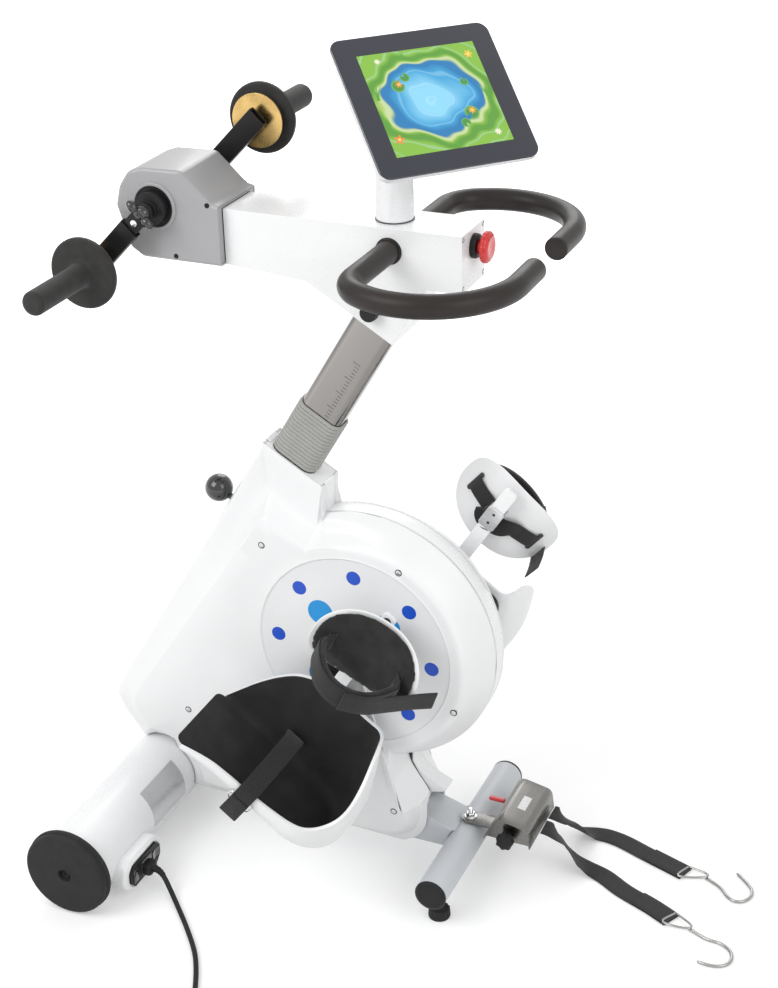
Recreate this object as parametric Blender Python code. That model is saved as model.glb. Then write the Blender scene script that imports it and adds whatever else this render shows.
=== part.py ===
"""Motorised arm and leg trainer, built piece by piece.

Metres, +Z up. The user sits on the +X side, +Y is the trainer's far side and y = 0 is its middle plane.
Every size below is measured from the display pole's axis, where x = 0. The finished model is then moved
along X by POLE_X, so that its origin lies on the floor under the middle of the fixed base and head.
"""
import math

import bmesh
import bpy
import numpy as np
from mathutils import Vector

# Clearances
GAP = 0.0003            # between two pieces that touch
RUN = 0.0005            # round a piece that turns or slides
AIR = 0.0020            # beside a part that swings past another

# Front tube with its transport wheels
WHEEL_R = 0.0627
WHEEL_WIDE = 0.020
TUBE_X = -0.374
TUBE_R = 0.0525
TUBE_WALL = 0.003
TUBE_HALF = 0.2807
AXLE_R = 0.008
AXLE_IN = 0.018

# Mains inlet on the front tube
INLET_FROM_END = 0.0682   # from the tube's near end to the inlet's middle
INLET_Y = INLET_FROM_END - TUBE_HALF
INLET_Z = 0.0400
INLET_FACE_X = -0.3050
INLET_LONG = 0.100
INLET_HIGH = 0.050
SOCKET_LONG = 0.077
SOCKET_HIGH = 0.033
SOCKET_PROUD = 0.0035
SOCKET_CHAMFER = 0.009
ROCKER_LONG = 0.020
ROCKER_HIGH = 0.013
ROCKER_Y = INLET_Y + 0.0260
CONNECTOR_Y = INLET_Y + 0.0020
CONNECTOR_LONG = 0.011
CONNECTOR_WIDE = 0.022
CONNECTOR_HIGH = 0.017
CONNECTOR_Z = 0.0345

# Mains lead
LEAD_D = 0.007
RELIEF_LONG = 0.016
RELIEF_DROP = math.radians(62.0)
COIL_X = -0.058
COIL_Y = -0.436
COIL_START = math.radians(199.0)
COIL_INNER_R = 0.0315
COIL_TURNS_PER_LAYER = 3
COIL_LAYERS = 2
COIL_STEP = 0.0086
LAYER_STEP = 0.0079
LOOP_POINTS = 24

# Base beam and rear tube
BEAM_HALF_Y = 0.030
BEAM_HIGH = 0.0905
BEAM_BEND_X = 0.034
REAR_X = 0.0948
REAR_Z = 0.0564
REAR_R = 0.0218
REAR_WALL = 0.0025
REAR_HALF = 0.151
FOOT_Y = 0.117
FOOT_R = 0.0150
FOOT_HIGH = 0.014
FOOT_STEM_R = 0.006

# Drive housing, seen from the side as (x, z)
CRANK_X = -0.047
CRANK_Z = 0.351
ROUND_R = 0.184
SEAM_Y = 0.0145
PANEL_Y = 0.0590
COVER_WALL = 0.003
SPINE_BAND = 0.007
EDGE_FILLET = 0.032
EDGE_RISE = 0.0015
SEAM_GROOVE = 0.0016
DIAL_R = 0.137
DIAL_STEP = 0.0012
SHAFT_HOLE_R = 0.014
MAST_TILT = math.radians(31.0)
MAST_X = -0.1035
MAST_Z = 0.6659
NECK_TOP = 0.0824       # from (MAST_X, MAST_Z) down the mast to the top of the neck
NECK_FRONT = 0.0436     # from the mast's axis to the housing's front edge
NECK_BACK = 0.0535
TOE_X = -0.4517
TOE_Z = 0.1692
TOE_LIP = 0.0035         # the spine's toe, behind the housing's corner
SADDLE_FRONT = math.radians(127.0)
SADDLE_BACK = math.radians(-14.0)
NOSE_X = 0.0440
NOSE_TOP_Z = 0.1186
NOSE_LOW_Z = 0.0420
LIP_X = 0.0645
LIP_Z = 0.1280
PLATE_THICK = 0.003

# Leg drive inside the housing
SHAFT_R = 0.0085
BIG_PULLEY_R = 0.095
SMALL_PULLEY_R = 0.020
PULLEY_WIDE = 0.012
BELT_THICK = 0.002
MOTOR_X = -0.215
MOTOR_Z = 0.235
MOTOR_R = 0.042
MOTOR_LONG = 0.034
BEARING_R = 0.125
MOTOR_SEAT_R = 0.055

# Leg cranks and pedals
LEG_CRANK = 0.077
LEG_ANGLE = math.radians(229.0)
CRANK_THICK = 0.011
CRANK_WIDE = 0.028
CRANK_FACE = 0.0640     # inner face of the crank arm
CALF_BAR_THICK = 0.0055
BAR_FUSE = 0.0010        # the calf bar's depth in the pedal bracket
SHELL_SPACER = 0.0035
PLATE_WIDE = 0.044
PEDAL_PLATE_THICK = 0.010

# Foot shell, in a frame along its sole
SOLE_PITCH = math.radians(38.0)
PEDAL_S = 0.080         # pedal axle, from the toe along the sole
PEDAL_N = 0.100         # pedal axle, above the sole
SHELL_WIDE = 0.1255
SHELL_LONG = 0.237
SHELL_WALL = 0.0045
SOLE_FILLET = 0.018
FOOT_STRAP_WIDE = 0.027
FOOT_STRAP_S = 0.105
STRAP_THICK = 0.003

# Calf bar and cuff
CALF_TILT = math.radians(33.0)
CALF_BAR_WIDE = 0.020
CALF_OFFSET = 0.022     # bar's centre line, from the pedal axle
CALF_LOW = 0.018
CALF_HIGH = 0.182
CUFF_UP = 0.131         # clamp, along the bar from the pedal axle
CUFF_LONG = 0.156
CUFF_HIGH = 0.108
CUFF_CURVE_R = 0.110
CUFF_SHIFT = 0.008      # plate's middle, from the clamp along its long side
CLAMP_DEEP = 0.0145
CLAMP_LONG = 0.034
CLAMP_WIDE = 0.024
CUFF_THICK = 0.003
LINER_THICK = 0.007
CUFF_TURN = {"near": math.radians(-25.5), "far": math.radians(-42.0)}
CALF_STRAP_WIDE = 0.030
CALF_STRAP_OUT = 0.100

# Sliding mast and its ribbed sleeve
MAST_LONG = 0.060
MAST_WIDE = 0.036
MAST_CORNER = 0.011
MAST_WALL = 0.0025
MAST_IN_COLLAR = 0.030
MAST_BELOW = 0.150      # hidden length under the neck's top
SLEEVE_RIBS = 15
RIB_OUT = 0.0036
RIB_IN = 0.0016
GUIDE_LONG = 0.135
GUIDE_WALL = 0.0022
KNOB_R = 0.019
KNOB_OUT = 0.0236       # from the housing's edge to the ball's centre
KNOB_DOWN = 0.2038      # down the mast from (MAST_X, MAST_Z)
KNOB_STEM_R = 0.0045

# Head
HEAD_BACK_X = 0.100
HEAD_FRONT_X = -0.2125
HEAD_HALF_Y = 0.037
HEAD_LOW = MAST_Z + 0.1951
HEAD_HIGH = HEAD_LOW + 0.071
HEAD_WALL = 0.0025
CHIN_X = -0.104
CHIN_Z = HEAD_LOW - 0.009
COLLAR_X = -0.052
COLLAR_Z = HEAD_LOW - 0.040
STOP_Z = HEAD_LOW + 0.049
STOP_R = 0.019
STOP_STEM_R = 0.008
STOP_BASE_LONG = 0.008
STOP_TRAVEL = 0.004

# Arm drive
ARM_X = -0.3006
ARM_Z = HEAD_LOW + 0.0686
ARM_HALF_Y = 0.050
ARM_BACK_X = -0.2130
ARM_BAR_REACH = 0.068
ARM_CORNER = 0.004
ARM_SHAFT_R = 0.008
ARM_CRANK = 0.1075
ARM_ANGLE = math.radians(225.8)
ARM_BAR_WIDE = 0.022
ARM_BAR_THICK = 0.007
ARM_BAR_Y = 0.0740      # middle of the bar's thickness
ARM_SLEEVE_WIDE = 0.029
ARM_SLEEVE_WALL = 0.0022
HAND_PLATE_R = 0.035
HAND_PLATE_Y = 0.0890
HAND_PLATE_THICK = 0.003
HAND_DISC_R = 0.0458
HAND_DISC_Y = 0.1104    # outer face
HAND_DISC_THICK = 0.010
GRIP_R = 0.0155
GRIP_END_Y = 0.223
HAND_AXLE_R = 0.006
WING_LONG = 0.045

# Handlebars
BAR_R = 0.01425
BAR_Z = HEAD_LOW + 0.043
BAR_START_X = 0.007
BAR_FIRST_R = 0.050
BAR_SECOND_R = 0.105
BAR_OUT = 0.138
BAR_FIRST_TURN = math.radians(60.0)
BAR_SECOND_TURN = math.radians(120.0)
BAR_TIP_Y = 0.036

# Display
POLE_R = 0.023
POLE_WALL = 0.002
POLE_TOP = HEAD_HIGH + 0.104
SCREEN_X = 0.0560
SCREEN_Y = -0.0060
SCREEN_Z = POLE_TOP + 0.047
SCREEN_YAW = math.radians(49.2)
SCREEN_TILT = math.radians(47.9)
SCREEN_WIDE = 0.203
SCREEN_HIGH = 0.187
SCREEN_CORNER = 0.014
GLASS_THICK = 0.005
SHELL_DEEP = 0.024
HINGE_Z = POLE_TOP + 0.020
HINGE_R = 0.009
HINGE_LONG = 0.040

# Strap retainer on the rear tube
BRACKET_Z = 0.0800
BRACKET_THICK = 0.003
BRACKET_R = 0.013
HOOD_X0 = 0.124
HOOD_X1 = 0.1915
HOOD_Y0 = -0.030
HOOD_Y1 = 0.073
HOOD_TOP = 0.112
HOOD_WALL = 0.0015
SPOOL_X = 0.1600
SPOOL_Z = 0.0880
SPOOL_R = 0.0125
STAR_R = 0.0125
STAR_LONG = 0.014

# Leg straps with hooks
STRAP_WIDE = 0.030
WEB_THICK = 0.0030
HOOK_D = 0.0045

NEAR = -1
FAR = 1
SIDES = (("near", NEAR), ("far", FAR))

# Directions worked out from the sizes above
MAST_DIR = np.array([math.sin(MAST_TILT), math.cos(MAST_TILT)])
MAST_ACROSS = np.array([math.cos(MAST_TILT), -math.sin(MAST_TILT)])
MAST_POINT = np.array([MAST_X, MAST_Z])
CRANK = np.array([CRANK_X, CRANK_Z])
TUBE = np.array([TUBE_X, WHEEL_R])
BAR_FAR_X = BAR_START_X + BAR_FIRST_R + (BAR_SECOND_R - BAR_FIRST_R) * math.cos(BAR_FIRST_TURN) + BAR_SECOND_R
POLE_X = -(TOE_X + TOE_LIP + BAR_FAR_X + BAR_R) / 2


def clear_scene():
    """Remove whatever the file holds, so that only the trainer is left."""
    for item in list(bpy.data.objects):
        bpy.data.objects.remove(item, do_unlink=True)


def finish_material(name, colour, roughness, metallic=0.0):
    """A plain Principled material with one colour."""
    material = bpy.data.materials.new(name)
    material.use_nodes = True
    shader = material.node_tree.nodes["Principled BSDF"]
    shader.inputs["Base Color"].default_value = (*colour, 1.0)
    shader.inputs["Roughness"].default_value = roughness
    shader.inputs["Metallic"].default_value = metallic
    material.diffuse_color = (*colour, 1.0)
    return material


clear_scene()
FINISH = {
    "white": ((0.86, 0.87, 0.88), 0.35, 0.0),
    "grey": ((0.42, 0.43, 0.44), 0.45, 0.0),
    "black": ((0.02, 0.02, 0.022), 0.5, 0.0),
    "rubber": ((0.03, 0.03, 0.032), 0.75, 0.0),
    "sleeve": ((0.38, 0.38, 0.38), 0.7, 0.0),
    "chrome": ((0.72, 0.72, 0.73), 0.12, 1.0),
    "steel": ((0.55, 0.56, 0.57), 0.3, 1.0),
    "yellow_plate": ((0.72, 0.55, 0.30), 0.35, 1.0),
    "red": ((0.75, 0.03, 0.02), 0.35, 0.0),
    "glass": ((0.02, 0.022, 0.03), 0.12, 0.0),
    "webbing": ((0.015, 0.015, 0.016), 0.85, 0.0),
    "foam": ((0.03, 0.03, 0.03), 0.9, 0.0),
}


def new_empty(name, parent, location):
    """A parent on a joint's axis. It is no piece of the trainer."""
    empty = bpy.data.objects.new(name, None)
    empty.empty_display_size = 0.02
    empty.parent = parent
    empty.location = location
    bpy.context.scene.collection.objects.link(empty)
    return empty


TRAINER = new_empty("trainer_origin", None, (POLE_X, 0.0, 0.0))


def add_piece(name, bm, finish, parent=TRAINER, location=(0.0, 0.0, 0.0), origin=(0.0, 0.0, 0.0)):
    """Turn a bmesh into a named piece. Its points are given in the pole's frame, and origin is the
    point there that becomes the piece's own origin, such as a point on the axis it turns about."""
    bmesh.ops.recalc_face_normals(bm, faces=bm.faces)
    bmesh.ops.translate(bm, verts=bm.verts, vec=-Vector(origin))
    mesh = bpy.data.meshes.new(name)
    bm.to_mesh(mesh)
    bm.free()
    mesh.shade_smooth()
    mesh.set_sharp_from_angle(angle=math.radians(35.0))
    mesh.materials.append(finish_material(name, *FINISH[finish]))
    piece = bpy.data.objects.new(name, mesh)
    piece.parent = parent
    piece.location = location
    bpy.context.scene.collection.objects.link(piece)
    return piece


def cut(piece, cutter_bm, name, operation="DIFFERENCE"):
    """Cut a hidden solid out of a piece, or join it to the piece. Its points are in the piece's frame."""
    bmesh.ops.recalc_face_normals(cutter_bm, faces=cutter_bm.faces)
    mesh = bpy.data.meshes.new(name)
    cutter_bm.to_mesh(mesh)
    cutter_bm.free()
    cutter = bpy.data.objects.new(name, mesh)
    cutter.hide_render = True
    cutter.display_type = "WIRE"
    cutter.parent = piece
    bpy.context.scene.collection.objects.link(cutter)
    boolean = piece.modifiers.new(name, "BOOLEAN")
    boolean.object = cutter
    boolean.operation = operation
    return cutter


def bevel(piece, width, segments=2, angle=40.0):
    """Round a piece's sharp edges."""
    modifier = piece.modifiers.new("round_edges", "BEVEL")
    modifier.width = width
    modifier.segments = segments
    modifier.limit_method = "ANGLE"
    modifier.angle_limit = math.radians(angle)
    modifier.harden_normals = False
    return modifier


def solidify(piece, thickness):
    """Give a sheet its wall, on the side away from its normals."""
    modifier = piece.modifiers.new("wall", "SOLIDIFY")
    modifier.thickness = thickness
    modifier.offset = -1.0
    modifier.use_even_offset = False
    return modifier


def ring_mesh(rings, closed_loop=False, cap_first=True, cap_last=True, merge=0.0):
    """Join rings of points, each an (n, 3) array with the same n. closed_loop joins the last ring to the
    first one, as a bored piece needs. Otherwise each end is capped."""
    bm = bmesh.new()
    rows = [[bm.verts.new(Vector(point)) for point in np.asarray(ring, float)] for ring in rings]
    count = len(rows[0])
    pairs = list(zip(rows[:-1], rows[1:]))
    if closed_loop:
        pairs.append((rows[-1], rows[0]))
    for lower, upper in pairs:
        for i in range(count):
            j = (i + 1) % count
            bm.faces.new((lower[i], lower[j], upper[j], upper[i]))
    if not closed_loop and cap_first:
        bm.faces.new(rows[0])
    if not closed_loop and cap_last:
        bm.faces.new(rows[-1])
    if merge:
        bmesh.ops.remove_doubles(bm, verts=bm.verts, dist=merge)
    return bm


def prism(outline, low, high, axis="Y"):
    """A closed outline pushed along one axis. The outline is (x, z) for Y, (x, y) for Z, (y, z) for X."""
    def place(level):
        if axis == "Y":
            return [(a, level, b) for a, b in outline]
        if axis == "Z":
            return [(a, b, level) for a, b in outline]
        return [(level, a, b) for a, b in outline]
    return ring_mesh([place(low), place(high)])


def turned(profile, centre, axis, sides, bored=False):
    """Turn a profile of (radius, height) about an axis through centre. A radius of 0 closes an end.
    bored joins the profile's end to its start, for a piece with a hole along its axis."""
    axis = Vector(axis).normalized()
    across = axis.orthogonal().normalized()
    if abs(axis.z) < 0.9:
        across = Vector((0.0, 0.0, -1.0)) - axis * axis.dot(Vector((0.0, 0.0, -1.0)))
        across.normalize()
    other = axis.cross(across)
    turn = np.linspace(0.0, 2.0 * math.pi, sides, endpoint=False)
    rings = []
    for radius, height in profile:
        base = np.array(Vector(centre) + axis * height)
        rings.append(base + radius * (np.outer(np.cos(turn), across) + np.outer(np.sin(turn), other)))
    if bored:
        return ring_mesh(rings, closed_loop=True)
    start = profile[0][0] > 0.0
    end = profile[-1][0] > 0.0
    return ring_mesh(rings, cap_first=start, cap_last=end, merge=1e-7)


def rounded_rectangle(long, wide, corner, steps=3):
    """Corner arcs of a rectangle centred on the origin, anticlockwise."""
    points = []
    for quarter, (sx, sy) in enumerate(((1, 1), (-1, 1), (-1, -1), (1, -1))):
        centre = np.array([sx * (long / 2 - corner), sy * (wide / 2 - corner)])
        for step in range(steps + 1):
            angle = math.pi / 2 * (quarter + step / steps)
            points.append(centre + corner * np.array([math.cos(angle), math.sin(angle)]))
    return np.array(points)


def stadium(start, end, radius, steps=6):
    """Outline round two points at one distance, in the plane."""
    start = np.asarray(start, float)
    end = np.asarray(end, float)
    along = end - start
    heading = math.atan2(along[1], along[0])
    points = []
    for centre, first in ((end, heading - math.pi / 2), (start, heading + math.pi / 2)):
        for step in range(steps + 1):
            angle = first + math.pi * step / steps
            points.append(centre + radius * np.array([math.cos(angle), math.sin(angle)]))
    return np.array(points)


def arc(centre, radius, first, last, count):
    """Points on a circle, both ends included."""
    angles = np.linspace(first, last, count)
    return np.asarray(centre) + radius * np.column_stack((np.cos(angles), np.sin(angles)))


def wire(name, points, radius, finish, parent=TRAINER, resolution=2, origin=(0.0, 0.0, 0.0)):
    """A round tube with closed ends along a list of points."""
    curve = bpy.data.curves.new(name, "CURVE")
    curve.dimensions = "3D"
    curve.bevel_depth = radius
    curve.bevel_resolution = resolution
    curve.use_fill_caps = True
    spline = curve.splines.new("POLY")
    spline.points.add(len(points) - 1)
    for target, point in zip(spline.points, points):
        target.co = (*(Vector(point) - Vector(origin)), 1.0)
    curve.materials.append(finish_material(name, *FINISH[finish]))
    piece = bpy.data.objects.new(name, curve)
    piece.parent = parent
    bpy.context.scene.collection.objects.link(piece)
    return piece


def smooth_path(points, step, start_heading=None):
    """Even points on a smooth curve through a few chosen ones (a centripetal Catmull-Rom curve)."""
    points = [np.asarray(point, float) for point in points]
    before = points[0] * 2 - points[1]
    if start_heading is not None:
        before = points[0] - np.asarray(start_heading, float)
    chain = [before] + points + [points[-1] * 2 - points[-2]]
    fine = []
    for a, b, c, d in zip(chain, chain[1:], chain[2:], chain[3:]):
        knots = [0.0]
        for first, second in ((a, b), (b, c), (c, d)):
            knots.append(knots[-1] + math.sqrt(max(np.linalg.norm(second - first), 1e-6)))
        for t in np.linspace(knots[1], knots[2], 24, endpoint=False):
            lower = [(knots[k + 1] - t) / (knots[k + 1] - knots[k]) * p
                     + (t - knots[k]) / (knots[k + 1] - knots[k]) * q
                     for k, (p, q) in enumerate(((a, b), (b, c), (c, d)))]
            middle = [(knots[k + 2] - t) / (knots[k + 2] - knots[k]) * lower[k]
                      + (t - knots[k]) / (knots[k + 2] - knots[k]) * lower[k + 1] for k in range(2)]
            fine.append((knots[2] - t) / (knots[2] - knots[1]) * middle[0]
                        + (t - knots[1]) / (knots[2] - knots[1]) * middle[1])
    fine.append(points[-1])
    fine = np.array(fine)
    reach = np.concatenate(([0.0], np.cumsum(np.linalg.norm(np.diff(fine, axis=0), axis=1))))
    count = max(2, int(round(reach[-1] / step)) + 1)
    even = np.linspace(0.0, reach[-1], count)
    return np.column_stack([np.interp(even, reach, fine[:, k]) for k in range(3)])


def side_point(mast_along, mast_across):
    """The (x, z) of a point in the mast's own directions, from (MAST_X, MAST_Z)."""
    return MAST_POINT + mast_along * MAST_DIR + mast_across * MAST_ACROSS


# Front tube, transport wheels and mains inlet

def build_front_tube():
    """Hollow tube across the front, closed by an end disc with the axle's hole on each side."""
    hole = AXLE_R + RUN
    bore = TUBE_R - TUBE_WALL
    disc = 2 * TUBE_WALL
    profile = [(TUBE_R, -TUBE_HALF), (TUBE_R, TUBE_HALF), (hole, TUBE_HALF), (hole, TUBE_HALF - disc),
               (bore, TUBE_HALF - disc), (bore, disc - TUBE_HALF), (hole, disc - TUBE_HALF),
               (hole, -TUBE_HALF)]
    bm = turned(profile, (TUBE_X, 0.0, WHEEL_R), (0, 1, 0), 28, bored=True)
    return add_piece("front_tube", bm, "white")


def build_wheel(side, sign):
    """Wheel with a stepped outer face and a stub axle that turns in the tube's end disc."""
    inner = TUBE_HALF + RUN
    rim = 0.0035
    profile = [(0.0, -AXLE_IN), (AXLE_R, -AXLE_IN), (AXLE_R, 0.0), (WHEEL_R - rim, 0.0), (WHEEL_R, rim),
               (WHEEL_R, WHEEL_WIDE - rim), (WHEEL_R - rim, WHEEL_WIDE), (0.0500, WHEEL_WIDE),
               (0.0485, WHEEL_WIDE - 0.0015), (0.0110, WHEEL_WIDE - 0.0015), (0.0095, WHEEL_WIDE - 0.0080),
               (0.0, WHEEL_WIDE - 0.0080)]
    centre = (TUBE_X, sign * inner, WHEEL_R)
    joint = new_empty("wheel_axis_" + side, TRAINER, centre)
    bm = turned(profile, centre, (0, sign, 0), 28)
    return add_piece("wheel_" + side, bm, "black", parent=joint, origin=centre)


def stadium_block(length, height, chamfer=None):
    """Outline in (y, z) round the inlet's centre, with round ends or cut corners."""
    if chamfer is None:
        half = (length - height) / 2
        return stadium((INLET_Y - half, INLET_Z), (INLET_Y + half, INLET_Z), height / 2, steps=6)
    y, z, c = length / 2, height / 2, chamfer
    corners = [(y, z - c), (y - c, z), (c - y, z), (-y, z - c), (-y, c - z), (c - y, -z), (y - c, -z),
               (y, c - z)]
    return [(INLET_Y + a, INLET_Z + b) for a, b in corners]


def build_inlet():
    """Stadium block on the tube's back, with the socket plate, its rocker switch and the lead's plug."""
    block = add_piece("inlet_housing", prism(stadium_block(INLET_LONG, INLET_HIGH), TUBE_X + 0.015,
                                             INLET_FACE_X, axis="X"), "white")
    cut(block, turned([(0.0, -INLET_LONG), (TUBE_R + GAP, -INLET_LONG), (TUBE_R + GAP, INLET_LONG),
                       (0.0, INLET_LONG)], (TUBE_X, INLET_Y, WHEEL_R), (0, 1, 0), 32), "tube_seat")
    face = INLET_FACE_X + GAP
    front = face + SOCKET_PROUD
    plate = add_piece("mains_inlet", prism(stadium_block(SOCKET_LONG, SOCKET_HIGH, SOCKET_CHAMFER), face,
                                           front, axis="X"), "black")
    long, high = ROCKER_LONG / 2 + RUN, ROCKER_HIGH / 2 + RUN
    well = [(ROCKER_Y - long, INLET_Z - high), (ROCKER_Y + long, INLET_Z - high),
            (ROCKER_Y + long, INLET_Z + high), (ROCKER_Y - long, INLET_Z + high)]
    cut(plate, prism(well, face - 0.01, front + 0.01, axis="X"), "rocker_well")
    pivot = (front - 0.0010, ROCKER_Y, INLET_Z)
    joint = new_empty("rocker_axis", TRAINER, pivot)
    half = ROCKER_LONG / 2
    shape = [(-half, -0.0015), (half, -0.0015), (half, 0.0018), (0.0, 0.0009), (-half, 0.0030)]
    rocker = ring_mesh([[(pivot[0] + depth, ROCKER_Y + along, INLET_Z + level)
                         for along, depth in shape]
                        for level in (-ROCKER_HIGH / 2, ROCKER_HIGH / 2)])
    add_piece("power_rocker", rocker, "black", parent=joint, origin=pivot)
    return front


def build_connector(front):
    """Lead's plug in the inlet, ending in a tapered strain relief that bends down to the floor."""
    rings = []
    start = front + GAP
    for x, scale in ((start, 1.0), (start + 0.75 * CONNECTOR_LONG, 0.95), (start + CONNECTOR_LONG, 0.72)):
        outline = rounded_rectangle(CONNECTOR_WIDE * scale, CONNECTOR_HIGH * scale, 0.004 * scale)
        rings.append([(x, CONNECTOR_Y + a, CONNECTOR_Z + b) for a, b in outline])
    bend_r = RELIEF_LONG / RELIEF_DROP
    circle = np.linspace(0.0, 2 * math.pi, 16, endpoint=False) + math.pi / 32
    for share in (0.15, 0.40, 0.70, 1.0):
        drop = share * RELIEF_DROP
        radius = LEAD_D * (0.78 - 0.20 * share)
        x = start + CONNECTOR_LONG + bend_r * math.sin(drop)
        z = CONNECTOR_Z - bend_r * (1 - math.cos(drop))
        rings.append([(x + radius * math.sin(a) * math.sin(drop), CONNECTOR_Y + radius * math.cos(a),
                       z + radius * math.sin(a) * math.cos(drop)) for a in circle])
    add_piece("lead_connector", ring_mesh(rings), "black")
    return np.array([x, CONNECTOR_Y, z]), np.array([math.cos(RELIEF_DROP), 0.0, -math.sin(RELIEF_DROP)])


def coil_points():
    """The coil's points: loops that spiral in and out, and climb where the spiral turns back."""
    points = []
    per_layer = COIL_TURNS_PER_LAYER * LOOP_POINTS
    half_turn = LOOP_POINTS // 2
    angle = COIL_START
    radius = COIL_INNER_R + COIL_TURNS_PER_LAYER * COIL_STEP
    level = LEAD_D / 2 + GAP
    step_angle = 2 * math.pi / LOOP_POINTS
    for layer in range(COIL_LAYERS):
        inward = -1 if layer % 2 == 0 else 1
        for _ in range(per_layer):
            points.append((radius, angle, level))
            angle += step_angle
            radius += inward * COIL_STEP / LOOP_POINTS
        if layer < COIL_LAYERS - 1:
            for step in range(half_turn):
                points.append((radius, angle, level + LAYER_STEP * (step / half_turn)))
                angle += step_angle
            level += LAYER_STEP
    points.append((radius, angle, level))
    return np.array([(COIL_X + r * math.cos(a), COIL_Y + r * math.sin(a), z) for r, a, z in points])


def least_gap(points, diameter):
    """Least gap from a tube's surface to itself, over points more than 3 diameters apart along it."""
    reach = np.concatenate(([0.0], np.cumsum(np.linalg.norm(np.diff(points, axis=0), axis=1))))
    best = 1.0
    for i in range(len(points)):
        far = reach - reach[i] > 3 * diameter
        if far.any():
            best = min(best, float(np.min(np.linalg.norm(points[far] - points[i], axis=1))))
    return best - diameter


def build_lead(exit_point, exit_heading):
    """Mains lead: from the connector to the floor, along it, and into a flat coil with its plug."""
    low = LEAD_D / 2 + GAP
    coil = coil_points()
    ahead = (coil[0] - coil[1]) / np.linalg.norm(coil[0] - coil[1])
    join = coil[0] + ahead * (LEAD_D + GAP)
    coil = np.vstack(([coil[0] + ahead * LEAD_D], coil))
    away = (coil[-1] - coil[-2]) / np.linalg.norm(coil[-1] - coil[-2])
    coil = np.vstack((coil, [coil[-1] + away * LEAD_D]))
    start = exit_point + exit_heading * GAP
    straight = start + exit_heading * LEAD_D
    route = [straight, (-0.2590, CONNECTOR_Y - 0.0095, 0.0080), (-0.2310, CONNECTOR_Y - 0.0365, low),
             (-0.1980, -0.2820, low),
             (-0.1730, -0.3120, low), (-0.1590, -0.3340, low), (-0.1446, -0.3613, low),
             (-0.1320, -0.3900, low), join + ahead * 0.020, join]
    points = smooth_path(route, 2.0 * LEAD_D, start_heading=exit_heading * 0.01)
    points = np.vstack(([start], points))
    points[:, 2] = np.maximum(points[:, 2], low)
    wire("mains_lead", points, LEAD_D / 2, "rubber", resolution=2)
    wire("lead_coil", coil, LEAD_D / 2, "rubber", resolution=1)
    print("mains lead: stretch %.3f m, coil %.3f m, least gap in the coil %.2f mm" % (
        np.linalg.norm(np.diff(points, axis=0), axis=1).sum(),
        np.linalg.norm(np.diff(coil, axis=0), axis=1).sum(), 1000 * least_gap(coil, LEAD_D)))
    build_mains_plug(coil[-1] + away * GAP, away)


def build_mains_plug(point, heading):
    """Moulded plug with two flat blades, lying on the coil's top layer."""
    heading = np.array([heading[0], heading[1], 0.0])
    heading /= np.linalg.norm(heading)
    across = np.array([-heading[1], heading[0], 0.0])
    up = np.array([0.0, 0.0, 1.0])
    rings = []
    drop = point[2] - 0.0085
    for along, wide, high, sink in ((0.0, 0.009, 0.009, 0.0), (0.014, 0.010, 0.010, 0.3),
                                    (0.018, 0.020, 0.015, 0.9), (0.040, 0.024, 0.016, 1.0),
                                    (0.042, 0.022, 0.014, 1.0)):
        outline = rounded_rectangle(wide, high, 0.35 * high)
        rings.append([point + heading * along + across * a + up * (b - sink * drop) for a, b in outline])
    plug = add_piece("mains_plug", ring_mesh(rings), "black")
    for blade, offset in enumerate((-0.0063, 0.0063)):
        outline = [(-0.00075, -0.0032), (0.00075, -0.0032), (0.00075, 0.0032), (-0.00075, 0.0032)]
        body = ring_mesh([[point + heading * along + across * (offset + a) + up * (b - drop)
                           for a, b in outline]
                          for along in (0.036, 0.059)])
        cut(plug, body, "blade_%d" % blade, "UNION")


# Base beam, rear tube and levelling feet

def build_base():
    """Welded beam to the rear tube, which stands on two levelling feet."""
    seat = arc((REAR_X, REAR_Z), REAR_R + GAP, math.radians(212.0), math.radians(123.0), 7)
    tube_seat = arc(TUBE, TUBE_R + GAP, math.radians(-19.6), math.radians(31.0), 7)
    outline = [tuple(p) for p in tube_seat]
    outline += [(BEAM_BEND_X, BEAM_HIGH)]
    outline += [tuple(p) for p in seat[::-1]]
    add_piece("base_beam", prism(outline, -BEAM_HALF_Y, BEAM_HALF_Y), "grey")
    bore = REAR_R - REAR_WALL
    half = REAR_HALF
    tube = turned([(REAR_R, -half), (REAR_R, half), (bore, half), (bore, -half)], (REAR_X, 0.0, REAR_Z),
                  (0, 1, 0), 24, bored=True)
    add_piece("rear_tube", tube, "grey")
    for side, sign in SIDES:
        centre = (REAR_X, sign * FOOT_Y, 0.0)
        top = REAR_Z - REAR_R - GAP - 0.0002
        joint = new_empty("foot_axis_" + side, TRAINER, centre)
        foot = turned([(0.0, 0.0), (FOOT_R - 0.0015, 0.0), (FOOT_R, 0.003), (FOOT_R, FOOT_HIGH - 0.003),
                       (FOOT_R - 0.003, FOOT_HIGH), (FOOT_STEM_R, FOOT_HIGH), (FOOT_STEM_R, top),
                       (0.0, top)], centre, (0, 0, 1), 16)
        add_piece("levelling_foot_" + side, foot, "rubber", parent=joint, origin=centre)


# Drive housing

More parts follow.
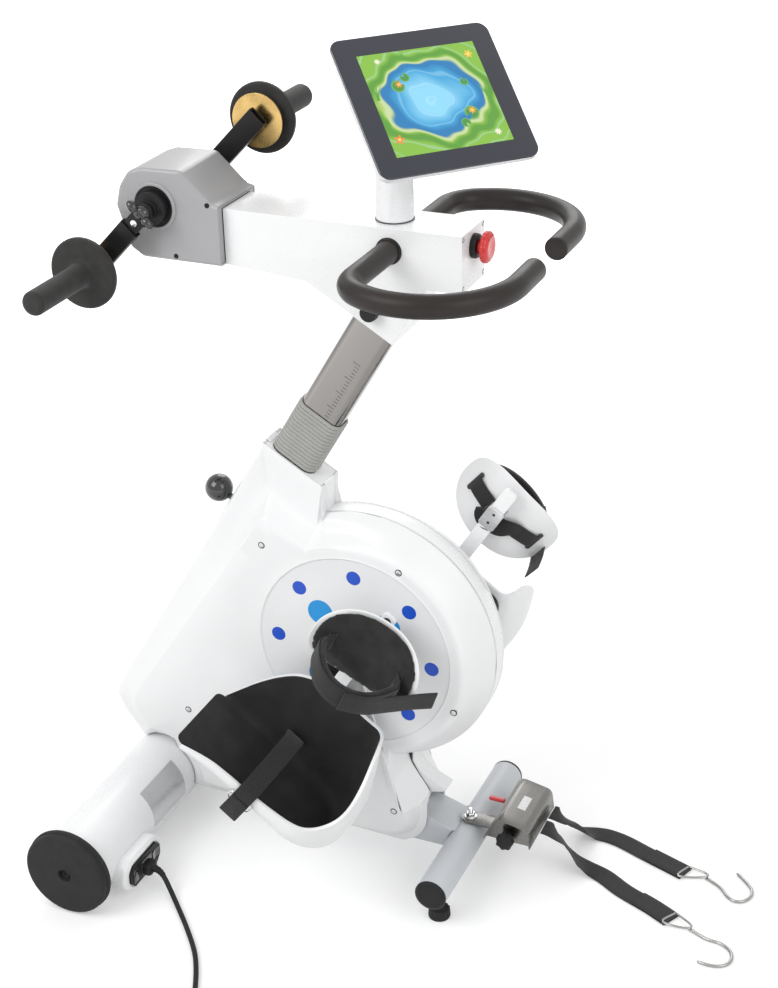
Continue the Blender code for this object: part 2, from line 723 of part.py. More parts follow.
def housing_stations():
    """Stations round the housing, clockwise from the neck's front corner. Each has the point on the
    seam, the point where the side panel turns flat, and how far the neck and the front band shape it."""
    neck_front = side_point(-NECK_TOP, -NECK_FRONT)
    neck_back = side_point(-NECK_TOP, NECK_BACK)
    flat_r = ROUND_R - EDGE_FILLET
    round_start = math.acos((neck_back[0] - CRANK_X) / ROUND_R)
    round_end = math.radians(-72.0)
    seam, flat, neck, band, inner = [], [], [], [], []

    def add(seam_points, flat_points, neck_share, band_share, inner_y):
        count = len(seam_points)
        seam.extend(np.asarray(seam_points, float))
        flat.extend(np.asarray(flat_points, float))
        neck.extend(np.linspace(neck_share[0], neck_share[1], count))
        band.extend(np.linspace(band_share[0], band_share[1], count))
        inner.extend(np.linspace(inner_y[0], inner_y[1], count))

    def line(first, last, count):
        return np.linspace(np.asarray(first, float), np.asarray(last, float), count)

    mast_clear = MAST_WIDE / 2 + GUIDE_WALL + RUN + COVER_WALL + 0.001
    panel_corner = np.array([-0.170, 0.5235])
    flat_top = arc(CRANK, flat_r, math.radians(115), math.radians(109), 3)
    add(line(neck_front, neck_back, 4), line(panel_corner, flat_top[0], 4), (1, 1), (0.3, 0),
        (mast_clear, mast_clear))
    below = CRANK + ROUND_R * np.array([math.cos(round_start), math.sin(round_start)])
    add(line(neck_back, below, 4)[1:3], flat_top[1:], (1, 0.8), (0, 0), (SEAM_Y, SEAM_Y))
    angles = np.linspace(round_start, round_end, 15)
    flat_angles = np.linspace(math.radians(106), round_end, 15)
    add([CRANK + ROUND_R * np.array([math.cos(a), math.sin(a)]) for a in angles],
        [CRANK + flat_r * np.array([math.cos(a), math.sin(a)]) for a in flat_angles],
        (0, 0), (0, 0), (SEAM_Y, SEAM_Y))
    for k, share in enumerate((0.75, 0.45, 0.15)):
        neck[6 + k] = share
    beam_clear = BEAM_HALF_Y + COVER_WALL + 0.0008
    add([(0.0145, 0.1620), (0.0265, 0.1440), (NOSE_X - 0.003, NOSE_TOP_Z + 0.004)],
        [(-0.0020, 0.1560), (0.0040, 0.1380), (0.0140, 0.1140)], (0, 0), (0, 0), (SEAM_Y, SEAM_Y + 0.003))
    add([(NOSE_X, NOSE_TOP_Z - 0.006), (NOSE_X, 0.0975), (NOSE_X - 0.002, 0.0780),
         (NOSE_X - 0.014, 0.0560), (NOSE_X - 0.036, NOSE_LOW_Z)],
        [(0.0175, 0.1070), (0.0180, 0.0980), (0.0160, 0.0860), (0.0080, 0.0760), (-0.0100, 0.0700)],
        (0, 0), (0, 0), (beam_clear, beam_clear))
    saddle_steps = 6
    saddle_r = (TUBE_R + 2 * GAP) / math.cos((SADDLE_FRONT - SADDLE_BACK) / saddle_steps / 2)
    saddle_low = TUBE + saddle_r * np.array([math.cos(SADDLE_BACK), math.sin(SADDLE_BACK)])
    add(line((-0.06, NOSE_LOW_Z + 0.002), saddle_low, 4),
        line((-0.06, 0.070), (-0.285, 0.078), 4), (0, 0), (0, 0), (beam_clear, beam_clear))
    saddle = arc(TUBE, saddle_r, SADDLE_BACK, SADDLE_FRONT, saddle_steps + 1)[1:]
    saddle_flat = arc(TUBE, TUBE_R + 0.036, math.radians(15.0), math.radians(88.0), 7)[1:]
    add(saddle[:3], saddle_flat[:3], (0, 0), (0, 0.4), (beam_clear, beam_clear))
    add(saddle[3:], saddle_flat[3:], (0, 0), (0.6, 1), (0.02, SEAM_Y))
    toe = np.array([TOE_X, TOE_Z])
    add(line(saddle[-1], toe, 4)[1:3], [(-0.3800, 0.1600), (-0.3900, 0.1740)], (0, 0), (1, 1),
        (SEAM_Y, SEAM_Y))
    front = (neck_front - toe) / np.linalg.norm(neck_front - toe)
    add([toe + (0.0015, -0.0015) + 0.006 * front, toe + 0.022 * front],
        [(-0.3935, 0.1880), (-0.3910, 0.2010)], (0, 0), (1, 1), (SEAM_Y, SEAM_Y))
    add(line(toe + 0.05 * front, neck_front, 7)[:6], line((-0.3780, 0.2220), (-0.1840, 0.5080), 6),
        (0, 0), (1, 1), (SEAM_Y, SEAM_Y))
    last = len(neck) - 1
    for k, share in enumerate((1.0, 0.7, 0.3)):
        neck[last - k] = share
    return (np.array(seam), np.array(flat), np.array(neck), np.array(band), np.array(inner))


# Rows from the seam to the flat panel: (share of the way, height share), for the round edge, the
# sloping front band and the low neck. Height share 0 is at the seam and 1 is at the panel.
ROUND_ROWS = ((0.0, 0.0), (0.15, 0.20), (0.39, 0.50), (0.61, 0.75), (0.80, 0.92), (1.0, 1.0))
BAND_ROWS = ((0.0, 0.0), (0.02, 0.16), (0.12, 0.30), (0.50, 0.56), (0.84, 0.86), (1.0, 1.0))
NECK_ROWS = ((0.0, 0.0), (0.05, 0.14), (0.13, 0.236), (0.62, 0.27), (0.86, 0.68), (1.0, 1.0))


def build_cover(side, sign):
    """One moulded cover: a dish whose edge rolls into a flat panel with a round dial and a shaft hole."""
    seam, flat, neck, band, inner = housing_stations()
    rings = []
    for row in range(len(ROUND_ROWS)):
        share = np.zeros(len(seam))
        height = np.zeros(len(seam))
        for rows, weight in ((ROUND_ROWS, (1 - band) * (1 - neck)), (BAND_ROWS, band * (1 - neck)),
                             (NECK_ROWS, neck)):
            share += rows[row][0] * weight
            height += rows[row][1] * weight
        point = seam + (flat - seam) * share[:, None]
        level = np.maximum(SEAM_Y + (PANEL_Y - SEAM_Y) * height, inner + row * EDGE_RISE)
        rings.append(np.column_stack((point[:, 0], sign * level, point[:, 1])))
    heading = flat - CRANK
    heading /= np.linalg.norm(heading, axis=1)[:, None]
    for radius, level in ((DIAL_R, PANEL_Y), (DIAL_R - 0.001, PANEL_Y - DIAL_STEP),
                          (SHAFT_HOLE_R, PANEL_Y - DIAL_STEP)):
        point = CRANK + radius * heading
        rings.append(np.column_stack((point[:, 0], np.full(len(point), sign * level), point[:, 1])))
    bm = ring_mesh(rings, cap_first=False, cap_last=False)
    bmesh.ops.recalc_face_normals(bm, faces=bm.faces)
    bm.faces.ensure_lookup_table()
    dial = max(bm.faces, key=lambda face: sign * face.calc_center_median().y)
    if dial.normal.y * sign < 0:
        bmesh.ops.reverse_faces(bm, faces=bm.faces)
    mesh_keep = bm.copy()
    bm.free()
    cover = add_sheet("cover_" + side, mesh_keep, "white")
    solidify(cover, COVER_WALL)
    return cover


def add_sheet(name, bm, finish, parent=TRAINER, location=(0.0, 0.0, 0.0), origin=(0.0, 0.0, 0.0)):
    """Add an open sheet whose faces already point outwards. Its wall comes from a modifier."""
    bmesh.ops.translate(bm, verts=bm.verts, vec=-Vector(origin))
    mesh = bpy.data.meshes.new(name)
    bm.to_mesh(mesh)
    bm.free()
    mesh.shade_smooth()
    mesh.materials.append(finish_material(name, *FINISH[finish]))
    piece = bpy.data.objects.new(name, mesh)
    piece.parent = parent
    piece.location = location
    bpy.context.scene.collection.objects.link(piece)
    return piece


def build_spine():
    """Band between the covers. It is open where the mast slides through and over the beam."""
    neck_back = side_point(-NECK_TOP, NECK_BACK)
    round_start = math.acos((neck_back[0] - CRANK_X) / ROUND_R)
    below = CRANK + ROUND_R * np.array([math.cos(round_start), math.sin(round_start)])
    beam_top = BEAM_HIGH + 2 * GAP
    outer = [neck_back, below]
    outer += list(arc(CRANK, ROUND_R, round_start, math.radians(-70.0), 16)[1:])
    outer += [(0.0165, 0.1650), (0.0275, 0.1480), (LIP_X - 0.020, 0.1370), (LIP_X, LIP_Z),
              (LIP_X - 0.004, LIP_Z - 0.005), (NOSE_X - 0.004, 0.1180), (0.030, beam_top + 0.001)]
    tube_top = arc(TUBE, TUBE_R + 2 * GAP, math.radians(33.0), SADDLE_FRONT, 7)
    outer += [tuple(p) for p in tube_top]
    toe = np.array([TOE_X, TOE_Z])
    neck_front = side_point(-NECK_TOP, -NECK_FRONT)
    front = (neck_front - toe) / np.linalg.norm(neck_front - toe)
    outer += [toe + (TOE_LIP, -0.007), toe + 0.012 * front, neck_front]
    inner_front = neck_front + SPINE_BAND * MAST_ACROSS
    inner_toe = toe + 0.014 * front + SPINE_BAND * MAST_ACROSS
    inner = [inner_front, inner_toe]
    inner += [tuple(p) for p in arc(TUBE, TUBE_R + SPINE_BAND, math.radians(118.0), math.radians(40.0), 6)]
    inner += [(-0.03, beam_top + SPINE_BAND)]
    inner += list(arc(CRANK, ROUND_R - SPINE_BAND, math.radians(-78.0), round_start, 15))
    inner += [neck_back - (SPINE_BAND, 0.0)]
    outline = [tuple(p) for p in outer] + [tuple(p) for p in inner]
    half = SEAM_Y - SEAM_GROOVE
    spine = add_piece("spine_frame", prism(outline, -half, half), "white")
    pin = side_point(-KNOB_DOWN, -NECK_FRONT)
    cut(spine, turned([(0.0, -0.02), (KNOB_STEM_R + RUN, -0.02), (KNOB_STEM_R + RUN, 0.02), (0.0, 0.02)],
                      (pin[0], 0.0, pin[1]), (MAST_ACROSS[0], 0, MAST_ACROSS[1]), 12), "knob_hole")
    return spine


def mast_rings(along_levels, grow=0.0, steps=3):
    """Rounded rectangles across the mast's axis, each at a distance up the mast, with a growth."""
    rings = []
    for along, extra in along_levels:
        outline = rounded_rectangle(MAST_LONG + 2 * (grow + extra), MAST_WIDE + 2 * (grow + extra),
                                    MAST_CORNER + grow + extra, steps)
        centre = side_point(along, 0.0)
        rings.append([(centre[0] + a * MAST_ACROSS[0], b, centre[1] + a * MAST_ACROSS[1])
                      for a, b in outline])
    return rings


def build_guide():
    """Steel guide in the neck, round the mast. The pull knob's pin passes through its front wall."""
    top, low = -NECK_TOP - 2 * GAP, -NECK_TOP - GUIDE_LONG
    outside = mast_rings(((low, 0.0), (top, 0.0)), grow=RUN + GUIDE_WALL)
    inside = mast_rings(((top, 0.0), (low, 0.0)), grow=RUN)
    guide = add_piece("mast_guide", ring_mesh(outside + inside, closed_loop=True), "steel")
    pin = side_point(-KNOB_DOWN, -MAST_LONG / 2)
    cut(guide, turned([(0.0, -0.01), (KNOB_STEM_R + RUN, -0.01), (KNOB_STEM_R + RUN, 0.01), (0.0, 0.01)],
                      (pin[0], 0.0, pin[1]), (MAST_ACROSS[0], 0, MAST_ACROSS[1]), 12), "pin_hole")


def build_bearing_plate():
    """Plate beside the spine that carries the crank shaft and the motor."""
    outline = np.vstack((arc(CRANK, BEARING_R, math.radians(150), math.radians(-60), 13),
                         arc((MOTOR_X, MOTOR_Z), MOTOR_SEAT_R, math.radians(-90), math.radians(-235), 9)))
    low = SEAM_Y + RUN
    plate = add_piece("bearing_plate", prism([tuple(p) for p in outline], low, low + PLATE_THICK), "steel")
    for name, x, z, radius in (("shaft_hole", CRANK_X, CRANK_Z, SHAFT_R + RUN),
                               ("motor_hole", MOTOR_X, MOTOR_Z, 0.007)):
        cut(plate, turned([(0.0, -0.01), (radius, -0.01), (radius, 0.01), (0.0, 0.01)],
                          (x, low, z), (0, 1, 0), 16), name)


def build_leg_drive():
    """Motor, belt and pulley that turn the leg crank's shaft."""
    hub = new_empty("leg_crank_axis", TRAINER, (CRANK_X, 0.0, CRANK_Z))
    origin = (CRANK_X, 0.0, CRANK_Z)
    half = CRANK_FACE - GAP
    shaft = turned([(0.0, -half), (SHAFT_R, -half), (SHAFT_R, half), (0.0, half)], origin, (0, 1, 0), 20)
    add_piece("leg_shaft", shaft, "steel", parent=hub, origin=origin)
    wide = PULLEY_WIDE / 2
    bore = SHAFT_R + GAP
    web = 0.002
    rim = BIG_PULLEY_R - 0.010
    pulley = turned([(bore, -web), (rim, -web), (rim, -wide), (BIG_PULLEY_R, -wide), (BIG_PULLEY_R, wide),
                     (rim, wide), (rim, web), (bore, web)], origin, (0, 1, 0), 22, bored=True)
    add_piece("leg_pulley", pulley, "steel", parent=hub, origin=origin)
    motor_y = SEAM_Y + RUN + PLATE_THICK + GAP
    motor = turned([(0.0, 0.0), (MOTOR_R, 0.0), (MOTOR_R, MOTOR_LONG), (0.012, MOTOR_LONG),
                    (0.012, MOTOR_LONG + 0.003), (0.0, MOTOR_LONG + 0.003)], (MOTOR_X, motor_y, MOTOR_Z),
                   (0, 1, 0), 24)
    add_piece("leg_motor", motor, "steel")
    spindle = new_empty("motor_axis", TRAINER, (MOTOR_X, 0.0, MOTOR_Z))
    small = turned([(0.0, -wide), (SMALL_PULLEY_R, -wide), (SMALL_PULLEY_R, wide), (0.005, wide),
                    (0.005, motor_y - GAP), (0.0, motor_y - GAP)], (MOTOR_X, 0.0, MOTOR_Z), (0, 1, 0), 20)
    add_piece("motor_pulley", small, "steel", parent=spindle, origin=(MOTOR_X, 0.0, MOTOR_Z))
    build_belt()


def belt_outline(grow):
    """Closed line of a belt that touches both pulleys, moved out by grow."""
    start = np.array([CRANK_X, CRANK_Z])
    end = np.array([MOTOR_X, MOTOR_Z])
    along = end - start
    heading = math.atan2(along[1], along[0])
    lean = math.acos((BIG_PULLEY_R - SMALL_PULLEY_R) / np.linalg.norm(along))
    big = arc(start, BIG_PULLEY_R + grow, heading + lean, heading + 2 * math.pi - lean, 19)
    small = arc(end, SMALL_PULLEY_R + grow, heading - lean, heading + lean, 7)
    return np.vstack((big, small))


def build_belt():
    """Flat belt round both pulleys, with a small gap to each."""
    inside = belt_outline(2 * RUN)
    outside = belt_outline(2 * RUN + BELT_THICK)
    wide = PULLEY_WIDE / 2 - 0.001
    rings = []
    for outline, level in ((outside, -wide), (outside, wide), (inside, wide), (inside, -wide)):
        rings.append([(x, level, z) for x, z in outline])
    add_piece("drive_belt", ring_mesh(rings, closed_loop=True), "rubber")


def build_height_knob():
    """Ball on a sprung pin that locks the mast."""
    edge = side_point(-KNOB_DOWN, -NECK_FRONT)
    out = (-MAST_ACROSS[0], 0, -MAST_ACROSS[1])
    origin = (edge[0], 0.0, edge[1])
    joint = new_empty("height_knob_axis", TRAINER, origin)
    inside = -(NECK_FRONT - MAST_LONG / 2 - 0.0004)
    stem = math.asin(KNOB_STEM_R / KNOB_R)
    profile = [(0.0, inside), (KNOB_STEM_R, inside)]
    for step in range(9):
        angle = math.pi - stem - (math.pi - stem) * step / 8
        profile.append((KNOB_R * math.sin(angle), KNOB_OUT + KNOB_R * math.cos(angle)))
    profile[-1] = (0.0, KNOB_OUT + KNOB_R)
    add_piece("height_knob", turned(profile, origin, out, 16), "black", parent=joint, origin=origin)


# Leg cranks, foot shells and calf cuffs

def leg_axle(sign):
    """Pedal axle of one side at rest, as (x, z). The far crank points the other way."""
    turn = LEG_ANGLE + (math.pi if sign == FAR else 0.0)
    return CRANK + LEG_CRANK * np.array([math.cos(turn), math.sin(turn)])


def sole_point(axle, s, n, y):
    """A point given along the sole, above it, and across the trainer."""
    along = np.array([math.cos(SOLE_PITCH), -math.sin(SOLE_PITCH)])
    above = np.array([math.sin(SOLE_PITCH), math.cos(SOLE_PITCH)])
    spot = axle + (s - PEDAL_S) * along + (n - PEDAL_N) * above
    return (spot[0], y, spot[1])


def build_leg_crank(side, sign):
    """Crank arm with the fixed pedal axle at its end."""
    axle = leg_axle(sign)
    origin = (CRANK_X, 0.0, CRANK_Z)
    hub = bpy.data.objects["leg_crank_axis"]
    levels = sorted((sign * CRANK_FACE, sign * (CRANK_FACE + CRANK_THICK)))
    outline = [tuple(p) for p in stadium(CRANK, axle, CRANK_WIDE / 2, steps=8)]
    arm = add_piece("leg_crank_" + side, prism(outline, *levels), "black", parent=hub, origin=origin)
    reach = shell_inner_y() - SHELL_WALL - RUN
    axle_bm = turned([(0.0, 0.0), (SHAFT_R, 0.0), (SHAFT_R, reach - CRANK_FACE - 0.002),
                      (0.0, reach - CRANK_FACE - 0.002)],
                     (axle[0] - CRANK_X, sign * (CRANK_FACE + 0.002), axle[1] - CRANK_Z), (0, sign, 0), 16)
    cut(arm, axle_bm, "axle_" + side, "UNION")


def shell_inner_y():
    """Inner face of the shell's wall beside the trainer, worked out from the crank outwards."""
    crank = CRANK_FACE + CRANK_THICK
    return crank + AIR + CALF_BAR_THICK - BAR_FUSE + PEDAL_PLATE_THICK + GAP + SHELL_WALL + SHELL_SPACER


def bracket_inner_y():
    """Face of the pedal bracket towards the trainer."""
    return shell_inner_y() - SHELL_WALL - GAP - PEDAL_PLATE_THICK


def build_pedal_bracket(side, sign):
    """Plate that turns on the pedal axle and carries the shell and the upright calf bar."""
    axle = leg_axle(sign)
    origin = (axle[0], 0.0, axle[1])
    hub = bpy.data.objects["leg_crank_axis"]
    joint = new_empty("pedal_axis_" + side, hub, (axle[0] - CRANK_X, 0.0, axle[1] - CRANK_Z))
    inner = bracket_inner_y()
    outer = inner + PEDAL_PLATE_THICK
    first = sole_point(axle, PEDAL_S - 0.004, PEDAL_N, 0.0)
    last = sole_point(axle, 0.165, 0.112, 0.0)
    outline = [tuple(p) for p in stadium((first[0], first[2]), (last[0], last[2]), PLATE_WIDE / 2, steps=7)]
    levels = sorted((sign * inner, sign * outer))
    plate = add_piece("pedal_bracket_" + side, prism(outline, *levels), "black", parent=joint,
                      origin=origin)
    up = np.array([math.sin(CALF_TILT), math.cos(CALF_TILT)])
    right = np.array([up[1], -up[0]])
    half = CALF_BAR_WIDE / 2
    low = axle + CALF_OFFSET * right + CALF_LOW * up - axle
    high = axle + CALF_OFFSET * right + CALF_HIGH * up - axle
    bar = [low - half * right, low + half * right, high + half * right, high - half * right]
    levels = sorted((sign * (inner + BAR_FUSE - CALF_BAR_THICK), sign * (inner + BAR_FUSE)))
    cut(plate, prism([tuple(p) for p in bar], levels[0], levels[1]), "calf_bar_" + side, "UNION")
    cut(plate, turned([(0.0, -0.05), (SHAFT_R + RUN, -0.05), (SHAFT_R + RUN, 0.05), (0.0, 0.05)],
                      (0.0, sign * inner, 0.0), (0, 1, 0), 16), "axle_hole_" + side)


# Rim of the foot shell. Each row is (along the sole, height on the inner side, height on the outer side)
RIM_SIDES = ((0.000, 0.005, 0.005), (0.021, 0.064, 0.013), (0.0445, 0.108, 0.020),
             (0.0695, 0.130, 0.0228), (0.110, 0.139, 0.0250), (0.145, 0.141, 0.029))
RIM_HEEL = (0.142, 0.145, 0.149, 0.149, 0.138, 0.112, 0.071, 0.044, 0.034)
HEEL_LEAN = 0.6
HEEL_LEAN_FROM = 0.08


def shell_stations():
    """Stations round the shell's footprint: (centre s, along s, across y share, heel share, height)."""
    radius = SHELL_WIDE / 2
    centre = SHELL_LONG - SHELL_WALL - radius
    stations = [(s, 0.0, -1.0, 0.0, inner) for s, inner, _ in RIM_SIDES]
    for k, height in enumerate(RIM_HEEL):
        angle = -math.pi / 2 + math.pi * k / (len(RIM_HEEL) - 1)
        stations.append((centre, math.cos(angle), math.sin(angle), math.cos(angle), height))
    stations += [(s, 0.0, 1.0, 0.0, outer) for s, _, outer in reversed(RIM_SIDES)]
    return stations, radius


def shell_ring(station, row, radius):
    """One point of the shell: rows run from the middle of the sole, round its edge, up to the rim."""
    s, out_s, out_y, heel, height = station
    fillet = min(SOLE_FILLET, 0.75 * height)
    if row == 0:
        reach, n = 0.0, 0.0
    elif row == 1:
        reach, n = radius - fillet, 0.0
    elif row == 2:
        reach, n = radius - 0.3 * fillet, 0.3 * fillet
    else:
        share = (row - 3) / 2.0
        reach, n = radius, fillet + (height - fillet) * share
    lean = HEEL_LEAN * max(0.0, n - HEEL_LEAN_FROM) * heel
    return s + reach * out_s - lean, n, reach * out_y


def build_foot_shell(side, sign):
    """Moulded shell with a high inner wall and heel and a low outer wall, open at the toes."""
    axle = leg_axle(sign)
    origin = (axle[0], 0.0, axle[1])
    joint = bpy.data.objects["pedal_axis_" + side]
    stations, radius = shell_stations()
    middle_y = shell_inner_y() + radius
    bm = bmesh.new()
    rows = []
    for row in range(6):
        line = []
        for station in stations:
            s, n, y = shell_ring(station, row, radius)
            line.append(bm.verts.new(sole_point(axle, s, n, sign * (middle_y + y))))
        rows.append(line)
    for lower, upper in zip(rows, rows[1:]):
        for i in range(len(stations) - 1):
            corners = (lower[i], lower[i + 1], upper[i + 1], upper[i])
            bm.faces.new(corners if sign == FAR else corners[::-1])
    bmesh.ops.remove_doubles(bm, verts=bm.verts, dist=1e-6)
    bmesh.ops.dissolve_degenerate(bm, dist=1e-7, edges=bm.edges)
    bm.faces.ensure_lookup_table()
    sole = min(bm.faces, key=lambda face: abs(face.calc_center_median().y - sign * middle_y))
    if sole.normal.z < 0:
        bmesh.ops.reverse_faces(bm, faces=bm.faces)
    shell = add_sheet("foot_shell_" + side, bm, "white", parent=joint, origin=origin)
    solidify(shell, SHELL_WALL)


def ribbon(path, wide_dirs, wide, thick):
    """A flat band along a path, with its width along the given directions."""
    path = np.asarray(path, float)
    wide_dirs = np.asarray(wide_dirs, float)
    heading = np.gradient(path, axis=0)
    heading /= np.linalg.norm(heading, axis=1)[:, None]
    wide_dirs = wide_dirs - heading * np.sum(wide_dirs * heading, axis=1)[:, None]
    wide_dirs /= np.linalg.norm(wide_dirs, axis=1)[:, None]
    up = np.cross(heading, wide_dirs)
    rings = [[point + a * wide / 2 * w + b * thick / 2 * u
              for a, b in ((1, 1), (-1, 1), (-1, -1), (1, -1))]
             for point, w, u in zip(path, wide_dirs, up)]
    return ring_mesh(rings)


def build_foot_strap(side, sign):
    """Strap over the foot, from the inner wall across and down the outside of the outer wall."""
    axle = leg_axle(sign)
    inner = shell_inner_y()
    outer = inner + SHELL_WIDE + SHELL_WALL
    rim = 0.0250
    chosen = ((0.034, inner + 0.0032), (0.052, inner + 0.022), (0.060, inner + 0.060),
              (0.052, inner + 0.096), (0.036, outer - 0.006), (0.030, outer + 0.003),
              (rim - 0.012, outer + 0.0042), (-0.022, outer + 0.0045))
    route = [(FOOT_STRAP_S, n, y) for n, y in chosen]
    path = [sole_point(axle, s, n, sign * y) for s, n, y in smooth_path(route, 0.014)]
    across = np.array([math.cos(SOLE_PITCH), 0.0, -math.sin(SOLE_PITCH)])
    bm = ribbon(path, np.tile(across, (len(path), 1)), FOOT_STRAP_WIDE, STRAP_THICK)
    add_piece("foot_strap_" + side, bm, "webbing", parent=bpy.data.objects["pedal_axis_" + side],
              origin=(axle[0], 0.0, axle[1]))


def cuff_frame(side, sign):
    """Clamp's point on the calf bar, with the cuff's long and short directions in (x, z)."""
    up = np.array([math.sin(CALF_TILT), math.cos(CALF_TILT)])
    right = np.array([up[1], -up[0]])
    clamp = leg_axle(sign) + CALF_OFFSET * right + CUFF_UP * up
    turn = CUFF_TURN[side]
    long_way = np.array([math.cos(turn), math.sin(turn)])
    short_way = np.array([-long_way[1], long_way[0]])
    return clamp, long_way, short_way


def cuff_base_y():
    """Face of the cuff's plate towards the trainer, outside the clamp on the calf bar."""
    return bracket_inner_y() + BAR_FUSE + CLAMP_DEEP


def cuff_spot(side, sign, c, b, lift=0.0):
    """Point on the cuff's curved plate at c along it and b across it, lifted off it."""
    clamp, long_way, short_way = cuff_frame(side, sign)
    turn = math.asin(max(-1.0, min(1.0, c / CUFF_CURVE_R)))
    along = (CUFF_CURVE_R - lift) * math.sin(turn)
    out = CUFF_CURVE_R - (CUFF_CURVE_R - lift) * math.cos(turn)
    spot = clamp + (along + CUFF_SHIFT) * long_way + b * short_way
    return (spot[0], sign * (cuff_base_y() + out), spot[1])


def build_cuff(side, sign):
    """Oval plate bent round the calf, with its pad and the clamp that slides on the calf bar."""
    clamp, long_way, short_way = cuff_frame(side, sign)
    joint = new_empty("cuff_axis_" + side, bpy.data.objects["pedal_axis_" + side],
                      (clamp[0] - leg_axle(sign)[0], 0.0, clamp[1] - leg_axle(sign)[1]))
    origin = (clamp[0], 0.0, clamp[1])
    thick = CUFF_THICK + LINER_THICK
    turn = np.linspace(0.0, 2 * math.pi, 24, endpoint=False)
    power = 0.8
    oval = np.column_stack((np.sign(np.cos(turn)) * np.abs(np.cos(turn)) ** power * CUFF_LONG / 2,
                            np.sign(np.sin(turn)) * np.abs(np.sin(turn)) ** power * CUFF_HIGH / 2))
    rings = []
    for share, lift in ((0.0, 0.0), (0.45, 0.0), (0.80, 0.0), (1.0, 0.0), (1.0, thick - 0.002),
                        (0.97, thick), (0.80, thick), (0.45, thick), (0.0, thick)):
        rings.append([cuff_spot(side, sign, share * c, share * b, lift) for c, b in oval])
    bm = ring_mesh(rings, cap_first=False, cap_last=False, merge=1e-6)
    cuff = add_piece("calf_cuff_" + side, bm, "foam", parent=joint, origin=origin)
    face = cuff_base_y() - CLAMP_DEEP + GAP
    levels = sorted((sign * face, sign * (cuff_base_y() + CUFF_THICK)))
    half_long, half_wide = CLAMP_LONG / 2, CLAMP_WIDE / 2
    up = np.array([math.sin(CALF_TILT), math.cos(CALF_TILT)])
    right = np.array([up[1], -up[0]])
    corners = [a * half_wide * right + b * half_long * up for a, b in ((1, 1), (-1, 1), (-1, -1), (1, -1))]
    cut(cuff, prism([tuple(p) for p in corners], *levels), "clamp_" + side, "UNION")


def build_calf_strap(side, sign):
    """Padded strap from one end of the cuff, out round the calf and back to the other end."""
    clamp, long_way, short_way = cuff_frame(side, sign)
    lift = CUFF_THICK + LINER_THICK + 0.0040
    ends = (-0.062, -0.052)
    path = [cuff_spot(side, sign, c, 0.0, lift) for c in ends]
    reach = 0.060
    for step in range(1, 12):
        turn = math.pi * step / 12
        spot = clamp + (CUFF_SHIFT - reach * math.cos(turn)) * long_way - 0.012 * math.sin(turn) * short_way
        path.append((spot[0], sign * (cuff_base_y() + 0.030 + (CALF_STRAP_OUT - 0.030) * math.sin(turn)),
                     spot[1]))
    path += [cuff_spot(side, sign, -c, 0.0, lift) for c in reversed(ends)]
    path = smooth_path(path, 0.013)
    across = np.array([short_way[0], 0.0, short_way[1]])
    bm = ribbon(path, np.tile(across, (len(path), 1)), CALF_STRAP_WIDE, STRAP_THICK)
    add_piece("calf_strap_" + side, bm, "webbing", parent=bpy.data.objects["cuff_axis_" + side],
              origin=(clamp[0], 0.0, clamp[1]))


# Mast and its ribbed sleeve

def build_mast():
    """Hollow rounded tube that slides in the neck and ends inside the head's collar."""
    slide = new_empty("mast_axis", TRAINER, (MAST_X, 0.0, MAST_Z))
    origin = (MAST_X, 0.0, MAST_Z)
    top = collar_along() + MAST_IN_COLLAR
    low = -NECK_TOP - MAST_BELOW
    rings = mast_rings(((low, 0.0), (top, 0.0), (top, -MAST_WALL), (low, -MAST_WALL)))
    add_piece("mast", ring_mesh(rings, closed_loop=True), "chrome", parent=slide, origin=origin)
    return slide


def build_sleeve():
    """Ribbed rubber sleeve on the neck's top. The mast slides through its bore."""
    low = -NECK_TOP + GAP
    pitch = NECK_TOP / SLEEVE_RIBS
    levels = []
    for rib in range(SLEEVE_RIBS):
        start = low + rib * pitch
        levels += [(start + 0.18 * pitch, RIB_IN), (start + 0.62 * pitch, RIB_OUT)]
    levels = [(low, RIB_IN)] + levels + [(low + NECK_TOP - GAP, RIB_OUT)]
    outside = mast_rings(levels)
    bore = mast_rings(((low + NECK_TOP - GAP, RUN), (low, RUN)))
    add_piece("mast_sleeve", ring_mesh(outside + bore, closed_loop=True), "sleeve")


# Head, arm drive, handlebars and display

def collar_along():
    """Bottom of the head's collar, measured up the mast."""
    return float(np.dot(np.array([COLLAR_X, COLLAR_Z]) - MAST_POINT, MAST_DIR))


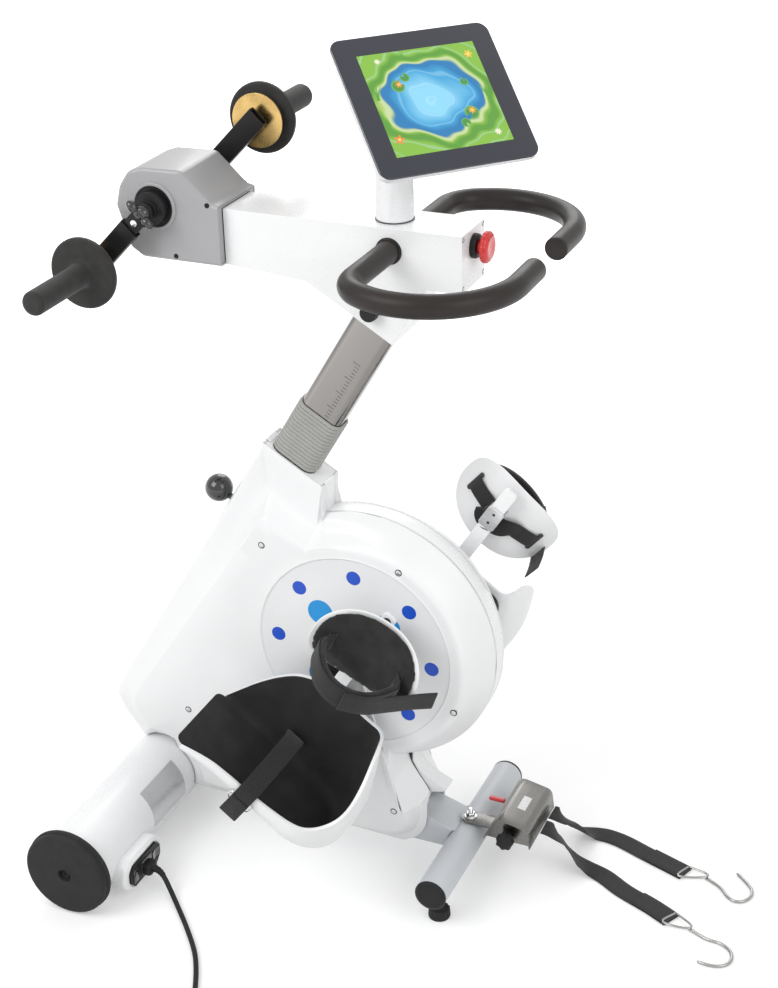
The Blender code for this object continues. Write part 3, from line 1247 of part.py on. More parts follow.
def build_head(slide):
    """Sheet box over the mast, open at its collar, with a hole for the stop button's stem."""
    along = collar_along()
    across = float(np.dot(np.array([COLLAR_X, COLLAR_Z]) - MAST_POINT, MAST_ACROSS))
    collar_back = side_point(along, -across)
    rise = (HEAD_LOW - collar_back[1]) / MAST_DIR[1]
    outline = [(HEAD_FRONT_X, HEAD_HIGH), (HEAD_BACK_X, HEAD_HIGH), (HEAD_BACK_X, HEAD_LOW),
               tuple(collar_back + rise * MAST_DIR), tuple(collar_back), (COLLAR_X, COLLAR_Z),
               (CHIN_X, CHIN_Z), (HEAD_FRONT_X, HEAD_LOW)]
    bm = prism(outline, -HEAD_HALF_Y, HEAD_HALF_Y)
    bmesh.ops.recalc_face_normals(bm, faces=bm.faces)
    middle = Vector(((COLLAR_X + collar_back[0]) / 2, 0.0, (COLLAR_Z + collar_back[1]) / 2))
    opening = min(bm.faces, key=lambda face: (face.calc_center_median() - middle).length)
    bmesh.ops.delete(bm, geom=[opening], context="FACES_ONLY")
    head = add_sheet("head_box", bm, "white", parent=slide, origin=(MAST_X, 0.0, MAST_Z))
    bevel(head, 0.003, segments=1)
    solidify(head, HEAD_WALL)
    hole = turned([(0.0, -0.02), (STOP_STEM_R + RUN, -0.02), (STOP_STEM_R + RUN, 0.02), (0.0, 0.02)],
                  (HEAD_BACK_X - MAST_X, 0.0, STOP_Z - MAST_Z), (1, 0, 0), 16)
    cut(head, hole, "stop_hole")


def build_stop_button(slide):
    """Mushroom button on a stem through the head's end."""
    origin = (HEAD_BACK_X, 0.0, STOP_Z)
    joint = new_empty("stop_axis", slide, (HEAD_BACK_X - MAST_X, 0.0, STOP_Z - MAST_Z))
    back = STOP_BASE_LONG + STOP_TRAVEL + 0.001
    front = back + 0.010
    profile = [(0.0, -0.012), (STOP_STEM_R, -0.012), (STOP_STEM_R, back), (STOP_R - 0.002, back),
               (STOP_R, back + 0.003), (STOP_R, front - 0.004), (STOP_R - 0.004, front - 0.0008),
               (0.0, front)]
    add_piece("stop_button", turned(profile, origin, (1, 0, 0), 20), "red", parent=joint, origin=origin)


def build_arm_housing(slide):
    """Casing of the arm drive, open towards the head, with the arm shaft's hole through it."""
    crown = ((-0.0560, -0.0046), (-0.0497, 0.0200), (-0.0357, 0.0403), (-0.0173, 0.0465),
             (0.0385, 0.0478), (0.0790, 0.0099))
    outline = [(ARM_X + a, ARM_Z + b) for a, b in crown]
    outline += [(ARM_BACK_X, HEAD_HIGH + 0.0060), (ARM_BACK_X, HEAD_LOW), (ARM_X - 0.0223, HEAD_LOW),
                (ARM_X - 0.0394, HEAD_LOW + 0.0108)]
    bm = prism(outline, -ARM_HALF_Y, ARM_HALF_Y)
    bmesh.ops.recalc_face_normals(bm, faces=bm.faces)
    opening = max(bm.faces, key=lambda face: face.calc_center_median().x)
    bmesh.ops.delete(bm, geom=[opening], context="FACES_ONLY")
    casing = add_sheet("arm_housing", bm, "grey", parent=slide, origin=(MAST_X, 0.0, MAST_Z))
    bevel(casing, ARM_CORNER, segments=1, angle=25.0)
    solidify(casing, 0.003)
    hole = turned([(0.0, -0.1), (ARM_SHAFT_R + RUN, -0.1), (ARM_SHAFT_R + RUN, 0.1), (0.0, 0.1)],
                  (ARM_X - MAST_X, 0.0, ARM_Z - MAST_Z), (0, 1, 0), 16)
    cut(casing, hole, "shaft_hole")


def arm_spot(sign, along, across, y):
    """Point along an arm from its shaft, with its own width across, at rest."""
    turn = ARM_ANGLE + (math.pi if sign == FAR else 0.0)
    out = np.array([math.cos(turn), math.sin(turn)])
    wide = np.array([-out[1], out[0]])
    spot = np.array([ARM_X, ARM_Z]) + along * out + across * wide
    return (spot[0], sign * y, spot[1])


def build_arms(slide):
    """Shaft with a flange on each side, the flat arms on it, their sliding sleeves and the hand grips."""
    origin = (ARM_X, 0.0, ARM_Z)
    hub = new_empty("arm_crank_axis", slide, (ARM_X - MAST_X, 0.0, ARM_Z - MAST_Z))
    end = ARM_BAR_Y - ARM_BAR_THICK / 2 - GAP
    flange_in = ARM_HALF_Y + RUN
    flange_out = end - 0.007
    profile = [(0.0, -end), (ARM_SHAFT_R, -end), (ARM_SHAFT_R, -flange_out), (0.021, -flange_out),
               (0.021, -flange_in), (ARM_SHAFT_R, -flange_in), (ARM_SHAFT_R, flange_in),
               (0.021, flange_in), (0.021, flange_out), (ARM_SHAFT_R, flange_out), (ARM_SHAFT_R, end),
               (0.0, end)]
    add_piece("arm_shaft", turned(profile, origin, (0, 1, 0), 14), "steel", parent=hub, origin=origin)
    for side, sign in SIDES:
        build_arm(side, sign, hub)


def build_arm(side, sign, hub):
    """One arm: a flat bar with its wing knob, the sleeve that slides on it, and the turning grip."""
    origin = Vector((ARM_X, 0.0, ARM_Z))
    flat = [arm_spot(sign, along, across, 0.0) for along, across in
            stadium((0.0, 0.0), (ARM_BAR_REACH - ARM_BAR_WIDE / 2, 0.0), ARM_BAR_WIDE / 2, steps=6)]
    low, high = ARM_BAR_Y - ARM_BAR_THICK / 2, ARM_BAR_Y + ARM_BAR_THICK / 2
    outline = [(x, z) for x, _, z in flat]
    bar = add_piece("arm_bar_" + side, prism(outline, *sorted((sign * low, sign * high))), "black",
                    parent=hub, origin=origin)
    wing = [arm_spot(sign, along, across, 0.0) for along, across in
            stadium((0.0, -(WING_LONG / 2 - 0.006)), (0.0, WING_LONG / 2 - 0.006), 0.006, steps=5)]
    wing = [(x - ARM_X, z - ARM_Z) for x, _, z in wing]
    levels = sorted((sign * (high - 0.001), sign * (high + 0.016)))
    cut(bar, prism(wing, *levels), "wing_" + side, "UNION")
    sleeve = new_empty("arm_slide_axis_" + side, hub, (0.0, 0.0, 0.0))
    half_y = ARM_BAR_THICK / 2 + RUN
    half_w = ARM_BAR_WIDE / 2 + RUN

    def ring(along, grow):
        return [arm_spot(sign, along, a * (half_w + grow), ARM_BAR_Y + b * (half_y + grow))
                for a, b in ((1, 1), (-1, 1), (-1, -1), (1, -1))]
    start, stop = 0.031, ARM_CRANK + ARM_SLEEVE_WIDE / 2
    wall = ARM_SLEEVE_WALL
    bm = ring_mesh([ring(start, wall), ring(stop, wall), ring(stop, 0.0), ring(start, 0.0)],
                   closed_loop=True)
    tube = add_piece("arm_sleeve_" + side, bm, "black", parent=sleeve, origin=origin)
    tip = Vector(arm_spot(sign, ARM_CRANK, 0.0, 0.0)) - origin
    outer = ARM_BAR_Y + half_y
    axle_end = GRIP_END_Y - 0.015
    profile = [(0.0, outer + 0.001), (0.011, outer + 0.001), (0.011, HAND_PLATE_Y),
               (HAND_PLATE_R, HAND_PLATE_Y), (HAND_PLATE_R, HAND_PLATE_Y + HAND_PLATE_THICK),
               (HAND_AXLE_R, HAND_PLATE_Y + HAND_PLATE_THICK), (HAND_AXLE_R, axle_end), (0.0, axle_end)]
    cut(tube, turned(profile, tip, (0, sign, 0), 20), "hand_axle_" + side, "UNION")
    spin = new_empty("grip_axis_" + side, sleeve, tip)
    bore = HAND_AXLE_R + RUN
    back = HAND_PLATE_Y + HAND_PLATE_THICK + RUN
    disc_back = HAND_DISC_Y - HAND_DISC_THICK
    profile = [(0.0, axle_end + RUN), (bore, axle_end + RUN), (bore, back), (0.030, back),
               (0.030, disc_back), (HAND_DISC_R - 0.002, disc_back), (HAND_DISC_R, disc_back + 0.002),
               (HAND_DISC_R, HAND_DISC_Y - 0.002), (HAND_DISC_R - 0.002, HAND_DISC_Y),
               (GRIP_R, HAND_DISC_Y), (GRIP_R, GRIP_END_Y - 0.007), (GRIP_R * 0.72, GRIP_END_Y),
               (0.0, GRIP_END_Y)]
    world_tip = origin + tip
    add_piece("hand_grip_" + side, turned(profile, world_tip, (0, sign, 0), 18), "rubber", parent=spin,
              origin=world_tip)


def handlebar_path(sign):
    """Straight out of the head, round two arcs of unlike radius, and straight back to the tip."""
    first = np.array([BAR_START_X + BAR_FIRST_R, BAR_OUT])
    bend = math.pi - BAR_FIRST_TURN
    joint = first + BAR_FIRST_R * np.array([math.cos(bend), math.sin(bend)])
    second = joint - BAR_SECOND_R * np.array([math.cos(bend), math.sin(bend)])
    points = [np.array([BAR_START_X, HEAD_HALF_Y + GAP]), np.array([BAR_START_X, 0.090])]
    points += list(arc(first, BAR_FIRST_R, math.pi, bend, 6))
    points += list(arc(second, BAR_SECOND_R, bend, bend - BAR_SECOND_TURN, 13)[1:])
    points.append(np.array([points[-1][0], BAR_TIP_Y]))
    return [(x, sign * y, BAR_Z) for x, y in points]


def build_handlebars(slide):
    """One bent grip bar on each side of the head."""
    for side, sign in SIDES:
        path = [Vector(p) - Vector((MAST_X, 0.0, MAST_Z)) for p in handlebar_path(sign)]
        wire("handlebar_" + side, path, BAR_R, "rubber", parent=slide, resolution=3)


def build_display(slide):
    """Pole that swivels on the head, and the tablet-shaped display that tilts on it."""
    base = HEAD_HIGH + GAP
    swivel = new_empty("pole_axis", slide, (-MAST_X, 0.0, base - MAST_Z))
    origin = (0.0, 0.0, base)
    profile = [(POLE_R - POLE_WALL, base), (POLE_R, base), (POLE_R, POLE_TOP - 0.004),
               (POLE_R - 0.004, POLE_TOP), (HINGE_R, POLE_TOP), (HINGE_R, HINGE_Z - HINGE_R - RUN),
               (0.0, HINGE_Z - HINGE_R - RUN)]
    inner = [(0.0, POLE_TOP - 0.006), (POLE_R - POLE_WALL, POLE_TOP - 0.008)]
    pole = turned(inner + profile, (0.0, 0.0, 0.0), (0, 0, 1), 22)
    add_piece("display_pole", pole, "white", parent=swivel, origin=origin)
    hinge = Vector((0.0, 0.0, HINGE_Z))
    tilt = new_empty("display_axis", swivel, hinge - Vector(origin))
    tilt_dir = np.array([math.cos(SCREEN_YAW), math.sin(SCREEN_YAW), 0.0])
    normal = np.array([math.cos(SCREEN_TILT) * math.sin(SCREEN_YAW),
                       -math.cos(SCREEN_TILT) * math.cos(SCREEN_YAW), math.sin(SCREEN_TILT)])
    upward = np.cross(normal, tilt_dir)
    centre = np.array([SCREEN_X, SCREEN_Y, SCREEN_Z])
    rings = []
    for depth, inset in ((0.0, 0.0015), (0.0015, 0.0), (GLASS_THICK, 0.0), (0.011, 0.0015),
                         (0.018, 0.007), (SHELL_DEEP, 0.018)):
        outline = rounded_rectangle(SCREEN_WIDE - 2 * inset, SCREEN_HIGH - 2 * inset,
                                    SCREEN_CORNER, steps=4)
        rings.append([centre - depth * normal + a * tilt_dir + b * upward for a, b in outline])
    display = add_piece("display", ring_mesh(rings), "white", parent=tilt, origin=hinge)
    barrel = turned([(0.0, -HINGE_LONG / 2), (HINGE_R, -HINGE_LONG / 2), (HINGE_R, HINGE_LONG / 2),
                     (0.0, HINGE_LONG / 2)], (0.0, 0.0, 0.0), tuple(tilt_dir), 16)
    cut(display, barrel, "hinge_barrel", "UNION")
    gap = float(np.dot(centre - SHELL_DEEP * normal - np.array(hinge), normal))
    web = ring_mesh([[level * tilt_dir + a * normal + b * upward for a, b in
                      ((0.0, -0.006), (gap + 0.003, -0.010), (gap + 0.003, 0.010), (0.0, 0.006))]
                     for level in (-HINGE_LONG / 2 + 0.004, HINGE_LONG / 2 - 0.004)])
    cut(display, web, "hinge_web", "UNION")


# Strap retainer and leg straps

def build_retainer():
    """Bent sheet hood on a plate that swivels on the rear tube, its spool and its release lever."""
    origin = (REAR_X, 0.0, BRACKET_Z)
    swivel = new_empty("retainer_axis", TRAINER, origin)
    profile = [(HOOD_X0, 0.0760), (0.1395, 0.1085), (0.1469, HOOD_TOP), (0.1830, 0.1045),
               (0.1880, 0.1000), (HOOD_X1, 0.0745)]
    bm = bmesh.new()
    rows = [[bm.verts.new((x, y, z)) for x, z in profile] for y in (HOOD_Y0, HOOD_Y1)]
    for i in range(len(profile) - 1):
        bm.faces.new((rows[0][i], rows[0][i + 1], rows[1][i + 1], rows[1][i]))
    bm.faces.ensure_lookup_table()
    if bm.faces[2].normal.z < 0:
        bmesh.ops.reverse_faces(bm, faces=bm.faces)
    hood = add_sheet("retainer_hood", bm, "steel", parent=swivel, origin=origin)
    solidify(hood, HOOD_WALL)
    reach = HOOD_X0 + 0.0053 - REAR_X
    plate = [tuple(p) for p in arc((0.0, 0.0), BRACKET_R, math.pi / 2, 3 * math.pi / 2, 9)]
    plate += [(reach, -BRACKET_R), (reach, BRACKET_R)]
    cut(hood, prism(plate, 0.0, BRACKET_THICK, axis="Z"), "bracket_plate", "UNION")
    spool_axis = new_empty("spool_axis", swivel, (SPOOL_X - REAR_X, 0.0, SPOOL_Z - BRACKET_Z))
    spool_origin = (SPOOL_X, 0.0, SPOOL_Z)
    star_in, star_out = HOOD_Y0 - 0.004, HOOD_Y0 - 0.004 - STAR_LONG
    profile = [(0.0, star_out), (STAR_R - 0.002, star_out), (STAR_R, star_out + 0.002), (STAR_R, star_in),
               (0.005, star_in), (0.005, HOOD_Y0 + 0.004), (SPOOL_R, HOOD_Y0 + 0.004),
               (SPOOL_R, HOOD_Y1 - 0.004), (0.005, HOOD_Y1 - 0.004), (0.005, HOOD_Y1), (0.0, HOOD_Y1)]
    add_piece("strap_spool", turned(profile, spool_origin, (0, 1, 0), 14), "black", parent=spool_axis,
              origin=spool_origin)
    pivot = (0.1320, 0.0350, 0.0950)
    lever_axis = new_empty("lever_axis", swivel, Vector(pivot) - Vector(origin))
    lever = ring_mesh([[(x, 0.0350 + b * wide, 0.0950 + c * thick) for b, c in
                        ((1, 1), (-1, 1), (-1, -1), (1, -1))]
                       for x, wide, thick in ((0.1085, 0.0030, 0.0015), (0.1110, 0.0042, 0.0022),
                                              (0.1315, 0.0042, 0.0022))])
    add_piece("release_lever", lever, "red", parent=lever_axis, origin=pivot)


STRAP_Z = WEB_THICK / 2 + GAP
STRAP_ROUTES = {
    "near": ((0.1945, 0.0180, 0.0800), (0.2060, 0.0190, 0.0770), (0.2200, 0.0290, 0.0540),
             (0.2350, 0.0390, 0.0230), (0.2520, 0.0450, 0.0070), (0.2700, 0.0440, STRAP_Z),
             (0.3100, 0.0220, STRAP_Z), (0.3550, 0.0030, STRAP_Z), (0.3870, -0.0130, STRAP_Z)),
    "far": ((0.1945, 0.0540, 0.0800), (0.2060, 0.0550, 0.0770), (0.2150, 0.0780, 0.0520),
            (0.2200, 0.1050, 0.0200), (0.2300, 0.1220, 0.0060), (0.2450, 0.1300, STRAP_Z),
            (0.2700, 0.1280, STRAP_Z), (0.3200, 0.1100, STRAP_Z), (0.3785, 0.0890, STRAP_Z)),
}
HOOK_Z = HOOK_D / 2 + GAP
HOOK_ROUTES = {
    "near": ((0.4120, -0.0210), (0.4410, -0.0330), (0.4585, -0.0345), (0.4730, -0.0430),
             (0.4797, -0.0560), (0.4780, -0.0690), (0.4690, -0.0778), (0.4540, -0.0810),
             (0.4398, -0.0796)),
    "far": ((0.4050, 0.0910), (0.4300, 0.0770), (0.4450, 0.0610), (0.4560, 0.0560), (0.4670, 0.0610),
            (0.4735, 0.0750), (0.4710, 0.0880), (0.4620, 0.0990), (0.4439, 0.1156)),
}


def build_straps():
    """Two webbing straps from the retainer down to the floor, each with a wire hook at its end."""
    for side, route in STRAP_ROUTES.items():
        path = smooth_path(route, 0.013, start_heading=(0.02, 0.0, 0.0))
        path[:, 2] = np.maximum(path[:, 2], STRAP_Z)
        heading = np.gradient(path, axis=0)
        across = np.column_stack((-heading[:, 1], heading[:, 0], np.zeros(len(path))))
        across /= np.linalg.norm(across, axis=1)[:, None]
        for k, share in enumerate((1.0, 0.8, 0.4)):
            across[k] = (1.0 - share) * across[k] + share * np.array([0.0, 1.0, 0.0])
        bm = ribbon(path, across, STRAP_WIDE, WEB_THICK)
        add_piece("leg_strap_" + side, bm, "webbing")
        hook = smooth_path([(x, y, HOOK_Z) for x, y in HOOK_ROUTES[side]], 2.2 * HOOK_D)
        wire("strap_hook_" + side, hook, HOOK_D / 2, "steel", resolution=1)


build_front_tube()
for SIDE, SIGN in SIDES:
    build_wheel(SIDE, SIGN)
build_lead(*build_connector(build_inlet()))
build_base()
build_spine()
build_guide()
build_bearing_plate()
build_leg_drive()
build_height_knob()
for SIDE, SIGN in SIDES:
    build_cover(SIDE, SIGN)
    build_leg_crank(SIDE, SIGN)
    build_pedal_bracket(SIDE, SIGN)
    build_foot_shell(SIDE, SIGN)
    build_foot_strap(SIDE, SIGN)
    build_cuff(SIDE, SIGN)
    build_calf_strap(SIDE, SIGN)
SLIDE = build_mast()
build_sleeve()
build_head(SLIDE)
build_stop_button(SLIDE)
build_arm_housing(SLIDE)
build_arms(SLIDE)
build_handlebars(SLIDE)
build_display(SLIDE)
build_retainer()
build_straps()
bpy.context.view_layer.update()
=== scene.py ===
# %% [markdown]
# # Dressing a motorised arm and leg trainer
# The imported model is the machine's skeleton: sixty solids in metres, already standing where they
# belong, and already sorted into the bodies that turn and slide. This lesson gives each of them its
# finer surface and its finish. Nothing here moves or resizes the skeleton. A finer piece is made in
# the same place and takes over from its plain solid.

# %% Load the skeleton
import math

import bpy
import bmesh
import numpy as np
from mathutils import Matrix, Vector


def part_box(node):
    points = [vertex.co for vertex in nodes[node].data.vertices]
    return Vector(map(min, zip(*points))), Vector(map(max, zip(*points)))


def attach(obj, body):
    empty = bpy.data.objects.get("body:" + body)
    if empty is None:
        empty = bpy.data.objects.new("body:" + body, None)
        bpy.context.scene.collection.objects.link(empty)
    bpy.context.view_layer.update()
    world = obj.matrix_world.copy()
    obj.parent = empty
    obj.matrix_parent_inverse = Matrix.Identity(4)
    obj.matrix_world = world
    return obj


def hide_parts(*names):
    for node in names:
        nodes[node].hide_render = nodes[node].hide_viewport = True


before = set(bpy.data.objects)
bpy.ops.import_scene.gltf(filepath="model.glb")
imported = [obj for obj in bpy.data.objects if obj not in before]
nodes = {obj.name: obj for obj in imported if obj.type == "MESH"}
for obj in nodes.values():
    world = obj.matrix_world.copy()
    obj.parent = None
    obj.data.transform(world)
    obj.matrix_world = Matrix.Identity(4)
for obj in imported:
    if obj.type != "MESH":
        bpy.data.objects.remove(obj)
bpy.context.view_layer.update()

# %% [markdown]
# The display pole stands upright on the machine's middle line, so its axis is a handy place to
# measure from. Every size below is taken from there: x towards the user, y away from the camera,
# z up. The pole's own solid says where that axis is.

# %% Measure from the pole
pole_low, pole_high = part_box("display_pole")
POLE_X = (pole_low.x + pole_high.x) / 2
NEAR = -1
FAR = 1
SIDES = (("near", NEAR), ("far", FAR))
X_AXIS = np.array([1.0, 0.0, 0.0])
Y_AXIS = np.array([0.0, 1.0, 0.0])
Z_AXIS = np.array([0.0, 0.0, 1.0])
print("pole axis at x = %.4f m" % POLE_X)

# %% [markdown]
# The camera comes first, because it decides what has to look right. It stands a little above the
# machine, in front of its near corner, and leans by about a degree. A camera object's axes are the
# columns of its matrix: right, up, and backwards along the line of sight.

# %% Place the camera
CAMERA_AWAY = 2.3752
CAMERA_AZIMUTH = math.radians(24.1062)
CAMERA_HEIGHT = math.radians(26.8534)
CAMERA_LEAN = math.radians(-1.4122)
AIM = np.array([-0.0167, 0.0, 0.561])
LENS_MM = 67.37
SENSOR_MM = 36.0


def camera_axes():
    """Right, up and backwards. Backwards is the direction from the aim to the camera. Right lies level,
    up is square to both, and the lean turns right and up about the line of sight."""
    back = np.array([math.sin(CAMERA_AZIMUTH) * math.cos(CAMERA_HEIGHT),
        -math.cos(CAMERA_AZIMUTH) * math.cos(CAMERA_HEIGHT), math.sin(CAMERA_HEIGHT)])
    right = np.array([math.cos(CAMERA_AZIMUTH), math.sin(CAMERA_AZIMUTH), 0.0])
    up = np.cross(back, right)
    leant_right = right * math.cos(CAMERA_LEAN) + up * math.sin(CAMERA_LEAN)
    leant_up = up * math.cos(CAMERA_LEAN) - right * math.sin(CAMERA_LEAN)
    return leant_right, leant_up, back


right, up, back = camera_axes()
camera_spot = AIM + CAMERA_AWAY * back + POLE_X * X_AXIS
camera_matrix = np.eye(4)
camera_matrix[:3, :] = np.column_stack((right, up, back, camera_spot))
camera_data = bpy.data.cameras.new("photo_camera")
camera_data.sensor_width = SENSOR_MM
camera_data.lens = LENS_MM
camera = bpy.data.objects.new("photo_camera", camera_data)
camera.matrix_world = Matrix(camera_matrix.tolist())
bpy.context.scene.collection.objects.link(camera)
bpy.context.scene.camera = camera
print("camera at", np.round(camera_spot, 3))

# %% [markdown]
# A product picture like this one is lit by large, soft lamps in a white room. The world gives the
# even fill, three big area lamps give the white covers their soft shading, and the floor shows pure
# white to the camera and to mirrors while it still catches the machine's shadow.

# %% Light the room
WORLD_FILL = 0.68
ROOM_SEEN = 1.0
WHITE = (1.0, 1.0, 1.0, 1.0)
FLOOR_COLOUR = (0.8, 0.8, 0.8, 1.0)
FLOOR_ROUGH = 0.9
FLOOR_GLOW, FAR_GLOW = 0.28, 0.95
GLOW_REACH = (0.9, 3.2)
FLOOR_HALF = 14.0
LAMP_AIM_Z = 0.5
LAMPS = (("key_lamp", (-1.6, -2.4, 3.0), 2.2, 62.0), ("side_lamp", (2.6, -1.2, 2.2), 2.0, 26.0),
    ("back_lamp", (-0.8, 2.6, 2.4), 1.8, 24.0))


def feed(tree, node, inputs):
    """Give each input of a node a constant, or link it to the output of another node."""
    for name, value in inputs.items():
        if isinstance(value, bpy.types.NodeSocket):
            tree.links.new(value, node.inputs[name])
        else:
            node.inputs[name].default_value = value


def add_node(tree, kind, inputs, **settings):
    """A new shader node, and the list of its outputs."""
    node = tree.nodes.new("ShaderNode" + kind)
    for name, value in settings.items():
        setattr(node, name, value)
    feed(tree, node, inputs)
    return node.outputs


def maths(tree, operation, first, second=0.5):
    """The result of one Math node."""
    return add_node(tree, "Math", {0: first, 1: second}, operation=operation)[0]


def ranged(tree, value, low, high, start=0.3, end=0.7):
    """The value's stretch from start to end, drawn out from low to high."""
    limits = {"From Min": start, "From Max": end, "To Min": low, "To Max": high}
    return add_node(tree, "MapRange", {"Value": value, **limits})["Result"]


def new_material(name):
    """A material with its node tree and its Principled shader."""
    material = bpy.data.materials.new(name)
    material.use_nodes = True
    return material, material.node_tree, material.node_tree.nodes["Principled BSDF"]


def seen_directly(tree):
    """1 for rays that the eye, a mirror or glass sends out, 0 for the light that falls on things."""
    rays = add_node(tree, "LightPath", {})
    eye_or_gloss = maths(tree, "MAXIMUM", rays["Is Camera Ray"], rays["Is Glossy Ray"])
    return maths(tree, "MAXIMUM", eye_or_gloss, rays["Is Transmission Ray"])


def make_world():
    """A white room: bright where it is seen, gentler where it lights."""
    world = bpy.data.worlds.new("white_room")
    world.use_nodes = True
    tree = world.node_tree
    strength = add_node(tree, "Mix", {"Factor": seen_directly(tree), "A": WORLD_FILL, "B": ROOM_SEEN},
        data_type="FLOAT")
    feed(tree, tree.nodes["Background"], {"Color": WHITE, "Strength": strength["Result"]})
    bpy.context.scene.world = world


def make_lamp(name, spot, side, watts):
    """A square area lamp that looks at the middle of the machine."""
    data = bpy.data.lights.new(name, "AREA")
    data.size = side
    data.energy = watts
    lamp = bpy.data.objects.new(name, data)
    towards = Vector((POLE_X, 0.0, LAMP_AIM_Z)) - Vector(spot)
    lamp.location = spot
    lamp.rotation_euler = towards.to_track_quat("-Z", "Y").to_euler()
    bpy.context.scene.collection.objects.link(lamp)


def make_floor():
    """One big square on z = 0. Its light adds to what it reflects, so open floor is white and the
    contact shadows stay. The glow grows with the distance, where the lamps no longer reach."""
    corners = [(a * FLOOR_HALF, b * FLOOR_HALF, 0.0) for a, b in ((-1, -1), (1, -1), (1, 1), (-1, 1))]
    mesh = bpy.data.meshes.new("floor")
    mesh.from_pydata(corners, [], [(0, 1, 2, 3)])
    floor = bpy.data.objects.new("floor", mesh)
    bpy.context.scene.collection.objects.link(floor)
    material, tree, shader = new_material("floor_white")
    feed(tree, shader, {"Base Color": FLOOR_COLOUR, "Roughness": FLOOR_ROUGH, "Specular IOR Level": 0.0,
        "Emission Color": WHITE})
    on_floor = add_node(tree, "TexCoord", {})["Object"]
    away = add_node(tree, "VectorMath", {0: on_floor}, operation="LENGTH")["Value"]
    glow = ranged(tree, away, FLOOR_GLOW, FAR_GLOW, *GLOW_REACH)
    feed(tree, shader, {"Emission Strength": maths(tree, "MULTIPLY", glow, seen_directly(tree))})
    mesh.materials.append(material)


bpy.context.scene.view_settings.view_transform = "Standard"
make_world()
for lamp_row in LAMPS:
    make_lamp(*lamp_row)
make_floor()
print("room: one world, %d lamps and a floor" % len(LAMPS))

# %% [markdown]
# Most pieces here are surfaces on a grid. A grid is rows of points, and each row becomes a ring or
# a strip. Faces join every point to its neighbours, so a whole shape is one numpy array. Several
# grids can go into one piece, such as a knob and its shaft.

# %% Make a piece from grids of points
MERGE, SLIVER = 1e-6, 1e-7


def unit(vectors):
    """One vector, or each row of several, made a unit long."""
    vectors = np.asarray(vectors, float)
    return vectors / np.linalg.norm(vectors, axis=-1, keepdims=True)


def skin(rows, ring=True, tube=False, caps=True):
    """Faces over an array of rows. Point j of row i is number i*n + j, and a face joins it to the
    next point and to the same two points of the next row. ring closes each row, tube closes the
    last row onto the first, and caps fill the first and the last row."""
    rows = np.asarray(rows, float)
    many, wide = rows.shape[:2]
    first = np.arange(many if tube else many - 1)[:, None] * wide
    second = (first + wide) % (many * wide)
    here = np.arange(wide if ring else wide - 1)[None, :]
    there = (here + 1) % wide
    faces = np.stack((first + here, first + there, second + there, second + here), axis=-1)
    faces = faces.reshape(-1, 4).tolist()
    if caps and ring and not tube:
        faces.append(list(range(wide))[::-1])
        faces.append(list(range((many - 1) * wide, many * wide)))
    return rows.reshape(-1, 3), faces


def joined(parts):
    """Several (points, faces) pairs as one, with each part's numbers moved past the ones before."""
    points, faces, start = [], [], 0
    for part_points, part_faces in parts:
        points.append(part_points)
        faces.extend([[start + corner for corner in face] for face in part_faces])
        start += len(part_points)
    return np.vstack(points), faces


def make_piece(name, parts, finish, body, replaces=(), crease=32.0, flip=True, uv=None):
    """A named mesh in the machine's place: parts are (points, faces) pairs measured from the pole.
    Doubled points at poles and seams are merged, faces turned outwards, and edges sharper than
    crease degrees stay crisp. uv gives one (u, v) for each point, carried to the face corners."""
    points, faces = joined(parts)
    mesh = bpy.data.meshes.new(name)
    mesh.from_pydata((points + POLE_X * X_AXIS).tolist(), [], faces)
    if uv is not None:
        corners = np.zeros(len(mesh.loops), int)
        mesh.loops.foreach_get("vertex_index", corners)
        mesh.uv_layers.new(name="cloth")
        mesh.uv_layers["cloth"].data.foreach_set("uv", np.asarray(uv, np.float32)[corners].ravel())
    bm = bmesh.new()
    bm.from_mesh(mesh)
    bmesh.ops.remove_doubles(bm, verts=bm.verts, dist=MERGE)
    bmesh.ops.dissolve_degenerate(bm, edges=bm.edges, dist=SLIVER)
    if flip:
        bmesh.ops.recalc_face_normals(bm, faces=bm.faces)
    bm.to_mesh(mesh)
    bm.free()
    mesh.shade_smooth()
    mesh.set_sharp_from_angle(angle=math.radians(crease))
    mesh.materials.append(finish)
    piece = bpy.data.objects.new(name, mesh)
    bpy.context.scene.collection.objects.link(piece)
    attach(piece, body)
    if replaces:
        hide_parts(*replaces)
    return piece


def thicken(piece, wall, bevel_width=0.0):
    """A wall on an open sheet, grown inwards from its outer face, with its cut edges rounded."""
    solid = piece.modifiers.new("wall", "SOLIDIFY")
    solid.thickness = wall
    solid.offset = -1.0
    if bevel_width:
        round_edges(piece, bevel_width)


def round_edges(piece, width, segments=2, angle=40.0):
    """A small round on every edge sharper than the given angle."""
    edge = piece.modifiers.new("soft_edges", "BEVEL")
    edge.width = width
    edge.segments = segments
    edge.limit_method = "ANGLE"
    edge.angle_limit = math.radians(angle)
    edge.harden_normals = False


# %% [markdown]
# Three shapes come back all over the machine. A turned piece is a profile spun about an axis. A
# slab is a flat outline with its thickness, whose rims are rounded a little as a mould or a file
# leaves them. A swept piece is a section carried along a path.

# %% Turned, slab and swept shapes
def square_to(axis):
    """The axis at unit length, with two directions square to it and to each other."""
    axis = unit(axis)
    side = unit(np.cross(Z_AXIS if abs(axis[2]) < 0.9 else X_AXIS, axis))
    return axis, side, np.cross(axis, side)


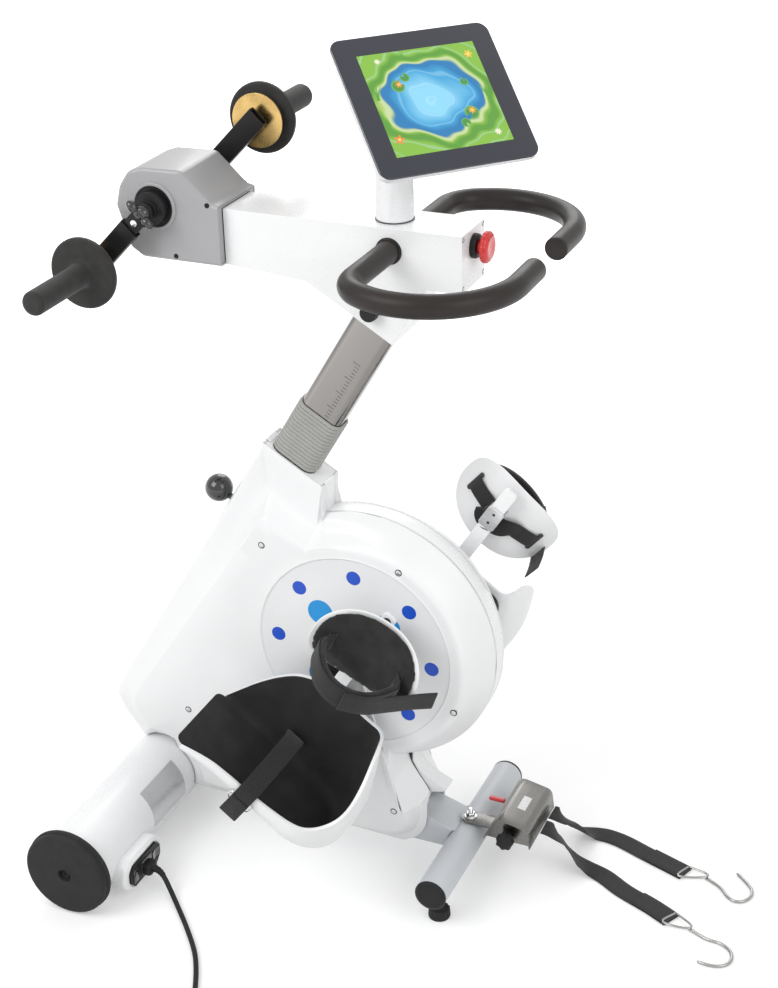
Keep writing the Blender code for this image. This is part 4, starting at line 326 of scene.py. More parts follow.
def turned(profile, centre, axis, sides=48, lobes=0, depth=0.0):
    """Profile rows are (radius, distance along the axis). Each becomes a circle of sides points:
    centre + distance*axis + radius*(cos a * side + sin a * other). With lobes, the radius swells and
    shrinks on its way round, times 1 + depth*share*cos(lobes*a), and share is the row's third number."""
    axis, side, other = square_to(axis)
    profile = np.asarray(profile, float)
    angle = np.linspace(0.0, 2 * math.pi, sides, endpoint=False)
    circle = np.cos(angle)[:, None] * side + np.sin(angle)[:, None] * other
    radius = profile[:, :1]
    if lobes:
        radius = radius * (1.0 + depth * profile[:, 2:3] * np.cos(lobes * angle))
    rows = np.asarray(centre, float) + profile[:, 1, None, None] * axis + radius[:, :, None] * circle
    return skin(rows, caps=False)


def soft_profile(corners, radius, steps=4):
    """A profile whose inner corners are rounded: each is cut back by radius along both of its
    edges and joined by a quadratic curve."""
    corners = np.asarray(corners, float)
    out = [corners[0]]
    for before, corner, after in zip(corners, corners[1:], corners[2:]):
        back, ahead = before - corner, after - corner
        reach = min(radius, 0.48 * np.linalg.norm(back), 0.48 * np.linalg.norm(ahead))
        start, end = corner + unit(back) * reach, corner + unit(ahead) * reach
        for t in np.linspace(0.0, 1.0, steps + 1):
            out.append((1 - t) ** 2 * start + 2 * t * (1 - t) * corner + t ** 2 * end)
    out.append(corners[-1])
    return np.array(out)


def offset_outline(outline, inset):
    """The outline moved inwards: each corner goes along the mean of its two edges' inward normals,
    by inset over the cosine of half the turn there."""
    outline = np.asarray(outline, float)
    ahead = unit(np.roll(outline, -1, axis=0) - outline)
    area = np.sum(outline[:, 0] * np.roll(outline[:, 1], -1) - np.roll(outline[:, 0], -1) * outline[:, 1])
    normal = np.column_stack((-ahead[:, 1], ahead[:, 0])) * np.sign(area)
    mean = unit(normal + np.roll(normal, 1, axis=0))
    stretch = np.clip(np.sum(mean * normal, axis=1), 0.5, 1.0)
    return outline + mean * (inset / stretch)[:, None]


def place(flat, depth, frame_axes):
    """Flat (a, b) points at a depth, in a frame of (origin, a direction, b direction, depth
    direction)."""
    origin, along, across, out = (np.asarray(v, float) for v in frame_axes)
    flat = np.asarray(flat, float)
    return origin + flat[:, :1] * along + flat[:, 1:] * across + depth * out


ORIGIN = np.zeros(3)
SIDE_VIEW = (ORIGIN, X_AXIS, Z_AXIS, Y_AXIS)
BACK_VIEW = (ORIGIN, Y_AXIS, Z_AXIS, X_AXIS)
FLOOR_VIEW = (ORIGIN, X_AXIS, Y_AXIS, Z_AXIS)


def slab(outline, low, high, frame_axes=SIDE_VIEW, edge=0.001, steps=3):
    """A flat outline from one depth to another. Near each face the outline draws in on a quarter
    circle of radius edge: inset is edge*(1 - sin t) where the depth is edge*(1 - cos t)."""
    turn = np.linspace(0.0, math.pi / 2, steps + 1)
    inset = edge * (1 - np.sin(turn))
    rise = edge * (1 - np.cos(turn))
    away = 1.0 if high > low else -1.0
    levels = list(zip(inset, low + away * rise)) + list(zip(inset[::-1], high - away * rise[::-1]))
    return skin([place(offset_outline(outline, i), depth, frame_axes) for i, depth in levels])


def arc(centre, radius, first, last, count):
    """Points on a circle from one angle to another, both in radians."""
    angle = np.linspace(first, last, count)
    return np.column_stack((centre[0] + radius * np.cos(angle), centre[1] + radius * np.sin(angle)))


def stadium(start, end, radius, steps=14):
    """Outline of a bar with round ends between two points."""
    start, end = np.asarray(start, float), np.asarray(end, float)
    turn = math.atan2(end[1] - start[1], end[0] - start[0])
    return np.vstack((arc(end, radius, turn - math.pi / 2, turn + math.pi / 2, steps),
        arc(start, radius, turn + math.pi / 2, turn + 1.5 * math.pi, steps)))


def round_box(wide, high, corner, steps=6):
    """Outline of a rectangle with round corners, about its middle."""
    quarter = np.linspace(0.0, math.pi / 2, steps + 1)
    points = []
    for k, (a, b) in enumerate(((1, 1), (-1, 1), (-1, -1), (1, -1))):
        middle = np.array([a * (wide / 2 - corner), b * (high / 2 - corner)])
        turn = quarter + k * math.pi / 2
        points.append(middle + corner * np.column_stack((np.cos(turn), np.sin(turn))))
    return np.vstack(points)


def frames_along(path, hint):
    """Side and top direction at each point of a path. Side is square to the heading and
    as near as can be to the hint."""
    heading = unit(np.gradient(np.asarray(path, float), axis=0))
    side = np.broadcast_to(np.asarray(hint, float), heading.shape)
    side = unit(side - heading * np.sum(side * heading, axis=1)[:, None])
    return side, np.cross(heading, side)


def carried(path, section, side, top):
    """Rows of a section of (side, top) points, one at each point of a path."""
    return path[:, None] + section[..., :1] * side[:, None] + section[..., 1:] * top[:, None]


def swept(path, section, hint, scale=1.0):
    """A section of (side, top) points carried along a path, and scaled at each point if asked."""
    path = np.asarray(path, float)
    scale = np.broadcast_to(np.asarray(scale, float), len(path))
    section = scale[:, None, None] * np.asarray(section, float)
    return skin(carried(path, section, *frames_along(path, hint)))


def lengths_along(path):
    """How far along a path each of its points lies."""
    return np.concatenate(([0.0], np.cumsum(np.linalg.norm(np.diff(path, axis=0), axis=1))))


def between(t, first, last, a, b):
    """The point on the straight line from a, at knot first, to b, at knot last."""
    return ((last - t) * a + (t - first) * b) / (last - first)


def smooth_path(points, step, start_heading=None):
    """Even points on a centripetal Catmull-Rom curve through the chosen ones. Knots are the root of
    the distance apart, and a point of the curve is three rounds of straight lines between its four
    neighbours."""
    points = [np.asarray(point, float) for point in points]
    before = points[0] * 2 - points[1]
    if start_heading is not None:
        before = points[0] - np.asarray(start_heading, float)
    chain = [before] + points + [points[-1] * 2 - points[-2]]
    fine = []
    for four in zip(chain, chain[1:], chain[2:], chain[3:]):
        gaps = [math.sqrt(max(np.linalg.norm(q - p), 1e-6)) for p, q in zip(four, four[1:])]
        knot = np.concatenate(([0.0], np.cumsum(gaps)))
        t = np.linspace(knot[1], knot[2], 24, endpoint=False)[:, None]
        lower = [between(t, knot[k], knot[k + 1], four[k], four[k + 1]) for k in range(3)]
        middle = [between(t, knot[k], knot[k + 2], lower[k], lower[k + 1]) for k in range(2)]
        fine.append(between(t, knot[1], knot[2], middle[0], middle[1]))
    fine = np.vstack(fine + [points[-1][None]])
    reach = lengths_along(fine)
    even = np.linspace(0.0, reach[-1], max(2, int(round(reach[-1] / step)) + 1))
    return np.column_stack([np.interp(even, reach, fine[:, k]) for k in range(3)])


def hermite(t, start, end, leave, arrive):
    """A cubic from start to end as t goes from 0 to 1, with its two end slopes."""
    return ((2 * t ** 3 - 3 * t ** 2 + 1) * start + (t ** 3 - 2 * t ** 2 + t) * leave
        + (3 * t ** 2 - 2 * t ** 3) * end + (t ** 3 - t ** 2) * arrive)


print("tools: skin, turned, slab, swept and smooth_path")

# %% [markdown]
# A finish is a Principled shader fed by a little texture. Two noises do most of the work. A broad
# one shifts the colour and the gloss a little, as on any moulded or painted part, and a fine one
# is the grain that a fingernail would feel. Both read Object coordinates, which are metres here,
# so a grain of half a millimetre is really that size.

# %% Mottled and grained finishes
COAT_ROUGH = 0.12


def noise(tree, vector, size, detail=3.0):
    """Noise whose lumps are about size metres across."""
    return add_node(tree, "TexNoise", {"Vector": vector, "Scale": 1.0 / size, "Detail": detail})["Fac"]


def two_tone(tree, value, dark, light):
    """A colour between dark and light, by a value from 0 to 1."""
    ends = {"A": (*dark, 1.0), "B": (*light, 1.0)}
    return add_node(tree, "Mix", {"Factor": value, **ends}, data_type="RGBA")["Result"]


def raised(tree, height, depth):
    """The bent normal of a height from 0 to 1, felt as depth metres of relief."""
    return add_node(tree, "Bump", {"Strength": 1.0, "Distance": depth, "Height": height})["Normal"]


def grained(name, colour, rough, mottle=0.03, patch=0.07, grain=0.0007, depth=0.00003, spread=0.06,
        stretch=(1.0, 1.0, 1.0), tilt=0.0, metallic=0.0, coat=0.0, sheen=0.0):
    """Colour times 1 - mottle to 1 + mottle over patches, gloss that wanders by spread, and a grain.
    The coordinates are turned by tilt about y, then stretched, so that noise becomes streaks."""
    material, tree, shader = new_material(name)
    here = add_node(tree, "TexCoord", {})["Object"]
    streaks = {"Vector": here, "Rotation": (0.0, tilt, 0.0), "Scale": stretch}
    vector = add_node(tree, "Mapping", streaks)["Vector"]
    broad, fine = noise(tree, vector, patch), noise(tree, vector, grain, 2.0)
    colour = np.array(colour)
    dark, light = tuple(colour * (1 - mottle)), tuple(np.minimum(colour * (1 + mottle), 1.0))
    gloss = maths(tree, "MULTIPLY", broad, fine)
    feed(tree, shader, {"Metallic": metallic, "Coat Weight": coat, "Coat Roughness": COAT_ROUGH,
        "Sheen Weight": sheen, "Normal": raised(tree, fine, depth),
        "Base Color": two_tone(tree, ranged(tree, broad, 0.0, 1.0), dark, light),
        "Roughness": ranged(tree, gloss, rough - spread, rough + spread, 0.12, 0.42)})
    return material


MAST_TILT = math.radians(31.0)
white_cover = grained("white_moulded_cover", (0.84, 0.845, 0.85), 0.36, 0.012, 0.09, 0.0009, 0.00002)
white_shell = grained("white_pedal_shell", (0.84, 0.845, 0.85), 0.33, 0.015, 0.05, 0.0007, 0.00002)
white_paint = grained("white_powder_coat", (0.85, 0.855, 0.86), 0.3, 0.015, 0.12, 0.0016, 0.00005, coat=0.15)
grey_paint = grained("grey_powder_coat", (0.56, 0.58, 0.605), 0.38, 0.03, 0.1, 0.0012, 0.00006)
silver_cover = grained("silver_grey_casing", (0.36, 0.36, 0.37), 0.34, 0.02, 0.06, 0.001, 0.00003, coat=0.2)
black_plastic = grained("black_moulded_plastic", (0.014, 0.014, 0.015), 0.42, 0.15, 0.03, 0.0005, 0.00004)
gloss_black = grained("black_gloss_knob", (0.012, 0.012, 0.013), 0.12, 0.1, 0.03, 0.002, 0.00001, coat=0.6)
black_steel = grained("black_coated_steel", (0.014, 0.014, 0.015), 0.34, 0.15, 0.05, 0.0008, 0.00004)
wheel_rubber = grained("tyre_rubber", (0.024, 0.024, 0.025), 0.68, 0.2, 0.02, 0.0006, 0.00006)
lead_rubber = grained("lead_sheath", (0.018, 0.018, 0.019), 0.5, 0.12, 0.03, 0.0009, 0.00003)
bar_rubber = grained("handlebar_sleeve", (0.026, 0.022, 0.02), 0.4, 0.18, 0.05, 0.0006, 0.00003, spread=0.09)
grip_foam = grained("grip_foam", (0.03, 0.029, 0.028), 0.72, 0.2, 0.012, 0.0008, 0.00012, sheen=0.15)
sleeve_rubber = grained("ribbed_sleeve", (0.36, 0.36, 0.345), 0.62, 0.05, 0.03, 0.0006, 0.00003)
chrome = grained("mast_chrome", (0.25, 0.24, 0.23), 0.13, 0.02, 0.05, 0.0012, 0.000008, 0.04,
    (1.0, 1.0, 0.03), -MAST_TILT, 1.0)
brushed_steel = grained("brushed_stainless", (0.6, 0.6, 0.61), 0.27, 0.06, 0.03, 0.0009, 0.00001, 0.08,
    (0.05, 1.0, 1.0), 0.0, 1.0)
sheet_steel = grained("hood_sheet_steel", (0.21, 0.205, 0.195), 0.3, 0.06, 0.03, 0.0009, 0.00001, 0.08,
    (1.0, 0.05, 1.0), 0.0, 1.0)
bright_zinc = grained("bright_zinc", (0.68, 0.69, 0.7), 0.22, 0.05, 0.02, 0.001, 0.00002, 0.06, metallic=1.0)
wire_steel = grained("bent_wire_steel", (0.36, 0.36, 0.35), 0.26, 0.05, 0.02, 0.001, 0.00002, 0.06,
    metallic=1.0)
yellow_zinc = grained("yellow_passivated_zinc", (0.62, 0.42, 0.16), 0.3, 0.15, 0.012, 0.001, 0.00003, 0.08,
    metallic=1.0)
stop_red = grained("stop_button_red", (0.62, 0.012, 0.012), 0.28, 0.05, 0.02, 0.0008, 0.00002, coat=0.3)
dark_blue = grained("dial_dark_blue", (0.004, 0.075, 0.56), 0.34, 0.04, 0.02, 0.0006, 0.00001)
light_blue = grained("dial_light_blue", (0.006, 0.3, 0.72), 0.34, 0.04, 0.02, 0.0006, 0.00001)
foam_pad = grained("neoprene_pad", (0.022, 0.021, 0.021), 0.86, 0.35, 0.018, 0.0007, 0.00018, sheen=0.25)
shell_liner = grained("shell_liner_mat", (0.018, 0.017, 0.017), 0.74, 0.3, 0.03, 0.0009, 0.00012, sheen=0.12)
label_silver = grained("bare_label", (0.56, 0.56, 0.57), 0.3, 0.03, 0.02, 0.0005, 0.00001, 0.05,
    (1.0, 0.1, 1.0), 0.0, 0.9)
# Painted shade: a near-black finish for thin sheets and discs laid where a seam, hole or slot shows only its
# shadow.
painted_shade = grained("seam_shadow", (0.045, 0.045, 0.048), 0.8, 0.1, 0.02, 0.0008, 0.00003)
print("finishes:", len(bpy.data.materials))

# %% [markdown]
# Webbing is woven, so its pattern has to run with the strap. Its mesh carries a UV map in metres,
# across and along. Two sines crossed on it give the rows of the weave, and noise makes single
# threads stand out.

# %% Webbing
ACROSS_PITCH, ALONG_PITCH = 0.0022, 0.0016


def ripple(tree, value, pitch):
    """Sine of the value with the given pitch in metres."""
    return maths(tree, "SINE", maths(tree, "MULTIPLY", value, 2 * math.pi / pitch))


def woven(name, colour):
    """Black woven tape: product of two ripples for the relief, and noise for worn threads."""
    material, tree, shader = new_material(name)
    cloth = add_node(tree, "UVMap", {}, uv_map="cloth")["UV"]
    across, along, _ = add_node(tree, "SeparateXYZ", {0: cloth})
    weave = maths(tree, "MULTIPLY", ripple(tree, across, ACROSS_PITCH), ripple(tree, along, ALONG_PITCH))
    threads = ranged(tree, noise(tree, cloth, 0.0018), 0.0, 1.0)
    dark, light = tuple(0.7 * np.array(colour)), tuple(1.9 * np.array(colour))
    feed(tree, shader, {"Sheen Weight": 0.2, "Coat Roughness": COAT_ROUGH, "Roughness": 0.8,
        "Base Color": two_tone(tree, threads, dark, light),
        "Normal": raised(tree, ranged(tree, weave, 0.0, 1.0, -1.0, 1.0), 0.00035)})
    return material


webbing = woven("black_webbing", (0.016, 0.015, 0.015))
print("webbing woven at %.1f by %.1f mm" % (1000 * ACROSS_PITCH, 1000 * ALONG_PITCH))

# %% [markdown]
# The display needs two finishes of its own: dark glass with a clear coat, and the picture, which
# glows with the colour stored on its points under the same gloss.

# %% Display glass and lit picture
display_navy = grained("display_dark_glass", (0.012, 0.015, 0.028), 0.16, 0.05, 0.06, 0.0012, 0.000002,
    coat=0.5)


def glowing_picture():
    """Emission and a little diffuse from the point colours, with a glossy top."""
    finish, tree, shader = new_material("lit_picture")
    stored = add_node(tree, "Attribute", {}, attribute_name="picture")["Color"]
    dim = add_node(tree, "Mix", {"Factor": 0.65, "A": stored, "B": (0.0, 0.0, 0.0, 1.0)},
        data_type="RGBA")["Result"]
    feed(tree, shader, {"Base Color": dim, "Emission Color": stored, "Emission Strength": 0.72,
        "Roughness": 0.22})
    return finish


lit_picture = glowing_picture()
print("display finishes: dark glass and lit picture")

# %% [markdown]
# Dark rubber and plastic mirror the white room a little too strongly with the usual reflection, so
# the dark finishes reflect less.

# %% Calmer dark finishes
DARK_MIRROR = 0.22
for finish in (black_plastic, black_steel, wheel_rubber, lead_rubber, bar_rubber, grip_foam, foam_pad,
        shell_liner, webbing):
    finish.node_tree.nodes["Principled BSDF"].inputs["Specular IOR Level"].default_value = DARK_MIRROR
print("dark finishes reflect less")

# %% [markdown]
# The mains lead is a fixed length of something bendy. It leaves the socket through a tapered strain
# relief, drops to the floor within a hand's width, runs out in a loose curve, and its spare length
# lies in a neat two-layer coil with the plug on top. The route is a short list of given points, and
# the coil is a spiral: the radius shrinks by one step a turn, then grows again one layer up.

# %% Route of the mains lead
GAP = 0.0003
LEAD_D = 0.007
LEAD_LOW = LEAD_D / 2 + GAP
CONNECTOR = np.array([-0.305 + 2 * GAP + 0.0035, -0.2105, 0.0345])
CONNECTOR_LONG, CONNECTOR_WIDE, CONNECTOR_HIGH = 0.011, 0.022, 0.017
RELIEF_LONG = 0.016
RELIEF_DROP = math.radians(62.0)
COIL_MIDDLE = np.array([-0.058, -0.436])
COIL_START = math.radians(199.0)
COIL_INNER_R = 0.0315
COIL_TURNS = 3
COIL_STEP = 0.0086
LAYER_STEP = 0.0079
LOOP_POINTS = 24


def coil_route():
    """Radius, angle and height of every point of the coil: in over the first layer's turns, up
    during half a turn, and out again over the second layer's."""
    layer = COIL_TURNS * LOOP_POINTS
    climb = LOOP_POINTS // 2
    count = np.arange(2 * layer + climb + 1)
    angle = COIL_START + count * 2 * math.pi / LOOP_POINTS
    inwards = np.minimum(count, layer)
    outwards = np.maximum(count - layer - climb, 0)
    radius = COIL_INNER_R + (layer - inwards + outwards) * COIL_STEP / LOOP_POINTS
    height = LEAD_LOW + LAYER_STEP * np.clip((count - layer) / climb, 0.0, 1.0)
    return np.column_stack((COIL_MIDDLE[0] + radius * np.cos(angle), COIL_MIDDLE[1] + radius * np.sin(angle),
        height))


def relief_axis(shares):
    """Points and headings down the middle of the strain relief, which bends on an arc."""
    turn = np.asarray(shares, float) * RELIEF_DROP
    bend = RELIEF_LONG / RELIEF_DROP
    start = CONNECTOR + CONNECTOR_LONG * X_AXIS
    points = np.column_stack((start[0] + bend * np.sin(turn), np.full(len(turn), start[1]),
        start[2] - bend * (1 - np.cos(turn))))
    headings = np.column_stack((np.cos(turn), np.zeros(len(turn)), -np.sin(turn)))
    return points, headings


def lead_route():
    """The whole lead: straight out of the relief, the free stretch, the coil, and a straight end."""
    points, headings = relief_axis([1.0])
    leave, heading = points[0], headings[0]
    coil = coil_route()
    ahead, away = unit(coil[0] - coil[1]), unit(coil[-1] - coil[-2])
    start = leave + heading * GAP
    straight = start + heading * LEAD_D
    join = coil[0] + ahead * LEAD_D
    stretch = smooth_path(
        [straight, (-0.259, -0.22, 0.008), (-0.231, -0.247, LEAD_LOW), (-0.198, -0.282, LEAD_LOW),
         (-0.173, -0.312, LEAD_LOW), (-0.159, -0.334, LEAD_LOW), (-0.1446, -0.3613, LEAD_LOW),
         (-0.132, -0.39, LEAD_LOW), join + ahead * 0.02, join], LEAD_D, heading * 0.01)
    stretch[:, 2] = np.maximum(stretch[:, 2], LEAD_LOW)
    return np.vstack((start, stretch, coil, coil[-1] + away * LEAD_D)), away


lead_points, plug_heading = lead_route()
print("mains lead: %d points, %.3f m" % (len(lead_points), lengths_along(lead_points)[-1]))

# %% [markdown]
# The lead itself is a circle carried along that route. Its two ends wear their own pieces: a moulded
# connector whose rings taper into the relief, with the grooves that let it flex, and a moulded plug
# with two flat blades.


def circle(radius, sides=16):
    """Points round a circle."""
    angle = np.linspace(0.0, 2 * math.pi, sides, endpoint=False)
    return radius * np.column_stack((np.cos(angle), np.sin(angle)))


def make_connector():
    """A rounded block whose section shrinks towards the relief, and relief rings that step in and
    out by a tenth along the arc, four grooves in all."""
    sections = []
    for along, wide in ((0.0, 0.94), (0.0008, 1.0), (0.006, 1.0), (0.0085, 0.95), (0.0105, 0.8),
            (0.011, 0.72)):
        outline = round_box(CONNECTOR_WIDE * wide, CONNECTOR_HIGH * wide, 0.004 * wide)
        sections.append(place(outline, along, (CONNECTOR, Y_AXIS, Z_AXIS, X_AXIS)))
    block = skin(sections)
    shares = np.linspace(0.0, 1.0, 33)
    middle, heading = relief_axis(shares)
    groove = 1.0 - 0.12 * (np.sin(shares * 8 * math.pi) > 0.3)
    radius = LEAD_D * (0.78 - 0.2 * shares) * groove
    sideways = np.broadcast_to(Y_AXIS, middle.shape)
    rings = radius[:, None, None] * circle(1.0, 20)
    rows = carried(middle, rings, sideways, np.cross(heading, sideways))
    return make_piece("lead_plug_and_relief", [block, skin(rows)], black_plastic, "frame",
        ("lead_connector",))


def make_plug():
    """A moulded body that swells from the lead to the grip, and two blades with rounded ends."""
    point = lead_points[-1] + plug_heading * GAP
    ahead = unit((plug_heading[0], plug_heading[1], 0.0))
    across = np.cross(Z_AXIS, ahead)
    drop = point[2] - 0.0085
    rows = []
    for along, wide, high, sink in ((0.0, 0.0085, 0.0085, 0.0), (0.0008, 0.009, 0.009, 0.0),
            (0.014, 0.01, 0.01, 0.3), (0.0162, 0.014, 0.012, 0.7), (0.018, 0.02, 0.015, 0.9),
            (0.0205, 0.0225, 0.0158, 1.0), (0.03, 0.0215, 0.015, 1.0), (0.039, 0.024, 0.016, 1.0),
            (0.0412, 0.0236, 0.0156, 1.0), (0.042, 0.022, 0.014, 1.0)):
        flat = round_box(wide, high, 0.35 * high, 5)
        rows.append(point + ahead * along + flat[:, :1] * across + (flat[:, 1:] - sink * drop) * Z_AXIS)
    plug = make_piece("mains_plug_body", [skin(rows)], black_plastic, "frame",
        ("mains_plug",))
    blades = []
    for offset in (-0.0063, 0.0063):
        outline = np.vstack(([(0.041, -0.0032)], arc((0.057, 0.0), 0.0032, -1.2, 1.2, 9), [(0.041, 0.0032)]))
        low = point + across * offset - drop * Z_AXIS
        blades.append(slab(outline, -0.00075, 0.00075, (low, ahead, Z_AXIS, across), 0.0003, 2))
    pins = make_piece("mains_plug_blades", blades, bright_zinc, "frame")
    return plug, pins


connector = make_connector()
plug, pins = make_plug()
lead = make_piece("mains_lead_sheath", [swept(lead_points, circle(LEAD_D / 2), Z_AXIS)], lead_rubber, "frame",
    ("mains_lead", "lead_coil"))
print("lead:", len(lead.data.polygons), "faces; plug and connector in place")

# %% [markdown]
# The leg straps are flat tape. Each comes out of the retainer, drops, and lies across the floor to
# a wire hook. A stitched tail doubles the tape at the hook, which it holds by a wire ring with four
# corners.

# %% Leg straps and their hooks
STRAP_WIDE = 0.03
WEB_THICK = 0.0022
STRAP_Z = 0.0018
HOOK_D = 0.0045
HOOK_Z = HOOK_D / 2 + GAP
TAIL_POINTS = 16
RING_TIP_Z, RING_WIRE_R = 0.0062, 0.0016
STRAP_ROUTES = {
    "near": ((0.1945, 0.018, 0.08), (0.206, 0.019, 0.077), (0.22, 0.029, 0.054),
             (0.235, 0.039, 0.023), (0.252, 0.045, 0.007), (0.27, 0.044, STRAP_Z),
             (0.31, 0.022, STRAP_Z), (0.355, 0.003, STRAP_Z), (0.387, -0.013, STRAP_Z)),
    "far": ((0.1945, 0.054, 0.08), (0.206, 0.055, 0.077), (0.215, 0.078, 0.052),
            (0.22, 0.105, 0.02), (0.23, 0.122, 0.006), (0.245, 0.13, STRAP_Z),
            (0.27, 0.128, STRAP_Z), (0.32, 0.11, STRAP_Z), (0.3785, 0.089, STRAP_Z)),
}
HOOK_ROUTES = {
    "near": ((0.412, -0.021), (0.441, -0.033), (0.4585, -0.0345), (0.473, -0.043),
             (0.4797, -0.056), (0.478, -0.069), (0.469, -0.0778), (0.454, -0.081),
             (0.4398, -0.0796)),
    "far": ((0.405, 0.091), (0.43, 0.077), (0.445, 0.061), (0.456, 0.056), (0.467, 0.061),
            (0.4735, 0.075), (0.471, 0.088), (0.462, 0.099), (0.4439, 0.1156)),
}


def tape_section(wide, thick):
    """A flat tape across: thin, a little fuller along the two selvages, with round edges."""
    across = np.linspace(-wide / 2, wide / 2, 9)
    full = thick / 2 * (0.86 + 0.14 * np.abs(2 * across / wide) ** 4)
    full[[0, -1]] *= 0.45
    return np.vstack((np.column_stack((across, full)), np.column_stack((across, -full))[::-1]))


def make_tape(name, path, side_hints, wide, thick, body, replaces=()):
    """Webbing along a path. Its UV is in metres: across the tape, and along it."""
    section = tape_section(wide, thick)
    uv = np.stack(np.broadcast_arrays(section[None, :, 0], lengths_along(path)[:, None]), axis=-1)
    return make_piece(name, [swept(path, section, side_hints)], webbing, body, replaces,
        uv=uv.reshape(-1, 2))


def leg_strap_route(side):
    """The tape's middle line, and the way across it: level, and along y where it starts."""
    route = smooth_path(STRAP_ROUTES[side], 0.004, start_heading=(0.02, 0.0, 0.0))
    route[:, 2] = np.maximum(route[:, 2], STRAP_Z)
    heading = np.gradient(route, axis=0)
    side_way = unit(np.column_stack((-heading[:, 1], heading[:, 0], np.zeros(len(route)))))
    blend = np.clip(1.0 - np.arange(len(route)) / 9.0, 0.0, 1.0)[:, None]
    return route, side_way * (1 - blend) + Y_AXIS * blend


for side, sign in SIDES:
    route, side_way = leg_strap_route(side)
    strap = make_tape("leg_strap_tape_" + side, route, side_way, STRAP_WIDE, WEB_THICK, "retainer",
        ("leg_strap_" + side,))
    tail = make_tape("leg_strap_tail_" + side, route[-TAIL_POINTS:] + (WEB_THICK + 0.0002) * Z_AXIS,
        side_way[-TAIL_POINTS:], STRAP_WIDE * 0.98, WEB_THICK * 0.9, "retainer")
    end, ahead, across = route[-1], unit(route[-1] - route[-6]), side_way[-1]
    hook_start = np.array([*HOOK_ROUTES[side][0], HOOK_Z])
    level = end[2] + WEB_THICK + 0.0008
    corner_back = end - ahead * 0.004
    corners = ((corner_back + across * 0.013, level), (corner_back - across * 0.013, level),
        (hook_start + ahead * 0.003 - across * 0.003, RING_TIP_Z),
        (hook_start + ahead * 0.003 + across * 0.003, RING_TIP_Z))
    corners = [np.array([p[0], p[1], z]) for p, z in corners]
    loop = smooth_path(corners + corners[:1], 0.0025)
    wire = swept(loop[:-1], circle(RING_WIRE_R, 10), Z_AXIS)
    ring_piece = make_piece("leg_strap_ring_" + side, [wire], wire_steel, "retainer")
    hook_path = smooth_path([(x, y, HOOK_Z) for x, y in HOOK_ROUTES[side]], 0.003)
    tip_scale = np.ones(len(hook_path))
    tip_scale[[0, -1]] = 0.55
    hook = make_piece("strap_wire_hook_" + side, [swept(hook_path, circle(HOOK_D / 2, 14), Z_AXIS,
        tip_scale)], wire_steel, "retainer", ("strap_hook_" + side,))

# %% [markdown]
# Some solids are already right: flat plates, the belt, the motor inside the housing. They keep
# their mesh and only get a finish, put into the object's own material slot.

# %% Finish the solids that stay
KEPT = {"mains_inlet": black_plastic, "power_rocker": gloss_black, "bearing_plate": bright_zinc,
    "mast_guide": brushed_steel, "leg_motor": black_steel, "motor_pulley": bright_zinc,
    "leg_pulley": bright_zinc, "leg_shaft": bright_zinc, "drive_belt": wheel_rubber}


for node, finish in KEPT.items():
    materials = nodes[node].data.materials
    materials.clear()
    materials.append(finish)
print("kept as they are:", len(KEPT))

# %% [markdown]
# The front tube carries the transport wheels. It is a powder-coated pipe, so its profile is a
# rectangle with rounded rims, spun about the wheel axis. The wheels have a broad tread next to the
# tube, a groove, and a lower shoulder outside, with a raised ring round the hub bolt.

# %% Front tube and wheels
TUBE_X = -0.374
WHEEL_R = 0.0627
TUBE_R = 0.0525
TUBE_HALF = 0.2807
AXLE_R = 0.008
AXLE_IN = 0.018
RUN = 0.0005
FRAME = "frame"
TUBE = np.array([TUBE_X, WHEEL_R])

hole = AXLE_R + RUN
tube_corners = [(hole, 0.0), (hole, -TUBE_HALF), (TUBE_R, -TUBE_HALF), (TUBE_R, TUBE_HALF), (hole, TUBE_HALF),
    (hole, 0.0)]
make_piece("front_tube_pipe", [turned(soft_profile(tube_corners, 0.0015), (TUBE_X, 0.0, WHEEL_R), Y_AXIS,
    96)], white_paint, FRAME, ("front_tube",))
wheel_corners = [(0.0, -AXLE_IN), (AXLE_R, -AXLE_IN), (AXLE_R, 0.0), (0.059, 0.0), (WHEEL_R, 0.003),
    (WHEEL_R, 0.0085), (0.0608, 0.0096), (0.06, 0.0106), (0.0612, 0.0118), (0.0612, 0.0165), (0.058, 0.02),
    (0.0135, 0.0194), (0.0128, 0.02), (0.0096, 0.02), (0.009, 0.0125), (0.0052, 0.0125), (0.0052, 0.016),
    (0.003, 0.016), (0.003, 0.0135), (0.0, 0.0135)]
for side, sign in SIDES:
    hub = (TUBE_X, sign * (TUBE_HALF + RUN), WHEEL_R)
    make_piece("wheel_tyre_" + side, [turned(soft_profile(wheel_corners, 0.0012, 3), hub, sign * Y_AXIS,
        112)], wheel_rubber, "wheel_%s_body" % side, ("wheel_" + side,))
print("front tube 2 x %.4f m with two wheels of %.4f m" % (TUBE_HALF, 2 * WHEEL_R))

# %% [markdown]
# The inlet stands on the pipe's back like a small bathtub turned over: a slab with round ends and a
# soft rim. A second, thinner ring of the same outline frames the black socket plate, which also
# gets its fuse drawer and the shroud that the lead's connector plugs into. The bare silver label
# is bent round the pipe by the formula of a circle.

# %% Inlet block and the bare label
INLET_Y, INLET_Z = -0.2125, 0.04
INLET_FACE = -0.305
INLET_LONG, INLET_HIGH = 0.1, 0.05
SOCKET_PROUD = 0.0035


def inlet_outline(long, high):
    """Round-ended outline about the inlet's middle, in (y, z)."""
    half = (long - high) / 2
    return stadium((INLET_Y - half, INLET_Z), (INLET_Y + half, INLET_Z), high / 2, 24)


